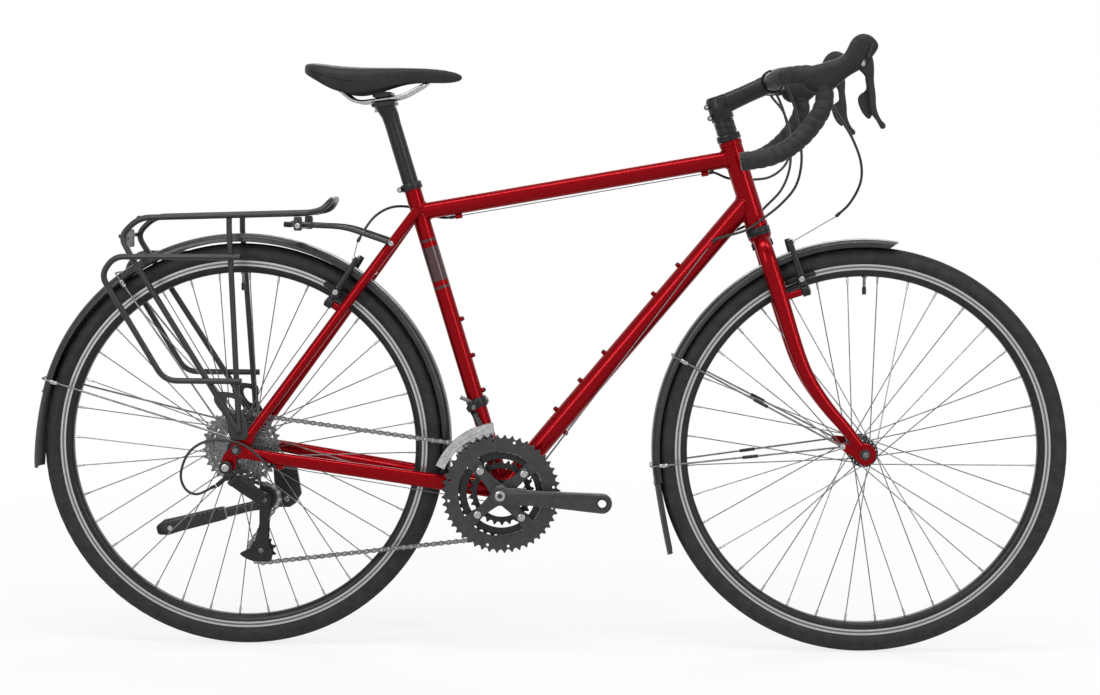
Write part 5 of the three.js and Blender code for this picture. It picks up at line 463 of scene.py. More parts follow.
def casing(name, path, node, start_cap=True, count=60):
    radius, cap = 2.2, [(2.5, 0.3), (2.9, 0.8), (2.9, 8), (2.5, 9)]
    line = smooth(path, count)
    tube = piece(name, sweep(Form(), line, radius, 14), [CASING], node, slot="plastic")
    caps = Form()
    for here, there in ((line[-1], line[-2]), (line[0], line[1]))[:2 if start_cap else 1]:
        turned(caps, cap, here, (there - here).normalized(), 16)
    ends = piece(name + "_caps", caps, [SATIN], body=BODY_OF[node], slot="plastic")
    return line


TOP_ALONG, DOWN_ALONG = (TOP_FRONT - TOP_REAR).normalized(), (DOWN_FRONT - BRACKET).normalized()
TOP_BELOW, DOWN_BELOW = vec(TOP_ALONG.z, 0, -TOP_ALONG.x), vec(DOWN_ALONG.z, 0, -DOWN_ALONG.x)
STOP_RADIUS, STOP_HALF = 4.4, 6.0
STOP_SINK = STOP_RADIUS * 0.74
STOP_FACE, STRAIGHT, WIRE_RADIUS = STOP_HALF + 0.4, 7, 0.8
TOP_STOPS = [TOP_REAR.lerp(TOP_FRONT, s) + TOP_BELOW * (THIN_TUBE + STOP_SINK) for s in (0.12, 0.9)]
DOWN_STOPS = {w: BRACKET.lerp(DOWN_FRONT, 0.845) + ACROSS * w * (DOWN_TUBE + STOP_SINK) for w in BOTH}
CHAINSTAY = [(-0.02, 0.3), (0.1, 0.39), (0.18, 0.475), (0.3, 0.55), (0.5, 0.69), (0.76, 0.9), (0.94, 1.0),
             (1.0, 1.0)]
DROPOUT_IN, DROPOUT_OUT = 67.5, 74.5
STAY_SPREAD = 71


def chainstay_line(side):
    end = REAR + vec(21, 0, -7)
    return [BRACKET.lerp(end, max(a, 0)) + ACROSS * side * s * STAY_SPREAD for a, s in CHAINSTAY]


def chainstay_at(side, ahead):
    line = chainstay_line(side)
    x = REAR.x + ahead
    for a, b in zip(line, line[1:]):
        if b.x < x:
            return a.lerp(b, (a.x - x) / (a.x - b.x))


STAY_STOP = chainstay_at(-1, 72) - UP * (10 + STOP_SINK)
STAY_ALONG = (chainstay_at(-1, 84) - chainstay_at(-1, 72)).normalized()

# Places in the drive that cables, cranks and chain share
HANGER = REAR + vec(-16.5, 0, -28.5)
GUIDE = REAR + vec(42.5, 0, -86)
CAGE_TURN = radians(264.5)
TENSION = GUIDE + heading(CAGE_TURN, 90.5)
SPROCKETS = (32, 28, 24, 21, 18, 16, 14, 12, 11)
SPROCKET_Y = [-26.5 - 4.35 * i for i in range(len(SPROCKETS))]
CHAIN_Y = SPROCKET_Y[1]
CHAIN_PITCH = 12.7
CRANK_TURN = radians(-3.2)
KNUCKLE_OUT = -DROPOUT_OUT - GAP - 13
LINK_TOP = HANGER + vec(13.2, KNUCKLE_OUT + 7.2, -20.9)
BARREL_END = LINK_TOP + vec(-28.6, 0, -9.9)

# The points that each cable runs through
REAR_BRAKE_ROUTE = [(367, 124, 952), (374, 122, 939), (392, 110, 915), (404, 97, 875), (399, 79, 830),
                    (370, 52, 803), (332, 31, 797), (296, 16, 799)]
REAR_BRAKE_TAIL = [(-190, 12, 731), (-206, 24, 736), (-226, 28, 743), (-250, 25, 749), (-275, 15, 747),
                   (-299, 4, 733), (-317, -10, 708), (-326, -20, 690)]
FRONT_BRAKE_ROUTE = [(442, -203.8, 918.7), (462, -180, 892), (484, -150, 862), (503, -108, 822),
                     (505, -76, 790), (490, -52, 757), (470, -44, 737)]
FRONT_GEAR_ROUTE = [(374, 101, 952), (382, 98, 939), (394, 84, 905), (402, 66, 858), (400, 50, 815),
                    (386, 42, 780), (360, 36, 752), (330, 28, 722)]
REAR_GEAR_ROUTE = [(376, -115, 952), (384, -112, 939), (398, -98, 905), (407, -82, 860), (410, -66, 820),
                   (402, -50, 785), (380, -39, 757), (354, -33, 735), (325, -27, 714)]
REAR_GEAR_LOOP = [(-468, -79, 316), (-480, -83.5, 330), (-505, -85.5, 351), (-535, -85.5, 360),
                  (-573, -85.5, 358), (-601, -85.5, 339), (-615, -84.5, 300), (-607, -83, 277),
                  (-590, -82, 269)]
UNDER_BRACKET = [(-62, 14, 251), (-81.5, 13, 247.5), (-101, 12, 250)]
UP_TO_CAGE = [(-108, 8, 268), (-112, 0, 300), (-121, -13, 360), (-124, -21, 404)]
REAR_BRAKE_END, FRONT_BRAKE_END = vec(-331.5, -31, 663.5), vec(403.5, -35, 697)


def wire(name, node, *paths):
    form = Form()
    for path in paths:
        sweep(form, [Vector(p) for p in path], WIRE_RADIUS, 8)
    piece(name, form, [WIRE], node, slot="plastic")


def make_cables():
    ahead, behind = TOP_STOPS[1] + TOP_ALONG * STOP_FACE, TOP_STOPS[0] - TOP_ALONG * STOP_FACE
    node = "rear_brake_cable"
    casing("rear_brake_casing_front", REAR_BRAKE_ROUTE + [ahead + TOP_ALONG * STRAIGHT, ahead], node, False)
    line = casing("rear_brake_casing_rear", [behind, behind - TOP_ALONG * STRAIGHT] + REAR_BRAKE_TAIL, node)
    wire("rear_brake_wire", node, [ahead, behind], line[-2:] + [REAR_BRAKE_END])
    line = casing("front_brake_casing", FRONT_BRAKE_ROUTE, "front_brake_cable", False)
    wire("front_brake_wire", "front_brake_cable", line[-2:] + [FRONT_BRAKE_END])
    near, low = STAY_STOP + STAY_ALONG * STOP_FACE, STAY_STOP - STAY_ALONG * STOP_FACE
    stay_end = [near + STAY_ALONG * STRAIGHT, low]
    for side, node, route, end in ((1, "front_gear_cable", FRONT_GEAR_ROUTE, UP_TO_CAGE),
                                   (-1, "rear_gear_cable", REAR_GEAR_ROUTE, stay_end)):
        stop = DOWN_STOPS[side]
        ahead, behind = stop + DOWN_ALONG * STOP_FACE, stop - DOWN_ALONG * STOP_FACE
        casing(node + "_casing", route + [ahead + DOWN_ALONG * STRAIGHT, ahead], node, False)
        under = [(x, side * y, z) for x, y, z in UNDER_BRACKET]
        wire(node + "_wire", node, [ahead, behind - DOWN_ALONG * STRAIGHT] + under + end)
    loop = [low, low - STAY_ALONG * STRAIGHT] + REAR_GEAR_LOOP + [BARREL_END + vec(-2.2, 0, -0.5)]
    casing("rear_gear_loop", loop, "rear_gear_cable", count=90)


make_cables()


def pitch_radius(teeth):
    return CHAIN_PITCH / (2 * sin(pi / teeth))


# Frame

def weld(form, start, along, radius, other, other_along, other_radius, toward):
    """A bead of weld where a round tube meets the side of another."""
    first = along.cross(ACROSS if abs(along.y) < 0.9 else UP).normalized()
    second = along.cross(first)
    path, steps, bead = [], 96, 1.9
    for k in range(steps):
        turn = tau * k / steps
        begin = start + (first * cos(turn) + second * sin(turn)) * radius
        gap = begin - other
        p, q = gap - other_along * gap.dot(other_along), along - other_along * along.dot(other_along)
        a, b, c = q.dot(q), 2 * p.dot(q), p.dot(p) - other_radius ** 2
        path.append(begin + along * ((-b + toward * sqrt(max(b * b - 4 * a * c, 0))) / (2 * a)))
    sweep(form, path, [bead + (0.25 if k % 4 < 2 else -0.15) for k in range(steps)], 8, joined=True)


SEATSTAY_RADIUS = 8.2


def seatstay_line(side):
    low = REAR + vec(22, side * STAY_SPREAD, 25)
    top = TOP_REAR + SEAT_UP * 5
    bend = low.lerp(top, 0.8)
    bend.y = side * (22 + SEATSTAY_RADIUS + STOP_RADIUS)
    return [low, bend, vec(top.x, side * 13, top.z)]


BRAKE_TURN = {"rear": radians(58.2), "front": radians(110.4)}
BRAKE_OUT = {"rear": vec(-sin(BRAKE_TURN["rear"]), 0, cos(BRAKE_TURN["rear"])), "front": STEER_AHEAD}
BRAKE_UP = {"rear": heading(BRAKE_TURN["rear"]), "front": STEER_UP}
AXLES = {"front": FRONT, "rear": REAR}
PIVOT_REACH, PIVOT_SIDE = 289, 40


def brake_pivot(wheel, side):
    return AXLES[wheel] + heading(BRAKE_TURN[wheel], PIVOT_REACH) + ACROSS * side * PIVOT_SIDE


def brake_boss(form, wheel, side, standoff):
    tip, out = brake_pivot(wheel, side), BRAKE_OUT[wheel]
    bar(form, tip - out * standoff, tip - out * 7, 6, sides=28)
    bar(form, tip - out * 8, tip + out * 6, 4, 1, sides=20)


def stud(form, foot, out):
    """A threaded boss on a tube, with a screw in it."""
    bar(form, foot, foot + out * 5, 4.2, sides=18)
    bolt(form, foot + out * 4.6, out, 3.4, 2.4, 1)


def stop_bar(form, stop, along):
    bar(form, stop - along * STOP_HALF, stop + along * STOP_HALF, STOP_RADIUS, sides=20)


DROPOUT = [(-0.2, 0.3), (-0.42, 0.52), (-0.44, 0.66), (-0.28, 0.74), (-0.05, 0.68), (0.06, 0.92),
           (0.26, 0.94), (0.4, 0.74), (0.78, 0.78), (0.86, 0.5), (0.66, 0.1), (0.86, 0.02), (0.86, -0.38),
           (0.2, -0.42), (0.02, -0.4)]
HANGER_END = [(-0.1, -0.96), (-0.46, -1.06), (-0.72, -0.86), (-0.64, -0.3)]
PLAIN_END = [(-0.3, -0.4), (-0.42, -0.1)]
AXLE_BORE, DROPOUT_SCALE = 5.4, 35
STUDS_ON_SEAT_TUBE = (0.32, 0.435, 0.555)
STUDS_ON_DOWN_TUBE = {-1: (0.254, 0.354, 0.451, 0.653, 0.752), 1: (0.122, 0.222)}
PANEL_BANDS = ((0.69, 0.80), (0.818, 0.826), (0.665, 0.673))


def make_frame():
    form = Form()
    for start, end, radius in ((BRACKET, SEAT_TOP, THIN_TUBE), (TOP_REAR, TOP_FRONT, THIN_TUBE),
                               (BRACKET, DOWN_FRONT, DOWN_TUBE)):
        sweep(form, resample([start, end], 12), radius, 48)
    for low, high, reach in ((0, HEAD_TUBE, HEAD_RADIUS), (0, 9, HEAD_RADIUS + 1),
                             (HEAD_TUBE - 9, HEAD_TUBE, HEAD_RADIUS + 1)):
        bar(form, on_steerer(low), on_steerer(high), reach, sides=56, bevel=1.0)
    cross_bar(form, BRACKET, -34, 34, SHELL_RADIUS, sides=56, bevel=0.8)
    weld(form, TOP_REAR, TOP_ALONG, THIN_TUBE, TOP_REAR, SEAT_UP, THIN_TUBE, 1)
    weld(form, TOP_FRONT, TOP_ALONG, THIN_TUBE, TOP_FRONT, STEER_UP, HEAD_RADIUS, -1)
    weld(form, DOWN_FRONT, DOWN_ALONG, DOWN_TUBE, DOWN_FRONT, STEER_UP, HEAD_RADIUS, -1)
    weld(form, BRACKET, DOWN_ALONG, DOWN_TUBE, BRACKET, ACROSS, SHELL_RADIUS, 1)
    weld(form, BRACKET, SEAT_UP, THIN_TUBE, BRACKET, ACROSS, SHELL_RADIUS, 1)
    for side in BOTH:
        rows = []
        for i, p in enumerate(smooth(chainstay_line(side), 30)):
            share = i / 30
            rows.append(ring_of(p, ACROSS * (8.5 - max(share - 0.85, 0) * 10), UP * (14.5 - 4.5 * share), 28))
        form.rings(rows)
        sweep(form, rounded(seatstay_line(side), 33, 12), SEATSTAY_RADIUS, 32)
        outline = smooth_outline(REAR, DROPOUT_SCALE, DROPOUT + (HANGER_END if side < 0 else PLAIN_END), 110)
        slab(form, outline, side * DROPOUT_IN, side * DROPOUT_OUT, [circle(REAR, AXLE_BORE)], 1.1)
        brake_boss(form, "rear", side, 24)
        stop_bar(form, DOWN_STOPS[side], DOWN_ALONG)
    for stop in TOP_STOPS:
        stop_bar(form, stop, TOP_ALONG)
    stop_bar(form, STAY_STOP, STAY_ALONG)
    for share in STUDS_ON_SEAT_TUBE:
        stud(form, on_seat(share * SEAT_TUBE, THIN_TUBE - 0.7), SEAT_AHEAD)
    for way, shares in STUDS_ON_DOWN_TUBE.items():
        out = DOWN_BELOW * way
        for share in shares:
            stud(form, BRACKET.lerp(DOWN_FRONT, share) + out * (DOWN_TUBE - 0.75), out)
    line = seatstay_line(1)
    along_stay = vec(line[2].x - line[0].x, 0, line[2].z - line[0].z).normalized()
    cross_bar(form, REAR + along_stay * 365.3 + ALONG_X * 5, -30.2, 30.2, 5, bevel=0.3)
    cross_bar(form, REAR + UP * 5 + heading(radians(-8.5), 360.3), -30.5, 30.5, 5, bevel=0.3)
    piece("frame_tubes", form, [PAINT, SATIN], "frame", slot="frame_paint")
    panel = Form()
    for low, high in PANEL_BANDS:
        washer(panel, THIN_TUBE - 0.2, THIN_TUBE + 0.2, low * SEAT_TUBE, high * SEAT_TUBE, BRACKET, SEAT_UP)
    piece("seat_tube_panel", panel, [DARK_PANEL], body="frame", slot="frame_paint")


BRACKET_CUP = [(12, 34.3), (21, 34.3), (21, 39.6), (19.6, 41.3), (12, 41.3)]
SEAT_COLLAR = [(14.6, -7), (17.4, -7), (17.8, -6.3), (17.8, 4.3), (17.4, 5), (14.6, 5)]
UPPER_CUP = [(14.6, 0.4), (19.2, 0.4), (20.3, 2), (20.3, 6.4), (19.6, 7), (20.2, 7.5), (19.4, 11.4),
             (17.5, 12.5), (14.6, 12.5)]
LOWER_CUP = [(14.6, 0.4), (19.2, 0.4), (20.4, 2), (20.4, 8), (19.6, 8.7), (20.3, 9.3), (20.3, 12.6),
             (19.6, 13.6), (14.6, 13.6)]
SPACERS = ((0, 9.6), (10, 19.6), (20, SPACER_STACK))


def collar(profile, centre, axis):
    """A hollow turned part on a form of its own."""
    return turned(Form(), profile, centre, axis, closed=True)


def make_small_frame_parts():
    cups = Form()
    for side in BOTH:
        turned(cups, BRACKET_CUP, BRACKET, ACROSS * side, 36)
        for k in range(8):
            lug = BRACKET + heading(tau * k / 8, 19.6)
            bar(cups, lug + ACROSS * side * 35, lug + ACROSS * side * 39, 1.9, sides=10)
    piece("bottom_bracket_cups", cups, [SATIN], "bottom_bracket")
    form = collar(SEAT_COLLAR, SEAT_TOP, SEAT_UP)
    ear = on_seat(SEAT_TUBE - 1, -20.6)
    for side in BOTH:
        cross_bar(form, ear, side * 1.2, side * 7.5, 4.6, bevel=1)
    for side in BOTH:
        bolt(form, ear + ACROSS * side * 7.4, ACROSS * side, 3.6, 3, 1)
    piece("seat_collar", form, [SATIN, STEEL], "seat_clamp")
    piece("headset_cup_upper", collar(UPPER_CUP, HEAD_TOP, STEER_UP), [SATIN], "headset_upper")
    piece("headset_cup_lower", collar(LOWER_CUP, HEAD_BOTTOM, -STEER_UP), [SATIN], "headset_lower")
    rings, bore, reach = Form(), CLAMP_BORE + 0.1, 16.9
    for low, high in SPACERS:
        profile = [(bore, low), (reach, low), (reach + 0.1, low + 0.4), (reach + 0.1, high - 0.4),
                   (reach, high), (bore, high)]
        turned(rings, profile, on_steerer(HEAD_TUBE + HEADSET_RISE + GAP), STEER_UP, closed=True)
    piece("spacer_rings", rings, [SATIN], "headset_spacers")


# Fork

# Shares of the fork's length, half width and rake along each blade
BLADE = [(0.05, 0.14, 0), (0.105, 0.56, 0), (0.25, 0.69, 0), (0.56, 0.85, 0), (0.66, 0.89, 0.1),
         (0.78, 0.93, 0.37), (0.87, 0.97, 0.66), (0.965, 1, 0.92)]
CROWN = [(20.1, -14.2), (20.1, -16), (18, -20), (15, -28), (14.3, -32)]


def front_eyelet(side):
    return FRONT + vec(-38, side * 57, 13)


def rear_eyelet(side):
    return REAR + vec(-12.25, side * DROPOUT_OUT, 22.4)


def make_fork():
    form, bends = Form(), 60
    bar(form, on_steerer(-28), on_steerer(STEM_TOP - 2), 14.25, 1, sides=40)
    turned(form, CROWN, HEAD_BOTTOM, STEER_UP, 40)
    for side in BOTH:
        knots = [on_steerer(-d * FORK_LENGTH, f * FORK_RAKE, side * o * 54) for d, o, f in BLADE]
        line = smooth([on_steerer(-24, 0, side * 3)] + knots, bends)
        rows = []
        for i, p in enumerate(line):
            along = (line[min(i + 1, bends)] - line[max(i - 1, 0)]).normalized()
            across = along.cross(STEER_AHEAD).normalized()
            share = max(0, (i / bends - 0.25) / 0.75)
            deep, wide = 14 - 4.8 * share, 10.5 - 3.2 * share
            rows.append(ring_of(p, across.cross(along) * deep, across * wide, 30))
        form.rings(rows)
        eye = front_eyelet(side)
        outline = (circle(FRONT, 18.5, 30, radians(-105), radians(118)) + [(FRONT.x - 22, FRONT.z + 17)]
                   + circle(eye, 5.2, 8, radians(80), radians(250)) + [(FRONT.x - 20, FRONT.z - 4)])
        slab(form, outline, side * 50, side * 57, [circle(FRONT, AXLE_BORE), circle(eye, 2.4, 14)], 1.2)
        brake_boss(form, "front", side, 34)
    for way in BOTH:
        bolt(form, on_steerer(-30, way * 14), STEER_AHEAD * way, 6, 4, 1)
    piece("fork_unicrown", form, [PAINT, SATIN], "fork", slot="frame_paint")


# Axles, hubs, spokes, rims and tyres

def make_axle(name, node, centre, spacing, thick):
    form, half = Form(), spacing / 2
    cross_bar(form, centre, -half - thick - 9, half + thick + 9, 4.9, 1, 20)
    for side in BOTH:
        out = ACROSS * side
        face = centre + out * (half + thick + GAP)
        washer(form, 5, 8.4, 0, 1.2, face, out, 32, 1)
        nut(form, face + out * 1.2, out, 8.3, 5.6)
        nut(form, centre + out * (half - 2.7), out, 8.3, 2.4)
    piece(name, form, [SATIN, DULL_STEEL], node, slot="steel")


SPOKES = 36
FLANGE = [(10, 4), (20, 2.4), (23.4, 1.9), (24, 1.2), (24, -1.2), (23.4, -1.9), (17, -3), (13.4, -8)]


def half_shell(flange, end):
    """Radius and reach along half a hub, from its end to its flange."""
    return [(5.5, end), (9.6, end), (10, end - 1)] + [(r, flange + out) for r, out in FLANGE]


def make_hub(name, node, centre, left, right, end_left, end_right, first_angle):
    """The shell, and the spokes with their heads and nipples."""
    form = Form()
    shell = [(r, -h) for r, h in half_shell(right, end_right)]
    shell += [(12.4, (left - right) / 2)] + half_shell(left, end_left)[::-1]
    turned(form, shell, centre, closed=True)
    for i in range(SPOKES):
        angle, lean = radians(first_angle) + tau * i / SPOKES, (1, -1, -1, 1)[i % 4]
        flange, sign = (left, 1) if i % 2 == 0 else (-right, -1)
        outward = ACROSS * sign * lean
        hub_end = centre + heading(angle - lean * tau / SPOKES * 6, 20.5) + ACROSS * flange + outward * 2.9
        rim_end = centre + heading(angle, 291.5) + ACROSS * flange * 0.08
        sweep(form, [hub_end, hub_end.lerp(rim_end, 0.03), rim_end], 0.95, 8, 2)
        along = (rim_end - hub_end).normalized()
        bar(form, rim_end - along * 11, rim_end + along * 1.2, 1.9, 1, 10, 0.4)
        bar(form, hub_end - outward * 5.6, hub_end + outward * 1.1, 1.4, 1, 10, 0.4)
    piece(name, form, [DULL_STEEL if node == "rear_hub" else SATIN, STEEL, SPOKE], node, slot="steel")


RIM_EDGE = 314.8
RIM = [(293.5, 5.5), (295.5, 8.6), (300.1, 11.6), (304.6, 12.0), (304.9, 11.75), (307.9, 11.75),
       (311.1, 11.75), (314.3, 11.75), (RIM_EDGE, 11.3), (314.6, 10.2), (312.6, 9.8), (309.4, 9.7),
       (308.9, 6)]
# The looks of the brake track, by row of the rim's profile
TRACK_LOOKS = {4: 1, 5: 3, 6: 1}
FIRST_EYELET = {"front_rim": 5.6, "rear_rim": 7.9}


def wheel_ring(centre, radius, y, count):
    return ring_of(centre + ACROSS * y, ALONG_X * radius, UP * radius, count)


def make_rim(name, node, centre):
    form, sides = Form(), 180
    profile = RIM + [(r, -y) for r, y in reversed(RIM)]
    form.rings([wheel_ring(centre, r, y, sides) for r, y in profile], joined=True)
    for row, look in TRACK_LOOKS.items():
        for r in (row, len(profile) - 2 - row):
            form.looks[r * sides:(r + 1) * sides] = [look] * sides
    for k in range(SPOKES):
        out = heading(radians(FIRST_EYELET[node]) + tau * k / SPOKES)
        washer(form, 1.9, 3.1, -0.4, 0.5, centre + out * 293.3, out, 14, 2)
    piece(name, form, [RIM_BLACK, TRACK, STEEL, WORN_TRACK], node)
    valve, foot = Form(), centre + UP * 294
    bar(valve, foot, foot - UP * 20, 2.6, 0, 16)
    bar(valve, foot - UP * 18, foot - UP * 31, 3.6, 1, 18, 1.2)
    bar(valve, foot, foot - UP * 3, 4.4, 0, 6)
    piece(name.replace("rim", "valve"), valve, [DULL_STEEL, PLASTIC], body=BODY_OF[node], slot="tyre")


TYRE_ANGLES = [122, 112, 104, 100, 92, 80, 68, 58, 50, 44, 38, 32, 26, 20, 14, 8, 3]
TREAD_EDGE = 58
TYRE_INSIDE = [(310.4, 8.2), (316, 11.5), (326, 14.6), (336, 10), (339, 0)]


def make_tyre(name, node, centre):
    """A casing with smooth walls, a raised line near the rim and a tread of shallow grooves."""
    wide, segments = 17.0, 360
    middle = TYRE_RADIUS - wide
    angles = [-a for a in TYRE_ANGLES] + [0] + TYRE_ANGLES[::-1]
    rows = []
    for degrees in angles:
        turn, size, row = radians(degrees), abs(degrees), []
        for i in range(segments):
            reach = wide
            if size in (44, 38) and (i // 3 + (degrees > 0)) % 2:
                reach -= 0.9
            elif size in (26, 14) and i % 4 == 0:
                reach -= 0.8
            elif size in (32, 20, 3):
                reach -= 0.5
            elif size in (100, 104):
                reach += 0.35
            out = heading(tau * i / segments, middle + reach * cos(turn))
            row.append(centre + out + ACROSS * (reach * sin(turn)))
        rows.append(row)
    inside = TYRE_INSIDE + [(r, -y) for r, y in reversed(TYRE_INSIDE[:-1])]
    form = Form().rings(rows + [wheel_ring(centre, r, y, segments) for r, y in inside], joined=True)
    for r, (a, b) in enumerate(zip(angles, angles[1:])):
        if abs(a) <= TREAD_EDGE and abs(b) <= TREAD_EDGE:
            form.looks[r * segments:(r + 1) * segments] = [1] * segments
    piece(name, form, [TYRE, TREAD], node, slot="tyre", sharp=60)


# Chain drive

# Each tooth as shares of its step round the wheel and reaches from the pitch circle
TOOTH = ((0.0, -3.0), (0.18, -2.3), (0.33, 0.6), (0.44, 2.7), (0.5, 3.0), (0.56, 2.7), (0.67, 0.6),
         (0.82, -2.3))


def flat(points):
    """The points as pairs of X and Z."""
    return [(p.x, p.z) for p in points]


def toothed(centre, teeth, phase=0.0):
    radius = pitch_radius(teeth)
    return flat(centre + heading(phase + tau * (k + part) / teeth, radius + reach)
                for k in range(teeth) for part, reach in TOOTH)


def make_cassette():
    form, windows = Form(), 6
    for k, (teeth, y) in enumerate(zip(SPROCKETS, SPROCKET_Y)):
        holes = []
        for n in range(windows if teeth >= 21 else 0):
            a, b = tau * n / windows + 0.16 + k * 0.1, tau * (n + 1) / windows - 0.16 + k * 0.1
            holes.append(circle(REAR, pitch_radius(teeth) - 8.5, 8, a, b) + circle(REAR, 24, 6, a, b)[::-1])
        holes.append(circle(REAR, 17.2, 28))
        slab(form, toothed(REAR, teeth, k * 0.07), y - 0.8, y + 0.8, holes, 0.3)
        if k:
            washer(form, 16.6, 19.4, y + 0.8, y + 3.5, REAR, ACROSS, 36, 1)
    last = SPROCKET_Y[-1]
    washer(form, 12, 16.4, last - 0.8, last - 3, REAR, ACROSS, 36, 1)
    freehub = [(5.6, -25.3), (16.4, -25.3), (16.4, last - 2), (11, last - 2), (11, -64.4), (5.6, -64.4)]
    turned(form, freehub, REAR, ACROSS, 36, 1, closed=True)
    piece("cassette_sprockets", form, [DULL_STEEL, SATIN], "cassette", slot="steel", sharp=30)


BOLT_TURNS = [CRANK_TURN + pi / 4 + k * pi / 2 for k in range(4)]
# Teeth, Y, phase, look, and the opening's radius with the reach and half width of its fingers
RINGS = ((48, -58.0, 0.0, 1, (71.5, 52, 9.5)), (36, -50.0, 0.05, 0, (58, 51, 9)),
         (26, -42.0, 0.02, 0, (41, 32, 7)))


def from_bracket(turn, pairs):
    """Pairs of reach and side step at an angle from the bracket, as an outline."""
    return flat(BRACKET + heading(turn, along) + heading(turn + pi / 2, across) for along, across in pairs)


def ring_hole(inner, reach, half_width):
    """The open middle of a chainring, with a round-ended finger at each bolt."""
    outline, clear = [], asin(half_width / inner) + 0.03
    angles = [radians(degrees) for degrees in range(-90, 91, 30)]
    tip = [(reach - half_width * cos(a), half_width * sin(a)) for a in angles]
    for turn in BOLT_TURNS:
        outline += from_bracket(turn, tip)
        outline += circle(BRACKET, inner, 14, turn + clear, turn + pi / 2 - clear)
    return outline


def make_chainrings():
    form = Form()
    turns = [CRANK_TURN + tau * (k + 0.5) / 16 for k in range(16) if k % 4 in (0, 3)]
    small = [circle(BRACKET + heading(turn, 89), 2.4, 12) for turn in turns]
    for teeth, y, phase, look, opening in RINGS:
        holes, small = [ring_hole(*opening)] + small, []
        slab(form, toothed(BRACKET, teeth, phase), y - 0.9, y + 0.9, holes, 0.35, look)
    for turn in BOLT_TURNS:
        for reach, low, high in ((52, -58.9, -49.2), (32.2, -50.9, -41.2)):
            cross_bar(form, BRACKET + heading(turn, reach), low, high, 4.9, 2, 20)
    for k in range(10):
        cross_bar(form, BRACKET + heading(CRANK_TURN + tau * k / 10 + 0.2, 92), -57.0, -54.6, 1.7, 2, 12)
    piece("toothed_chainrings", form, [SATIN, CRANK_GREY, STEEL], "chainrings", sharp=30)


CRANK = 170
CRANK_EDGE = [(30, 14.6), (51, 12.7), (80, 13.4), (120, 14.6), (150, 15.8)]
SPIDER_EDGE = [(0, 15), (14, 12), (30, 9.5), (44, 8.6), (52, 8.8), (57, 8), (60.5, 5), (61.6, 0)]


def crank_slab(form, side, turn):
    """A crank arm that leans outwards towards its pedal eye."""
    inner_face, thick, step, eye = side * 68.0, side * 13, side * 14.0, BRACKET + heading(turn, CRANK)
    outline = circle(BRACKET, 17, 20, turn + radians(55), turn + radians(305))
    outline += from_bracket(turn, [(a, -b) for a, b in CRANK_EDGE])
    outline += circle(eye, 16.5, 16, turn - pi / 2, turn + pi / 2)
    outline += from_bracket(turn, CRANK_EDGE[::-1])

    def lean(point):
        share = (point - BRACKET).dot(heading(turn)) / CRANK
        return point + ACROSS * step * min(max(share, 0), 1)

    slab(form, outline, inner_face, inner_face + thick, [circle(eye, 7, 28)], 2.4, 0, lean)
    washer(form, 7.1, 9.2, 0, 0.5, eye + ACROSS * side * 94.9, ACROSS * side, 28, 1)


def make_cranks():
    right = Form()
    cross_bar(right, BRACKET, -74, 67.7, 11.3, 1, 32)
    cross_bar(right, BRACKET, -70, -59.2, 17, 0, 48, 1.5)
    crank_slab(right, -1, CRANK_TURN)
    for turn in BOLT_TURNS:
        arm = SPIDER_EDGE + [(a, -h) for a, h in reversed(SPIDER_EDGE[:-1])]
        slab(right, from_bracket(turn, arm), -64.2, -59.3, bevel=1.4)
        bolt(right, BRACKET + heading(turn, 52) - ACROSS * 64.0, -ACROSS, 6.1, 1.6, 2)
    bolt(right, BRACKET - ACROSS * 80.9, -ACROSS, 8.6, 2.2, 2)
    washer(right, 9.6, 12.2, 0, 0.7, BRACKET - ACROSS * 80.8, -ACROSS, 40)
    piece("crank_arm_right", right, [CRANK_GREY, SATIN, STEEL], "crank_right")
    left = Form()
    crank_slab(left, 1, CRANK_TURN + pi)
    cross_bar(left, BRACKET, 68.2, 80, 16.8, 0, 40, 1.5)
    bolt(left, BRACKET + ACROSS * 80.5, ACROSS, 8.6, 2.2, 2)
    for way in BOTH:
        clamp = BRACKET - heading(CRANK_TURN, 22) + ACROSS * 74.5 + UP * way * 13.2
        bolt(left, clamp, UP * way, 3.2, 2, 1)
    piece("crank_arm_left", left, [CRANK_GREY, SATIN, STEEL], "crank_left")


def chain_line():
    """The middle of the chain, all the way round. The guide wheel turns against the others."""
    turns_at = ((REAR, 28, 1, CHAIN_Y), (BRACKET, 36, 1, RINGS[1][1]), (TENSION, 11, 1, CHAIN_Y),
                (GUIDE, 11, -1, CHAIN_Y))
    wheels = [(vec(c.x, y, c.z), way * pitch_radius(teeth), way) for c, teeth, way, y in turns_at]
    runs = []
    for (here, begin, _), (there, end, _) in zip(wheels, wheels[1:] + wheels[:1]):
        gap = there - here
        angle = atan2(gap.z, gap.x) - asin((begin - end) / hypot(gap.x, gap.z))
        left = heading(angle + pi / 2)
        runs.append((angle, here + left * begin, there + left * end))
    points, steps = [], 40
    for i, (centre, reach, way) in enumerate(wheels):
        before, (after, leave, arrive) = runs[i - 1][0], runs[i]
        turn = (before - after) * way % tau
        turns = [before - way * turn * s / steps for s in range(steps + 1)]
        points += [centre + heading(t + pi / 2, reach) for t in turns]
        share = min(CHAIN_PITCH * 2.2 / (arrive - leave).length, 0.42)
        first, last = leave.lerp(arrive, share), leave.lerp(arrive, 1 - share)
        first.y, last.y = leave.y, arrive.y
        points += [first, last]
    return points + points[:1]


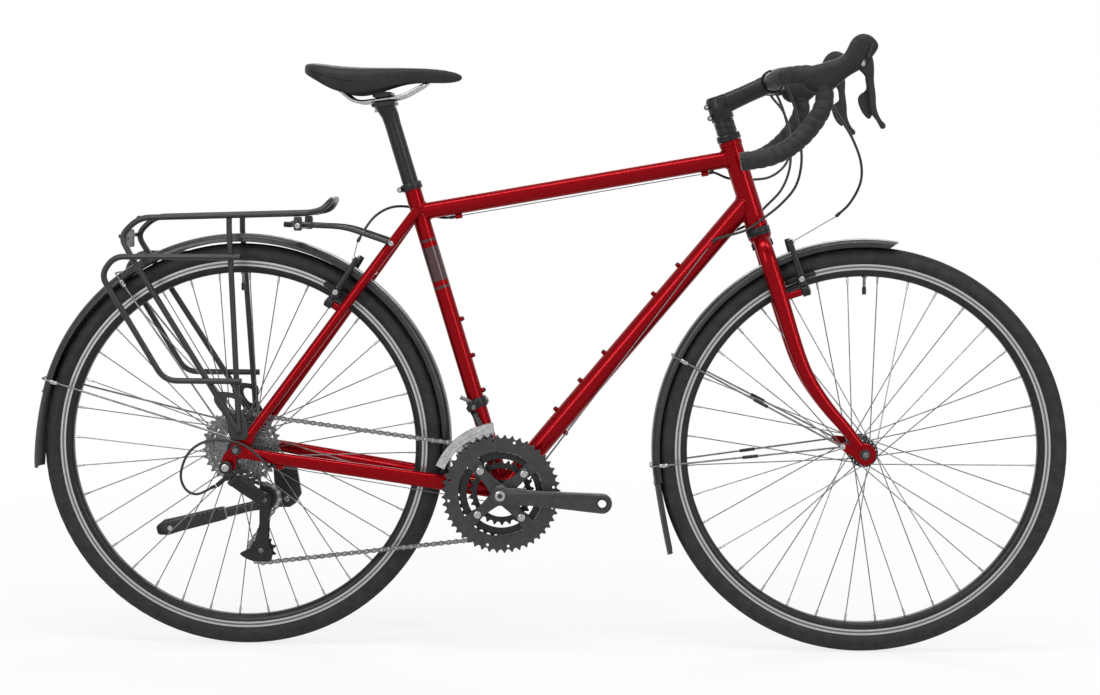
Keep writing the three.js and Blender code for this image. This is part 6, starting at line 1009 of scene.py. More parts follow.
def make_chain():
    line = chain_line()
    links = 2 * round(length_of(line) / CHAIN_PITCH / 2)
    pins = resample(line, links)[:-1]
    plate = circle(ALONG_X * -CHAIN_PITCH / 2, 4.1, 8, radians(50), radians(310))
    shape = plate + [(0, -2.6)] + [(-x, -z) for x, z in plate] + [(0, 2.6)]
    form = Form()
    for i, (here, there) in enumerate(zip(pins, pins[1:] + pins[:1])):
        along, middle = (there - here).normalized(), (here + there) / 2
        up = along.cross(ACROSS).normalized()
        side = up.cross(along)
        faces = (1.25, 1.95) if i % 2 else (2.05, 2.75)
        for way in BOTH:
            rows = [[middle + along * a + up * h + side * way * depth for a, h in shape] for depth in faces]
            form.rings(rows, i % 2)
        bar(form, here - side * 3.05, here + side * 3.05, 1.7, 2, 10, 0.3)
        bar(form, here - side * 1.2, here + side * 1.2, 3.6, 2, 14, 0.3)
    piece("chain_links", form, [CHAIN_STEEL, CHAIN_STEEL, STEEL], "chain", slot="steel")


# Derailleurs

FRONT_BAND = [(14.6, 146), (17.4, 146), (17.6, 147), (17.6, 161), (17.4, 162), (14.6, 162)]
FRONT_KNUCKLE = ((vec(4, 2, 12), 6, 6), (vec(0, -1, 6), 9, 9), (vec(-3, -1, -2), 9, 9.5),
                 (vec(-1, -1, -9), 8, 7))
# Outer and inner radius, first and last degree, steps, lowest and highest Y, and bevel
CAGE_PLATES = ((119, 103, 97, 157, 24, -57.6, -56.0, 0.5), (113.2, 109.4, 103, 150, 24, -58.3, -57.4, 0.4),
               (118.6, 80, 98, 139, 24, -41.2, -40, 0.4), (119, 103, 97, 157, 24, -41.4, -39.8, 0.5),
               (118.6, 115.8, 100, 114, 24, -57, -40.2, 0.4),
               (118.4, 103.6, 154, 156.6, 4, -57, -40.2, 0.5))


def make_front_derailleur():
    body, arm = collar(FRONT_BAND, BRACKET, SEAT_UP), on_seat(152.4, -5.7, -22.3)

    def from_arm(step):
        return arm + step

    loft(body, FRONT_KNUCKLE, from_arm, ACROSS, vec(0.9, 0, 0.3), 20, 0.7)
    bar(body, arm + vec(-4, 4, 6), arm + vec(-20, 4, 13), 3.2, 1, 18)
    bolt(body, arm + vec(-19, 4, 12.6), vec(-0.9, 0, 0.4), 3.6, 3, 1)
    bolt(body, arm + vec(2, -9, -2), -ACROSS, 4, 2, 1)
    bolt(body, on_seat(154, 17), SEAT_AHEAD, 5, 3, 1)
    piece("front_derailleur_body", body, [SATIN, DULL_STEEL], "front_derailleur_band")
    cage, hold = Form(), BRACKET + heading(radians(107), 117)
    for outer, inner, start, stop, count, low, high, bevel in CAGE_PLATES:
        slab(cage, band(BRACKET, outer, inner, count, radians(start), radians(stop)), low, high, bevel=bevel)
    cage.rings([ring_of(arm - UP * 10.6, ALONG_X * 5.6, ACROSS * 4.8, 16),
                ring_of(vec(hold.x, -41, hold.z - 1.6), ALONG_X * 4.8, ACROSS * 5.6, 16)], 1)
    piece("front_derailleur_plates", cage, [CHROME, SATIN], "front_derailleur_cage", slot="silver_alloy")


KNUCKLE_IN, KNUCKLE_FACE = CHAIN_Y - 7.1, CHAIN_Y - 25.3
LINK_LOW = vec(GUIDE.x - 4, KNUCKLE_FACE - 6.3, GUIDE.z + 4)
LINK_RUN = vec(LINK_LOW.x - LINK_TOP.x, 0, LINK_LOW.z - LINK_TOP.z).normalized()
LINK_PIN = vec(-LINK_RUN.z, 0, LINK_RUN.x)
LINK_ENDS = ((-17, 7, 4.5), (-14, 9, 5.6), (-8.5, 9, 6), (-6.4, 8, 5.6))
LINK = ((0.0, 9, 4.6), (0.12, 11.5, 5.4), (0.4, 12, 5.2), (0.7, 12, 5.2), (0.92, 11, 5.2), (1.0, 8.5, 4.4))
CAGE_FIN = [(-3.3, -0.55), (-2.4, -1.25), (-1.3, -1.66), (0.2, -1.72), (1.45, -1.6), (1.75, -0.4),
            (1.2, 0.9), (0, 1.2), (-1.2, 0.5)]
CAGE_REACH = 11


def above_link(reach):
    return LINK_TOP + LINK_RUN * reach


def on_link(share):
    return LINK_TOP.lerp(LINK_LOW, share)


def cage_outline(widening, waist):
    """A plate of the rear cage, round both jockey wheels and narrower between them."""
    half_turn, middle, side = pi / 2, GUIDE.lerp(TENSION, 0.5), heading(CAGE_TURN + pi / 2)
    first = circle(GUIDE, CAGE_REACH, 12, CAGE_TURN + half_turn, CAGE_TURN + 3 * half_turn)
    last = circle(TENSION, CAGE_REACH * widening, 12, CAGE_TURN - half_turn, CAGE_TURN + half_turn)
    return first + flat([middle - side * waist]) + last + flat([middle + side * waist])


def make_rear_derailleur():
    upper, barrel_start = Form(), above_link(-11.3)
    cross_bar(upper, HANGER, -DROPOUT_OUT - GAP, KNUCKLE_OUT, 10.8, 0, 36, 1.5)
    bolt(upper, HANGER + ACROSS * (KNUCKLE_OUT + 0.3), -ACROSS, 6.4, 1.8, 1)
    loft(upper, LINK_ENDS, above_link, LINK_PIN, ACROSS, 24, 0.8)
    bar(upper, barrel_start, BARREL_END, 3.9, 0, 18)
    turned(upper, [(3.2, -10), (4.0, -9.4), (4.0, -1), (3.2, 0)], BARREL_END, BARREL_END - barrel_start, 12)
    piece("derailleur_upper_knuckle", upper, [SATIN, STEEL], "rear_derailleur_upper")
    link = Form()
    loft(link, LINK, on_link, LINK_PIN, ACROSS, 24, 0.75)
    for centre in (LINK_TOP, LINK_LOW):
        bar(link, centre - LINK_PIN * 11, centre + LINK_PIN * 11, 5.8, 0, 24, 1)
        bar(link, centre + LINK_PIN * 10, centre + LINK_PIN * 11.6, 3.4, 1, 16)
    piece("derailleur_parallel_link", link, [SATIN, DULL_STEEL], "rear_derailleur_link")
    lower = Form()
    cross_bar(lower, GUIDE, KNUCKLE_FACE, KNUCKLE_IN, 11.8, 0, 40, 2)
    bolt(lower, GUIDE + ACROSS * (KNUCKLE_FACE + 0.3), -ACROSS, 5, 1.2, 1)
    piece("derailleur_lower_knuckle", lower, [SATIN, DULL_STEEL], "rear_derailleur_lower")
    cage = Form()
    slab(cage, cage_outline(1.25, 7.2), CHAIN_Y - 6.8, CHAIN_Y - 5, bevel=0.5)
    slab(cage, cage_outline(1.1, 8.4), CHAIN_Y + 5, CHAIN_Y + 6.8, bevel=0.5)
    slab(cage, smooth_outline(TENSION, CAGE_REACH, CAGE_FIN, 48), CHAIN_Y - 7.2, CHAIN_Y - 5.3, bevel=0.6)
    for centre in (GUIDE, TENSION):
        bolt(cage, centre + ACROSS * (CHAIN_Y - 6.9), -ACROSS, 4.2, 1.2, 1)
        cross_bar(cage, centre, CHAIN_Y - 6, CHAIN_Y + 6.9, 2.9, 1, 16)
    piece("derailleur_cage_plates", cage, [SATIN, DULL_STEEL], "rear_derailleur_cage")
    for word, centre, windows in (("guide", GUIDE, 0), ("tension", TENSION, 6)):
        wheel, holes = Form(), [circle(centre, 3.5, 20)]
        holes += [circle(centre + heading(tau * k / windows, 11), 2.2, 10) for k in range(windows)]
        slab(wheel, toothed(centre, 11), CHAIN_Y - 1.05, CHAIN_Y + 1.05, holes, 0.4)
        washer(wheel, 3.4, 6, -4.6, 4.6, centre + ACROSS * CHAIN_Y, ACROSS, 28)
        piece(f"toothed_{word}_wheel", wheel, [PLASTIC], "jockey_wheel_" + word, slot="plastic", sharp=30)


# Brakes

ARM_LENGTH = 88
ARM = ((-0.02, 3.6, 6), (0.1, 4, 6.4), (0.3, 4, 6.2), (0.45, 3.4, 5.4), (0.7, 3.4, 4.8), (0.92, 3.8, 4.6),
       (1.0, 3, 4))
PAD = ((-26.5, 3, 2.6), (-24.5, 4.2, 3.8), (0, 4.4, 3.9), (24.5, 4.2, 3.8), (26.5, 3, 2.6))
ARM_PIVOT = [(4.4, -6.4), (8.2, -6.4), (9, -5.6), (9, 5.6), (8.2, 6.4), (4.4, 6.4)]
PAD_WASHER = [(3.4, -2.4), (7, -2.4), (7.6, -1), (7.6, 1), (7, 2.4), (3.4, 2.4)]


def make_brake_arm(wheel, side, word):
    axle, pivot, up, out = AXLES[wheel], brake_pivot(wheel, side), BRAKE_UP[wheel], BRAKE_OUT[wheel]
    outward, form = ACROSS * side, Form()
    turned(form, ARM_PIVOT, pivot, out, 36, closed=True)
    bolt(form, pivot + out * 5.9, out, 6, 2.2, 1)

    def on_arm(rise):
        return pivot + up * rise * ARM_LENGTH - outward * 7 * rise

    def on_pad(reach):
        return pad + along * reach + to_rim * (0.9 - reach * reach / 620)

    loft(form, ARM, on_arm, ACROSS, out, 20, 0.7)
    to_rim = vec(pivot.x - axle.x, 0, pivot.z - axle.z).normalized()
    track, along = axle + to_rim * (RIM_EDGE - 5.4), vec(-to_rim.z, 0, to_rim.x)
    pad = track + along * ((pivot - track).dot(along) * 0.5) + outward * 17.4
    loft(form, PAD, on_pad, to_rim, ACROSS, 20, 0.6, 2)
    hold = on_arm((pad - pivot).dot(up) / ARM_LENGTH)
    level = vec(pad.x, hold.y, pad.z)
    bar(form, pad + outward * 3, level + outward * 9, 3.4, 1, 18)
    nut(form, level + outward * 5.5, outward, 5.2, 4.4, 1)
    turned(form, PAD_WASHER, level + outward * 2, ACROSS, 24, closed=True)
    bar(form, level, hold, 4, 0, 18)
    bolt(form, pivot + up * 84 - outward * 6.6 + out * 4.4, out, 3.6, 2.4, 1)
    node = f"{wheel}_brake_arm_{word}"
    piece(node + "_formed", form, [SATIN, STEEL, RUBBER], node)


# Mudguards

def mirrored(half, middle=()):
    """Pairs from the negative side to the positive one, from those of one side."""
    return [(-a, b) for a, b in half] + list(middle) + half[::-1]


GUARD_HALF = 22
GUARD_SECTION = mirrored([(GUARD_HALF, 14), (21.9, 9), (20.4, 5.2), (16.5, 2.2), (10, 0.7)], [(0, 0)])
FLAP_SECTION = mirrored([(1, 9), (0.85, 5.2), (0.6, 2.4), (0.3, 1.2)], [(0, 0.9)])
GUARDS = {"rear": (REAR + UP * 5, 355), "front": (FRONT + UP * 3, 354)}


def make_guard(wheel, start, stop, flap_start, flap_stop, flap_reach, slant=0.0):
    """A blade between two angles in degrees, slanting at its start, with a flap at its other end."""
    centre, radius = GUARDS[wheel]
    section = [(y, radius - drop) for y, drop in GUARD_SECTION]
    section += [(y * 0.93, radius - 1.5 - drop * (12.4 / 14)) for y, drop in reversed(GUARD_SECTION)]
    rows, steps, slant_steps = [], 120, 12
    for i in range(steps + 1):
        cut = slant * max(1 - i / slant_steps, 0)
        row = []
        for y, r in section:
            degrees = start + (stop - start) * i / steps + cut * min((radius - r) / 14 - 0.3, 0.7)
            row.append(centre + heading(radians(degrees), r) + ACROSS * y)
        rows.append(row)
    form = Form().rings(rows)
    rows, steps, narrowing = [], 24, 0.86
    for i in range(steps + 1):
        share = i / steps
        out = heading(radians(flap_start + (flap_stop - flap_start) * share))
        width = GUARD_HALF * (0.92 + 0.18 * share) * cos(max(share - narrowing, 0) * 5.4) ** 0.5
        lift = radius + flap_reach * share ** 2 + 0.4 * (1 - share)
        outside = [(y, lift - drop) for y, drop in FLAP_SECTION]
        inside = [(y, r - 2.2) for y, r in reversed(outside)]
        rows.append([centre + out * r + ACROSS * y * width for y, r in outside + inside])
    form.rings(rows, 1)
    out = heading(radians(flap_start + 1.2))
    for y in (-9, 9):
        bolt(form, centre + out * (radius - 0.4) + ACROSS * y, out, 2.8, 1.4, 2)
    piece(wheel + "_guard_blade", form, [GUARD, FLAP, STEEL], wheel + "_mudguard", slot="plastic")


STAY_END = [(0.1, 0.3), (5.2, 0.3), (5.2, 1.2), (3.6, 1.6), (3.6, 4.6), (2.6, 5.1), (0.1, 5.1)]


def make_stays(wheel, eyelet, angles, sleeve=None):
    """Hoops over a mudguard with rods to the eyelets; a sleeve has its place and length on each rod."""
    centre, radius = GUARDS[wheel]
    form, wide = Form(), GUARD_HALF + 4.5 + GAP
    for degrees in angles:
        out = heading(radians(degrees))
        low, top = centre + out * (radius - 14), centre + out * (radius + 2.6)
        hoop = [low - ACROSS * wide, top - ACROSS * wide, top + ACROSS * wide, low + ACROSS * wide]
        sweep(form, rounded(hoop, 9, 5), 1.5, 12, 2)
        for side in BOTH:
            foot, clamp = eyelet(side) + ACROSS * side * 3.4, low + ACROSS * side * wide
            along = (foot - clamp).normalized()
            bar(form, foot, clamp, 1.65, 2, 12)
            bar(form, clamp - along, clamp + along * 13, 3.6, 0, 14, 1)
            bolt(form, clamp + along * 6 + ACROSS * side * 2.4, ACROSS * side, 3.4, 1.9)
            if sleeve:
                near = foot.lerp(clamp, sleeve[0])
                bar(form, near, near - along * sleeve[1], 2.9, 1, 14, 0.5)
    for side in BOTH:
        turned(form, STAY_END, eyelet(side), ACROSS * side, 24)
    piece(wheel + "_guard_stays", form, [STEEL, PLASTIC, SPOKE], wheel + "_mudguard_stays", slot="steel")


# Rack

FOOT_PLATE = [(-8, 20), (18, 20), (20, 44), (10, 66), (9, 92), (-3, 96), (-32, 96), (-36, 84), (-16, 52)]
FOOT_WINDOW = [(-1, 62), (4, 68), (1, 84), (-14, 88), (-16, 80), (-8, 66)]
LIGHT_PLATE = [(-22, -15), (22, -15), (25, -12), (25, 12), (22, 15), (-22, 15), (-25, 12), (-25, -12)]
RACK_HALF = 58


def from_rear(x, y, z):
    return REAR + vec(x, y, z)


def on_rear_face(point):
    """A point of the light plate, turned to face the rear."""
    return from_rear(point.y - 193, point.x, 350 + point.z)


def make_rack():
    form = Form()
    for side in BOTH:
        y, foot, out = side * RACK_HALF, side * 80, side * 82
        deck = [from_rear(120, y, 395), from_rear(-164, y, 386), from_rear(-195, y, 355),
                from_rear(-176, y + side * 5, 322), from_rear(6, foot, 31)]
        side_loop = ((10, 322), (-200, 322), (-222, 291), (-118, 116), (10, 116))
        rail = [from_rear(x, out, z) for x, z in side_loop]
        sweep(form, rounded(deck, 35, 9), 5, 20)
        sweep(form, [from_rear(-12, y, 386), from_rear(-12, y, 364), from_rear(6, foot, 31)], 4.8, 20)
        sweep(form, rounded(rail, 22, 9), 5, 20)
        for x, z, inner in ((-12, 322, y), (-176, 322, y), (2.4, 116, foot)):
            cross_bar(form, from_rear(x, 0, z), inner, out, 3.5, 0, 14)
        for z in (322, 116):
            bar(form, from_rear(9.6, out, z), from_rear(11.4, out, z), 5.2, 1, 20)
        eye = from_rear(6, 0, 31)
        holes = [smooth_outline(REAR, 1, FOOT_WINDOW, 24), circle(eye, 3, 16)]
        slab(form, smooth_outline(REAR, 1, FOOT_PLATE, 60), side * 76.5, side * 79.5, holes, 0.7)
        cross_bar(form, eye, side * (DROPOUT_OUT + GAP), side * 84.5, 5.3)
        bolt(form, eye + ACROSS * side * 84.2, ACROSS * side, 4.6, 1.6, 1)
    nose = [(115, -RACK_HALF, 395), (142, -52.2, 400), (156, -30, 418), (156, 30, 418), (142, 52.2, 400),
            (115, RACK_HALF, 395)]
    sweep(form, rounded([from_rear(*p) for p in nose], 22, 8), 5, 20)
    for x, z in [(x, 386 + (x + 164) / 284 * 9) for x in (-164, -12, 120)] + [(-195, 355)]:
        cross_bar(form, from_rear(x, 0, z), -RACK_HALF, RACK_HALF, 3.5, 0, 14)
    holes = [circle(ALONG_X * way * 15, 2.8, 16) for way in BOTH]
    slab(form, LIGHT_PLATE, -1.5, 1.5, holes, 0.4, at=on_rear_face)
    piece("rack_tubes", form, [POWDER, SATIN], "rear_rack")
    arms = Form()
    cross_bar(arms, from_rear(103, 0, 372), -RACK_HALF, RACK_HALF, 4.6, 0, 20)
    for side in BOTH:
        line, out = seatstay_line(side), ACROSS * side
        end = line[1].lerp(line[2], 0.25) + out * 13.4
        start, middle = from_rear(77, side * 36, 376), from_rear(177, side * 36, 372)
        sweep(arms, rounded([start, middle, end], 22, 8), 4, 18)
        bar(arms, start - ALONG_X, start + vec(12, 0, -0.5), 4.6, 1, 18)
        arms.rings([ring_of(from_rear(103, side * RACK_HALF, z), ALONG_X * half, ACROSS * 6.2, 24, 0.6)
                    for z, half in ((366, 5.4), (369, 7), (384, 7), (389, 5.8))])
        bolt(arms, from_rear(103, side * 64, 374), out, 4.6, 2, 2)
        bolt(arms, end + out * 3.4, out, 4.4, 2.2, 2)
    piece("rack_arm_rods", arms, [POWDER, RUBBER, STEEL], "rack_arms")


# Stem, handlebar, tape, hoods and levers

STEM_CLAMP_EDGE = [(14.6, 0.3), (18, 0.3), (19, 1.6), (19, 36.6), (18, 38), (14.6, 38)]
STEM_NECK = ((0.13, 17, 14), (0.3, 16, 14.6), (0.5, 15.6, 14.8), (0.7, 15.6, 15.2), (0.86, 16.4, 17))
FACEPLATE = ((-20.8, -4.5, 19.9, 66), (4.5, 20.8, 19.9, 66), (-5, 5, 18.8, 50))
STEM_CAP = [(17.3, 0.4), (17.4, 1.6), (15.8, 3.4), (6, 3.6), (0, 3.6)]
BAR_BORE = 16.3


def make_stem():
    form = collar(STEM_CLAMP_EDGE, on_steerer(STEM_BOTTOM), STEER_UP)
    start = on_steerer(STEM_BOTTOM + STEM_ROOT)
    along = (BAR - start).normalized()
    back = atan2(along.z, along.x)

    def on_neck(share):
        return start.lerp(BAR, share)

    loft(form, STEM_NECK, on_neck, along.cross(ACROSS), ACROSS, 36, 0.85)
    outline = circle(BAR, 20, 28, back + radians(74), back + radians(286))
    outline += circle(BAR, BAR_BORE, 28, back + radians(68), back + radians(292))[::-1]
    slab(form, outline, -21, 21, bevel=0.8)
    for way in BOTH:
        place = on_steerer((STEM_BOTTOM + STEM_TOP) / 2 + way * 9.5, -20)
        for side in BOTH:
            cross_bar(form, place, side * 1.2, side * 10, 4.3, 0, 24, 1)
        bolt(form, place - ACROSS * 9.8, -ACROSS, 3, 2, 1)
    piece("stem_body", form, [SATIN, STEEL], "stem")
    face = Form()
    for low, high, reach, degrees in FACEPLATE:
        half = radians(degrees)
        slab(face, band(BAR, reach, BAR_BORE, 20, back - half, back + half), low, high, bevel=0.9)
    for way in BOTH:
        for y in (-15, 15):
            bolt(face, BAR + heading(back + way * radians(54), 18.4) + ACROSS * y, along, 3, 2.4, 1)
    piece("stem_front_plate", face, [SATIN, STEEL], "stem_faceplate")
    cap = turned(Form(), STEM_CAP, on_steerer(STEM_TOP), STEER_UP)
    bolt(cap, on_steerer(STEM_TOP + 3.0), STEER_UP, 4.4, 0.8, 1)
    piece("steerer_cap", cap, [SATIN, STEEL], "stem_cap")


BAR_HALF, BAR_REACH, BAR_DROP = 212, 68, 134
# Shares of the bar's half width, reach and drop from its middle to its end
BAR_SHARES = [(0, 0, 0), (0.5, 0, 0), (0.72, 0.01, 0), (0.88, 0.12, 0), (0.97, 0.36, -0.01),
              (1, 0.62, -0.01), (1, 0.88, 0.07), (1.005, 0.99, 0.24), (1.01, 0.97, 0.33),
              (1.015, 0.85, 0.47), (1.02, 0.56, 0.67), (1.025, 0.2, 0.83), (1.03, -0.24, 0.94),
              (1.035, -0.88, 1)]
BAR_PLUG = [(9, -6), (9, 0), (14.2, 0.4), (14.5, 1.4), (13.4, 2.8), (8, 3.3), (0, 3.3)]


def bar_line(side, count):
    knots = [BAR + vec(f * BAR_REACH, side * w * BAR_HALF, -d * BAR_DROP) for w, f, d in BAR_SHARES]
    return smooth(knots, count)


def make_tape(word, side):
    """Tape from near the stem to the bar's end, each turn of it lapping over the last."""
    path = [p for p in bar_line(side, 400) if abs(p.y) > 60]
    step, turn_length, sides = (path[1] - path[0]).length, 15.0, 24

    def wrapped(i, k):
        share = (i * step / turn_length + side * k / sides) % 1.0
        edge = min(i * step / 3, 1)
        return 13.4 + edge * (0.35 + 1.15 * (1 - abs(2 * share - 1) ** 3))

    tape = sweep(Form(), path, wrapped, sides)
    washer(tape, 13, 14.9, -0.6, 11, path[0], path[3] - path[0], 32, 1)
    piece("wound_tape_" + word, tape, [TAPE, RUBBER], "bar_tape_" + word, slot="tape", sharp=70)


def make_handlebar():
    form = Form()
    for side in BOTH:
        line = bar_line(side, 70)
        sweep(form, line, 11.6, 24)
        sweep(form, [BAR, BAR + ACROSS * side * 32, BAR + ACROSS * side * 50], [15.9, 15.9, 12], 36)
        turned(form, BAR_PLUG, line[-1], line[-1] - line[-2], 32, 1)
    piece("handlebar_tube", form, [SATIN, PLASTIC], "handlebar")
    for word, side in SIDES.items():
        make_tape(word, side)


# The upper edge, the lower edge and the half width along a hood
HOOD = [((388, 968), (398, 938), 15.2), ((404, 973), (418, 930), 16), ((426, 978), (440, 931), 16.6),
        ((444, 983), (454, 944), 16.4), ((456, 988), (464, 954), 15.8), ((464, 995), (474, 961), 15.2),
        ((468, 1005), (484, 966), 14.6), ((472, 1014), (494, 973), 14), ((479, 1021), (503, 984), 13.4),
        ((488, 1025), (511, 995), 12.6), ((499, 1023.4), (515, 1002), 11), ((508, 1017), (514.6, 1008), 7)]
LEVER_REACH = 102
LEVER_EDGE = [(0.1, 0.15), (0.15, 0.05), (0.17, -0.1), (0.17, -0.27), (0.2, -0.49), (0.22, -0.71),
              (0.29, -0.87), (0.36, -0.95), (0.35, -1), (0.3, -1.01), (0.23, -0.9), (0.12, -0.74),
              (0.09, -0.56), (0.07, -0.38), (0.04, -0.22), (-0.06, -0.1), (-0.09, 0), (-0.06, 0.08)]
PADDLE_EDGE = [(0.05, -0.2), (0.12, -0.2), (0.14, -0.36), (0.15, -0.6), (0.17, -0.76), (0.12, -0.86),
               (0.04, -0.8), (-0.03, -0.68), (-0.06, -0.55), (-0.03, -0.49), (0.06, -0.41)]


def make_controls():
    pivot = BAR + vec(126, 0, 21)
    for word, side in SIDES.items():
        y = side * BAR_HALF
        rows = []
        for (top_x, top_z), (low_x, low_z), half in HOOD:
            top, low = vec(top_x, y, top_z), vec(low_x, y, low_z)
            rows.append(ring_of((top + low) / 2, (top - low) / 2, ACROSS * half, 20, 0.82))
        piece("hood_cover_" + word, Form().rings(rows), [RUBBER], "brake_hood_" + word, slot="rubber", soft=1)
        trim = Form()
        for way in BOTH:
            bolt(trim, vec(pivot.x - 1, y + way * 14.6, pivot.z - 4), ACROSS * way, 3, 1.3, 1)
            bulge = [12.4 + 0.3 * k - 0.03 * k * k for k in range(8)]
            arc = [vec(505 - 1.2 * k, y + way * out, 1009 - 3.4 * k) for k, out in enumerate(bulge)]
            sweep(trim, arc, [1.2] + [2.0] * 6 + [1.2], 12)
        piece("hood_trim_" + word, trim, [PLASTIC, STEEL], body="steering", slot="plastic")
        outline = smooth_outline(pivot, LEVER_REACH, LEVER_EDGE, 90)
        blade = slab(Form(), outline, y - 5.4, y + 5.4, bevel=2.6)
        cross_bar(blade, pivot, y - 15, y + 15, 2.9, 1, 20)
        piece("lever_blade_" + word, blade, [LEVER, DULL_STEEL], "brake_lever_" + word, slot="plastic")
        near, outline = y - side * 5.8, smooth_outline(pivot, LEVER_REACH, PADDLE_EDGE, 60)
        leaf = slab(Form(), outline, near, near - side * 3.2, bevel=1.1)
        piece("paddle_leaf_" + word, leaf, [LEVER], "shift_paddle_" + word, slot="plastic")


# Saddle and seatpost

POST_HEAD = on_seat(658)
TAIL = POST_HEAD + vec(-141, 0, 31)
SADDLE_LENGTH, SADDLE_HALF, SADDLE_HEIGHT = 262, 76, 56
# Shares of the length and half width, and of the height for the top, the edge and the hollow below
SADDLE = [(0, 0.42, 0.94, 0.74, 0.8), (0.03, 0.72, 0.99, 0.6, 0.66), (0.1, 0.94, 0.99, 0.42, 0.6),
          (0.2, 1, 0.93, 0.12, 0.56), (0.31, 0.92, 0.89, 0, 0.54), (0.42, 0.7, 0.88, 0.08, 0.53),
          (0.53, 0.47, 0.88, 0.24, 0.52), (0.64, 0.33, 0.88, 0.4, 0.52), (0.76, 0.27, 0.87, 0.44, 0.5),
          (0.88, 0.25, 0.83, 0.42, 0.47), (0.96, 0.2, 0.75, 0.46, 0.5), (1, 0.1, 0.66, 0.54, 0.56)]
SADDLE_CROWN = mirrored([(0.97, 0), (1, 0.1), (1.0, 0.28), (0.985, 0.5), (0.945, 0.7), (0.86, 0.85),
                         (0.7, 0.945), (0.5, 0.985), (0.25, 0.99), (0.08, 0.965)])
SADDLE_UNDER = (0.88, 0.6, 0.2, -0.2, -0.6, -0.88)
RAIL = ((0.16, 1.5, 0.05), (0.3, 1.1, 0.86), (0.36, 1, 0.97), (0.62, 1, 0.74), (0.78, 0.6, 0.12))


def on_saddle(along, side, height):
    return vec(TAIL.x + along * SADDLE_LENGTH, side * SADDLE_HALF, TAIL.z + height * SADDLE_HEIGHT)


def rail_at(along, side, drop):
    return vec(TAIL.x + along * SADDLE_LENGTH, side * 22, TAIL.z + 28 - drop * 38)


def saddle_row(along, wide, top, low, roof):
    row = [on_saddle(along, s * wide, low + (top - low) * rise) for s, rise in SADDLE_CROWN]
    return row + [on_saddle(along, s * wide, low + (roof - low) * (1 - s ** 6)) for s in SADDLE_UNDER]


def make_saddle():
    form = Form().rings([saddle_row(*shares) for shares in SADDLE])
    cover = piece("saddle_padding", form, [COVER], "saddle", slot="saddle_cover", soft=2)
    seam = Form()
    for side in BOTH:
        path = [on_saddle(along, side * wide * 0.97, low + (top - low) * 0.52) - ACROSS * side * 0.3
                for along, wide, top, low, roof in SADDLE[1:-1]]
        sweep(seam, smooth(path, 60), 0.8, 8)
    piece("saddle_seams", seam, [PLASTIC], body="seat", slot="saddle_cover")
    right, left = [[rail_at(along, side * s, drop) for along, s, drop in RAIL] for side in BOTH]
    rails = sweep(Form(), rounded(right + left[::-1], 16, 7), 3.4, 20)
    piece("rail_rods", rails, [CHROME], "saddle_rails", slot="steel")

    rear_bend, front_bend = rail_at(0.36, 0, 0.97), rail_at(0.62, 0, 0.74)
    middle, ahead = rear_bend.lerp(front_bend, 0.14 / 0.26), (front_bend - rear_bend).normalized()
    up = vec(-ahead.z, 0, ahead.x)

    def jaw(form, centre, shares):
        return form.rings([ring_of(centre + ACROSS * y, ahead * a, up * 4, 28, 0.6) for y, a in shares])

    post, seat = Form(), middle - up * 7.8
    bar(post, on_seat(SEAT_TUBE - 120), POST_HEAD, 13.6, 0, 48, 0.6)
    post.rings([ring_of(POST_HEAD - SEAT_UP * 16, SEAT_AHEAD * 13.5, ACROSS * 13.5, 32),
                ring_of(POST_HEAD, SEAT_AHEAD * 14.5, ACROSS * 14.5, 32, 0.9),
                ring_of(seat - up * 3, ahead * 17, ACROSS * 20, 32, 0.7)])
    jaw(post, seat, ((-30, 17), (-27, 20), (0, 22), (27, 20), (30, 17)))
    for way in BOTH:
        screw = seat + ahead * way * 15
        bar(post, screw - up * 9, screw + up * 3, 3, 1, 16)
        bolt(post, screw - up * 8, -up, 4.4, 3, 1)
    piece("seatpost_shaft", post, [SATIN, STEEL], "seatpost")
    upper = middle + up * 7.8
    clamp = jaw(Form(), upper, ((-28.4, 13), (-26, 16), (0, 17), (26, 16), (28.4, 13)))
    bar(clamp, upper, upper - up * 11, 4.4, 1, 18)
    bolt(clamp, upper + up * 3.6, up, 4.4, 2.6, 1)
    piece("rail_clamp_plate", clamp, [SATIN, STEEL], "saddle_clamp")


# Kickstand

# Shares of the leg's length, of its half height above and below the middle, and of its half thickness
LEG_UPPER = ((-0.05, 0.5, 0.5, 0.8), (-0.03, 0.85, 0.85, 1), (0.05, 0.95, 0.85, 1), (0.12, 0.8, 0.7, 0.95),
             (0.3, 0.55, 0.55, 0.8), (0.47, 0.58, 0.58, 0.8))
LEG_LOWER = ((0.48, 0.72, 0.72, 0.9), (0.5, 0.8, 0.8, 1), (0.84, 0.9, 0.85, 1), (0.93, 1, 0.9, 1),
             (0.985, 0.75, 0.5, 0.95), (1, 0.6, 0.3, 0.7))
STAND_EDGE = [(-1.0, 0.1), (-0.85, -0.6), (-0.3, -1.0), (0.35, -0.95), (1.0, -0.5), (1.65, 0.6)]
# A black dot with a low rim: painted shade where a hole through the leg would be
HOLE_SHADE_DOT = [(2.1, -0.2), (2.1, 0.25), (1.5, 0.25), (1.5, -0.1), (0, -0.1)]


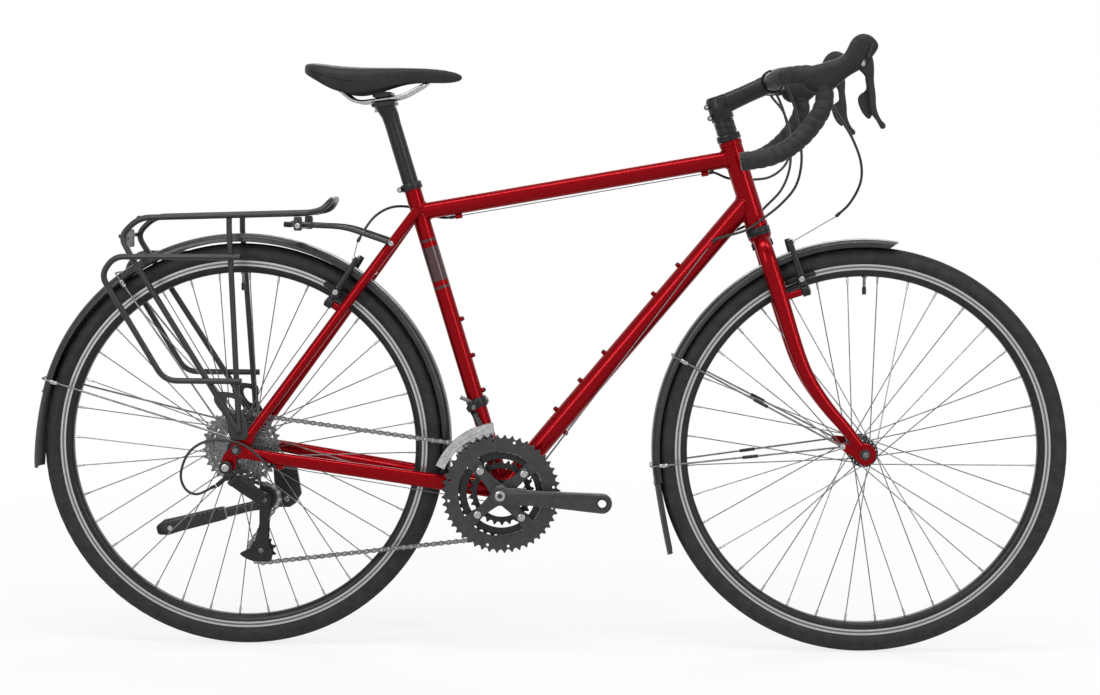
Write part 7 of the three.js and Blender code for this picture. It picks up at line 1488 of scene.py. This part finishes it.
def make_stand():
    pivot, unit, top = REAR + vec(62, 66, -103), 15, chainstay_at(1, 77).z - 10 - 1.2
    outline = [(pivot.x + x * unit, pivot.z + z * unit) for x, z in STAND_EDGE]
    outline += [(pivot.x + 0.9 * unit, top), (pivot.x - 1.7 * unit, top)]
    outline += [(pivot.x - 1.5 * unit, pivot.z + 28)]
    form = slab(Form(), outline, 60, 72, [circle(pivot, 4.3)], 1.6)
    for x, z in ((-16, 47), (6, 46)):
        bolt(form, vec(pivot.x + x, 71.6, pivot.z + z), ACROSS, 4.6, 2.2, 1)
    bolt(form, vec(pivot.x, 60.4, pivot.z), -ACROSS, 4.9, 2.4, 1)
    piece("stand_bracket_plate", form, [POWDER, STEEL], "kickstand_bracket")
    leg, length, half_high, half_thick = Form(), 240, 7.5, 7
    hinge, turn = pivot + ACROSS * (6 + GAP + half_thick), radians(194.2)
    along, across = heading(turn), heading(turn + pi / 2)
    for stations, power in ((LEG_UPPER, 0.55), (LEG_LOWER, 0.5)):
        rows = []
        for share, high, low, thick in stations:
            centre = hinge + along * share * length + across * (high - low) * half_high
            half, thickness = across * (high + low) * half_high, ACROSS * thick * half_thick
            rows.append(ring_of(centre, half, thickness, 28, power))
        leg.rings(rows)
    # Painted shade: black rubber dots on both faces of the leg stand in for its holes, which are not cut
    for k in range(8):
        place = hinge + along * (0.53 + 0.037 * k) * length - across * half_high
        for side in BOTH:
            turned(leg, HOLE_SHADE_DOT, place + ACROSS * side * 7.1, ACROSS * side, 16, 2)
    bolt(leg, hinge - ACROSS * 6.9 + along * 0.9 * length + across * 3, -ACROSS, 4.4, 1.6, 1)
    cross_bar(leg, pivot, 60, hinge.y, 3.9, 1, 20)
    piece("stand_leg_and_foot", leg, [POWDER, STEEL, RUBBER], "kickstand_leg")


# Studio: a pale floor that fades to white, and soft light from above and both sides

def seen_rays(tree):
    """One where a ray comes from the camera, a reflection or a refraction."""
    rays = tree.nodes.new("ShaderNodeLightPath")
    total = rays.outputs["Is Camera Ray"]
    for name in ("Is Glossy Ray", "Is Transmission Ray"):
        larger = tree.nodes.new("ShaderNodeMath")
        larger.operation = "MAXIMUM"
        tree.links.new(total, larger.inputs[0])
        tree.links.new(rays.outputs[name], larger.inputs[1])
        total = larger.outputs[0]
    return total


def make_world():
    world = bpy.data.worlds.new("studio")
    bpy.context.scene.world = world
    world.use_nodes = True
    tree = world.node_tree
    tree.nodes.clear()
    output, mix = tree.nodes.new("ShaderNodeOutputWorld"), tree.nodes.new("ShaderNodeMixShader")
    light, white = tree.nodes.new("ShaderNodeBackground"), tree.nodes.new("ShaderNodeBackground")
    light.inputs["Color"].default_value = (0.95, 0.97, 1, 1)
    light.inputs["Strength"].default_value = 0.42
    white.inputs["Color"].default_value = (1, 1, 1, 1)
    tree.links.new(seen_rays(tree), mix.inputs["Fac"])
    tree.links.new(light.outputs[0], mix.inputs[1])
    tree.links.new(white.outputs[0], mix.inputs[2])
    tree.links.new(mix.outputs[0], output.inputs["Surface"])


def make_floor():
    mesh, reach = bpy.data.meshes.new("floor"), 30
    corners = [(-reach, -reach, 0), (reach, -reach, 0), (reach, reach, 0), (-reach, reach, 0)]
    mesh.from_pydata(corners, [], [(0, 1, 2, 3)])
    floor = bpy.data.objects.new("floor", mesh)
    bpy.context.scene.collection.objects.link(floor)
    pale = bpy.data.materials.new("pale_floor")
    pale.use_nodes = True
    tree = pale.node_tree
    shader = tree.nodes["Principled BSDF"]
    shader.inputs["Base Color"].default_value = (0.9, 0.9, 0.9, 1)
    shader.inputs["Roughness"].default_value = 0.9
    shader.inputs["Specular IOR Level"].default_value = 0.1
    glow, blend = tree.nodes.new("ShaderNodeEmission"), tree.nodes.new("ShaderNodeMixShader")
    places, distance = tree.nodes.new("ShaderNodeTexCoord"), tree.nodes.new("ShaderNodeVectorMath")
    fade, share = tree.nodes.new("ShaderNodeMapRange"), tree.nodes.new("ShaderNodeMath")
    distance.operation, share.operation = "LENGTH", "MULTIPLY"
    fade.inputs["From Min"].default_value, fade.inputs["From Max"].default_value = 0.5, 2.2
    fade.inputs["To Min"].default_value = 0.78
    tree.links.new(places.outputs["Object"], distance.inputs[0])
    tree.links.new(distance.outputs["Value"], fade.inputs["Value"])
    tree.links.new(fade.outputs["Result"], share.inputs[0])
    tree.links.new(seen_rays(tree), share.inputs[1])
    tree.links.new(share.outputs[0], blend.inputs["Fac"])
    tree.links.new(shader.outputs[0], blend.inputs[1])
    tree.links.new(glow.outputs[0], blend.inputs[2])
    tree.links.new(blend.outputs[0], tree.nodes["Material Output"].inputs["Surface"])
    mesh.materials.append(pale)


# Place, aim, size and power of each light
LIGHTS = {
    "top_light": ((0.1, -0.7, 3.0), (0, 0, 0.5), (3.2, 0.5), 44),
    "front_light": ((-1.7, -3.3, 1.9), (0, 0, 0.5), (0.9, 1.7), 34),
    "side_light": ((2.6, -2.6, 1.7), (0.2, 0, 0.5), (0.8, 1.7), 26),
    "back_light": ((0.4, 3.0, 2.4), (0, 0, 0.6), (2.6, 0.8), 34),
}


def make_studio():
    bpy.context.scene.view_settings.view_transform = "Standard"
    make_world()
    make_floor()
    for name, (place, aim, size, power) in LIGHTS.items():
        data = bpy.data.lights.new(name, "AREA")
        data.shape, data.size, data.size_y, data.energy = "RECTANGLE", size[0], size[1], power
        lamp = bpy.data.objects.new(name, data)
        lamp.location = place
        lamp.rotation_euler = (Vector(aim) - Vector(place)).to_track_quat("-Z", "Y").to_euler()
        bpy.context.scene.collection.objects.link(lamp)


make_frame()
make_small_frame_parts()
make_fork()
make_axle("front_axle_nuts", "front_axle", FRONT, 100, 7)
make_axle("rear_axle_nuts", "rear_axle", REAR, 135, 7)
make_hub("front_hub_and_spokes", "front_hub", FRONT, 34, 34, 47, 47, FIRST_EYELET["front_rim"])
make_hub("rear_hub_and_spokes", "rear_hub", REAR, 33, 19, 64.5, 25, FIRST_EYELET["rear_rim"])
for wheel in ("front", "rear"):
    make_rim(wheel + "_rim_hoop", wheel + "_rim", AXLES[wheel])
    make_tyre(wheel + "_tyre_tread", wheel + "_tyre", AXLES[wheel])
make_cassette()
make_chainrings()
make_cranks()
make_chain()
make_front_derailleur()
make_rear_derailleur()
for word, side in SIDES.items():
    for wheel in ("front", "rear"):
        make_brake_arm(wheel, side, word)
make_guard("rear", -8.5, 166, 165, 187.5, 10)
make_guard("front", 81.5, 190, 189, 209.5, 20, 2.6)
make_stays("rear", rear_eyelet, (126.5, 162.5))
make_stays("front", front_eyelet, (154, 185), (0.46, 26))
make_rack()
make_stem()
make_handlebar()
make_controls()
make_saddle()
make_stand()
make_studio()
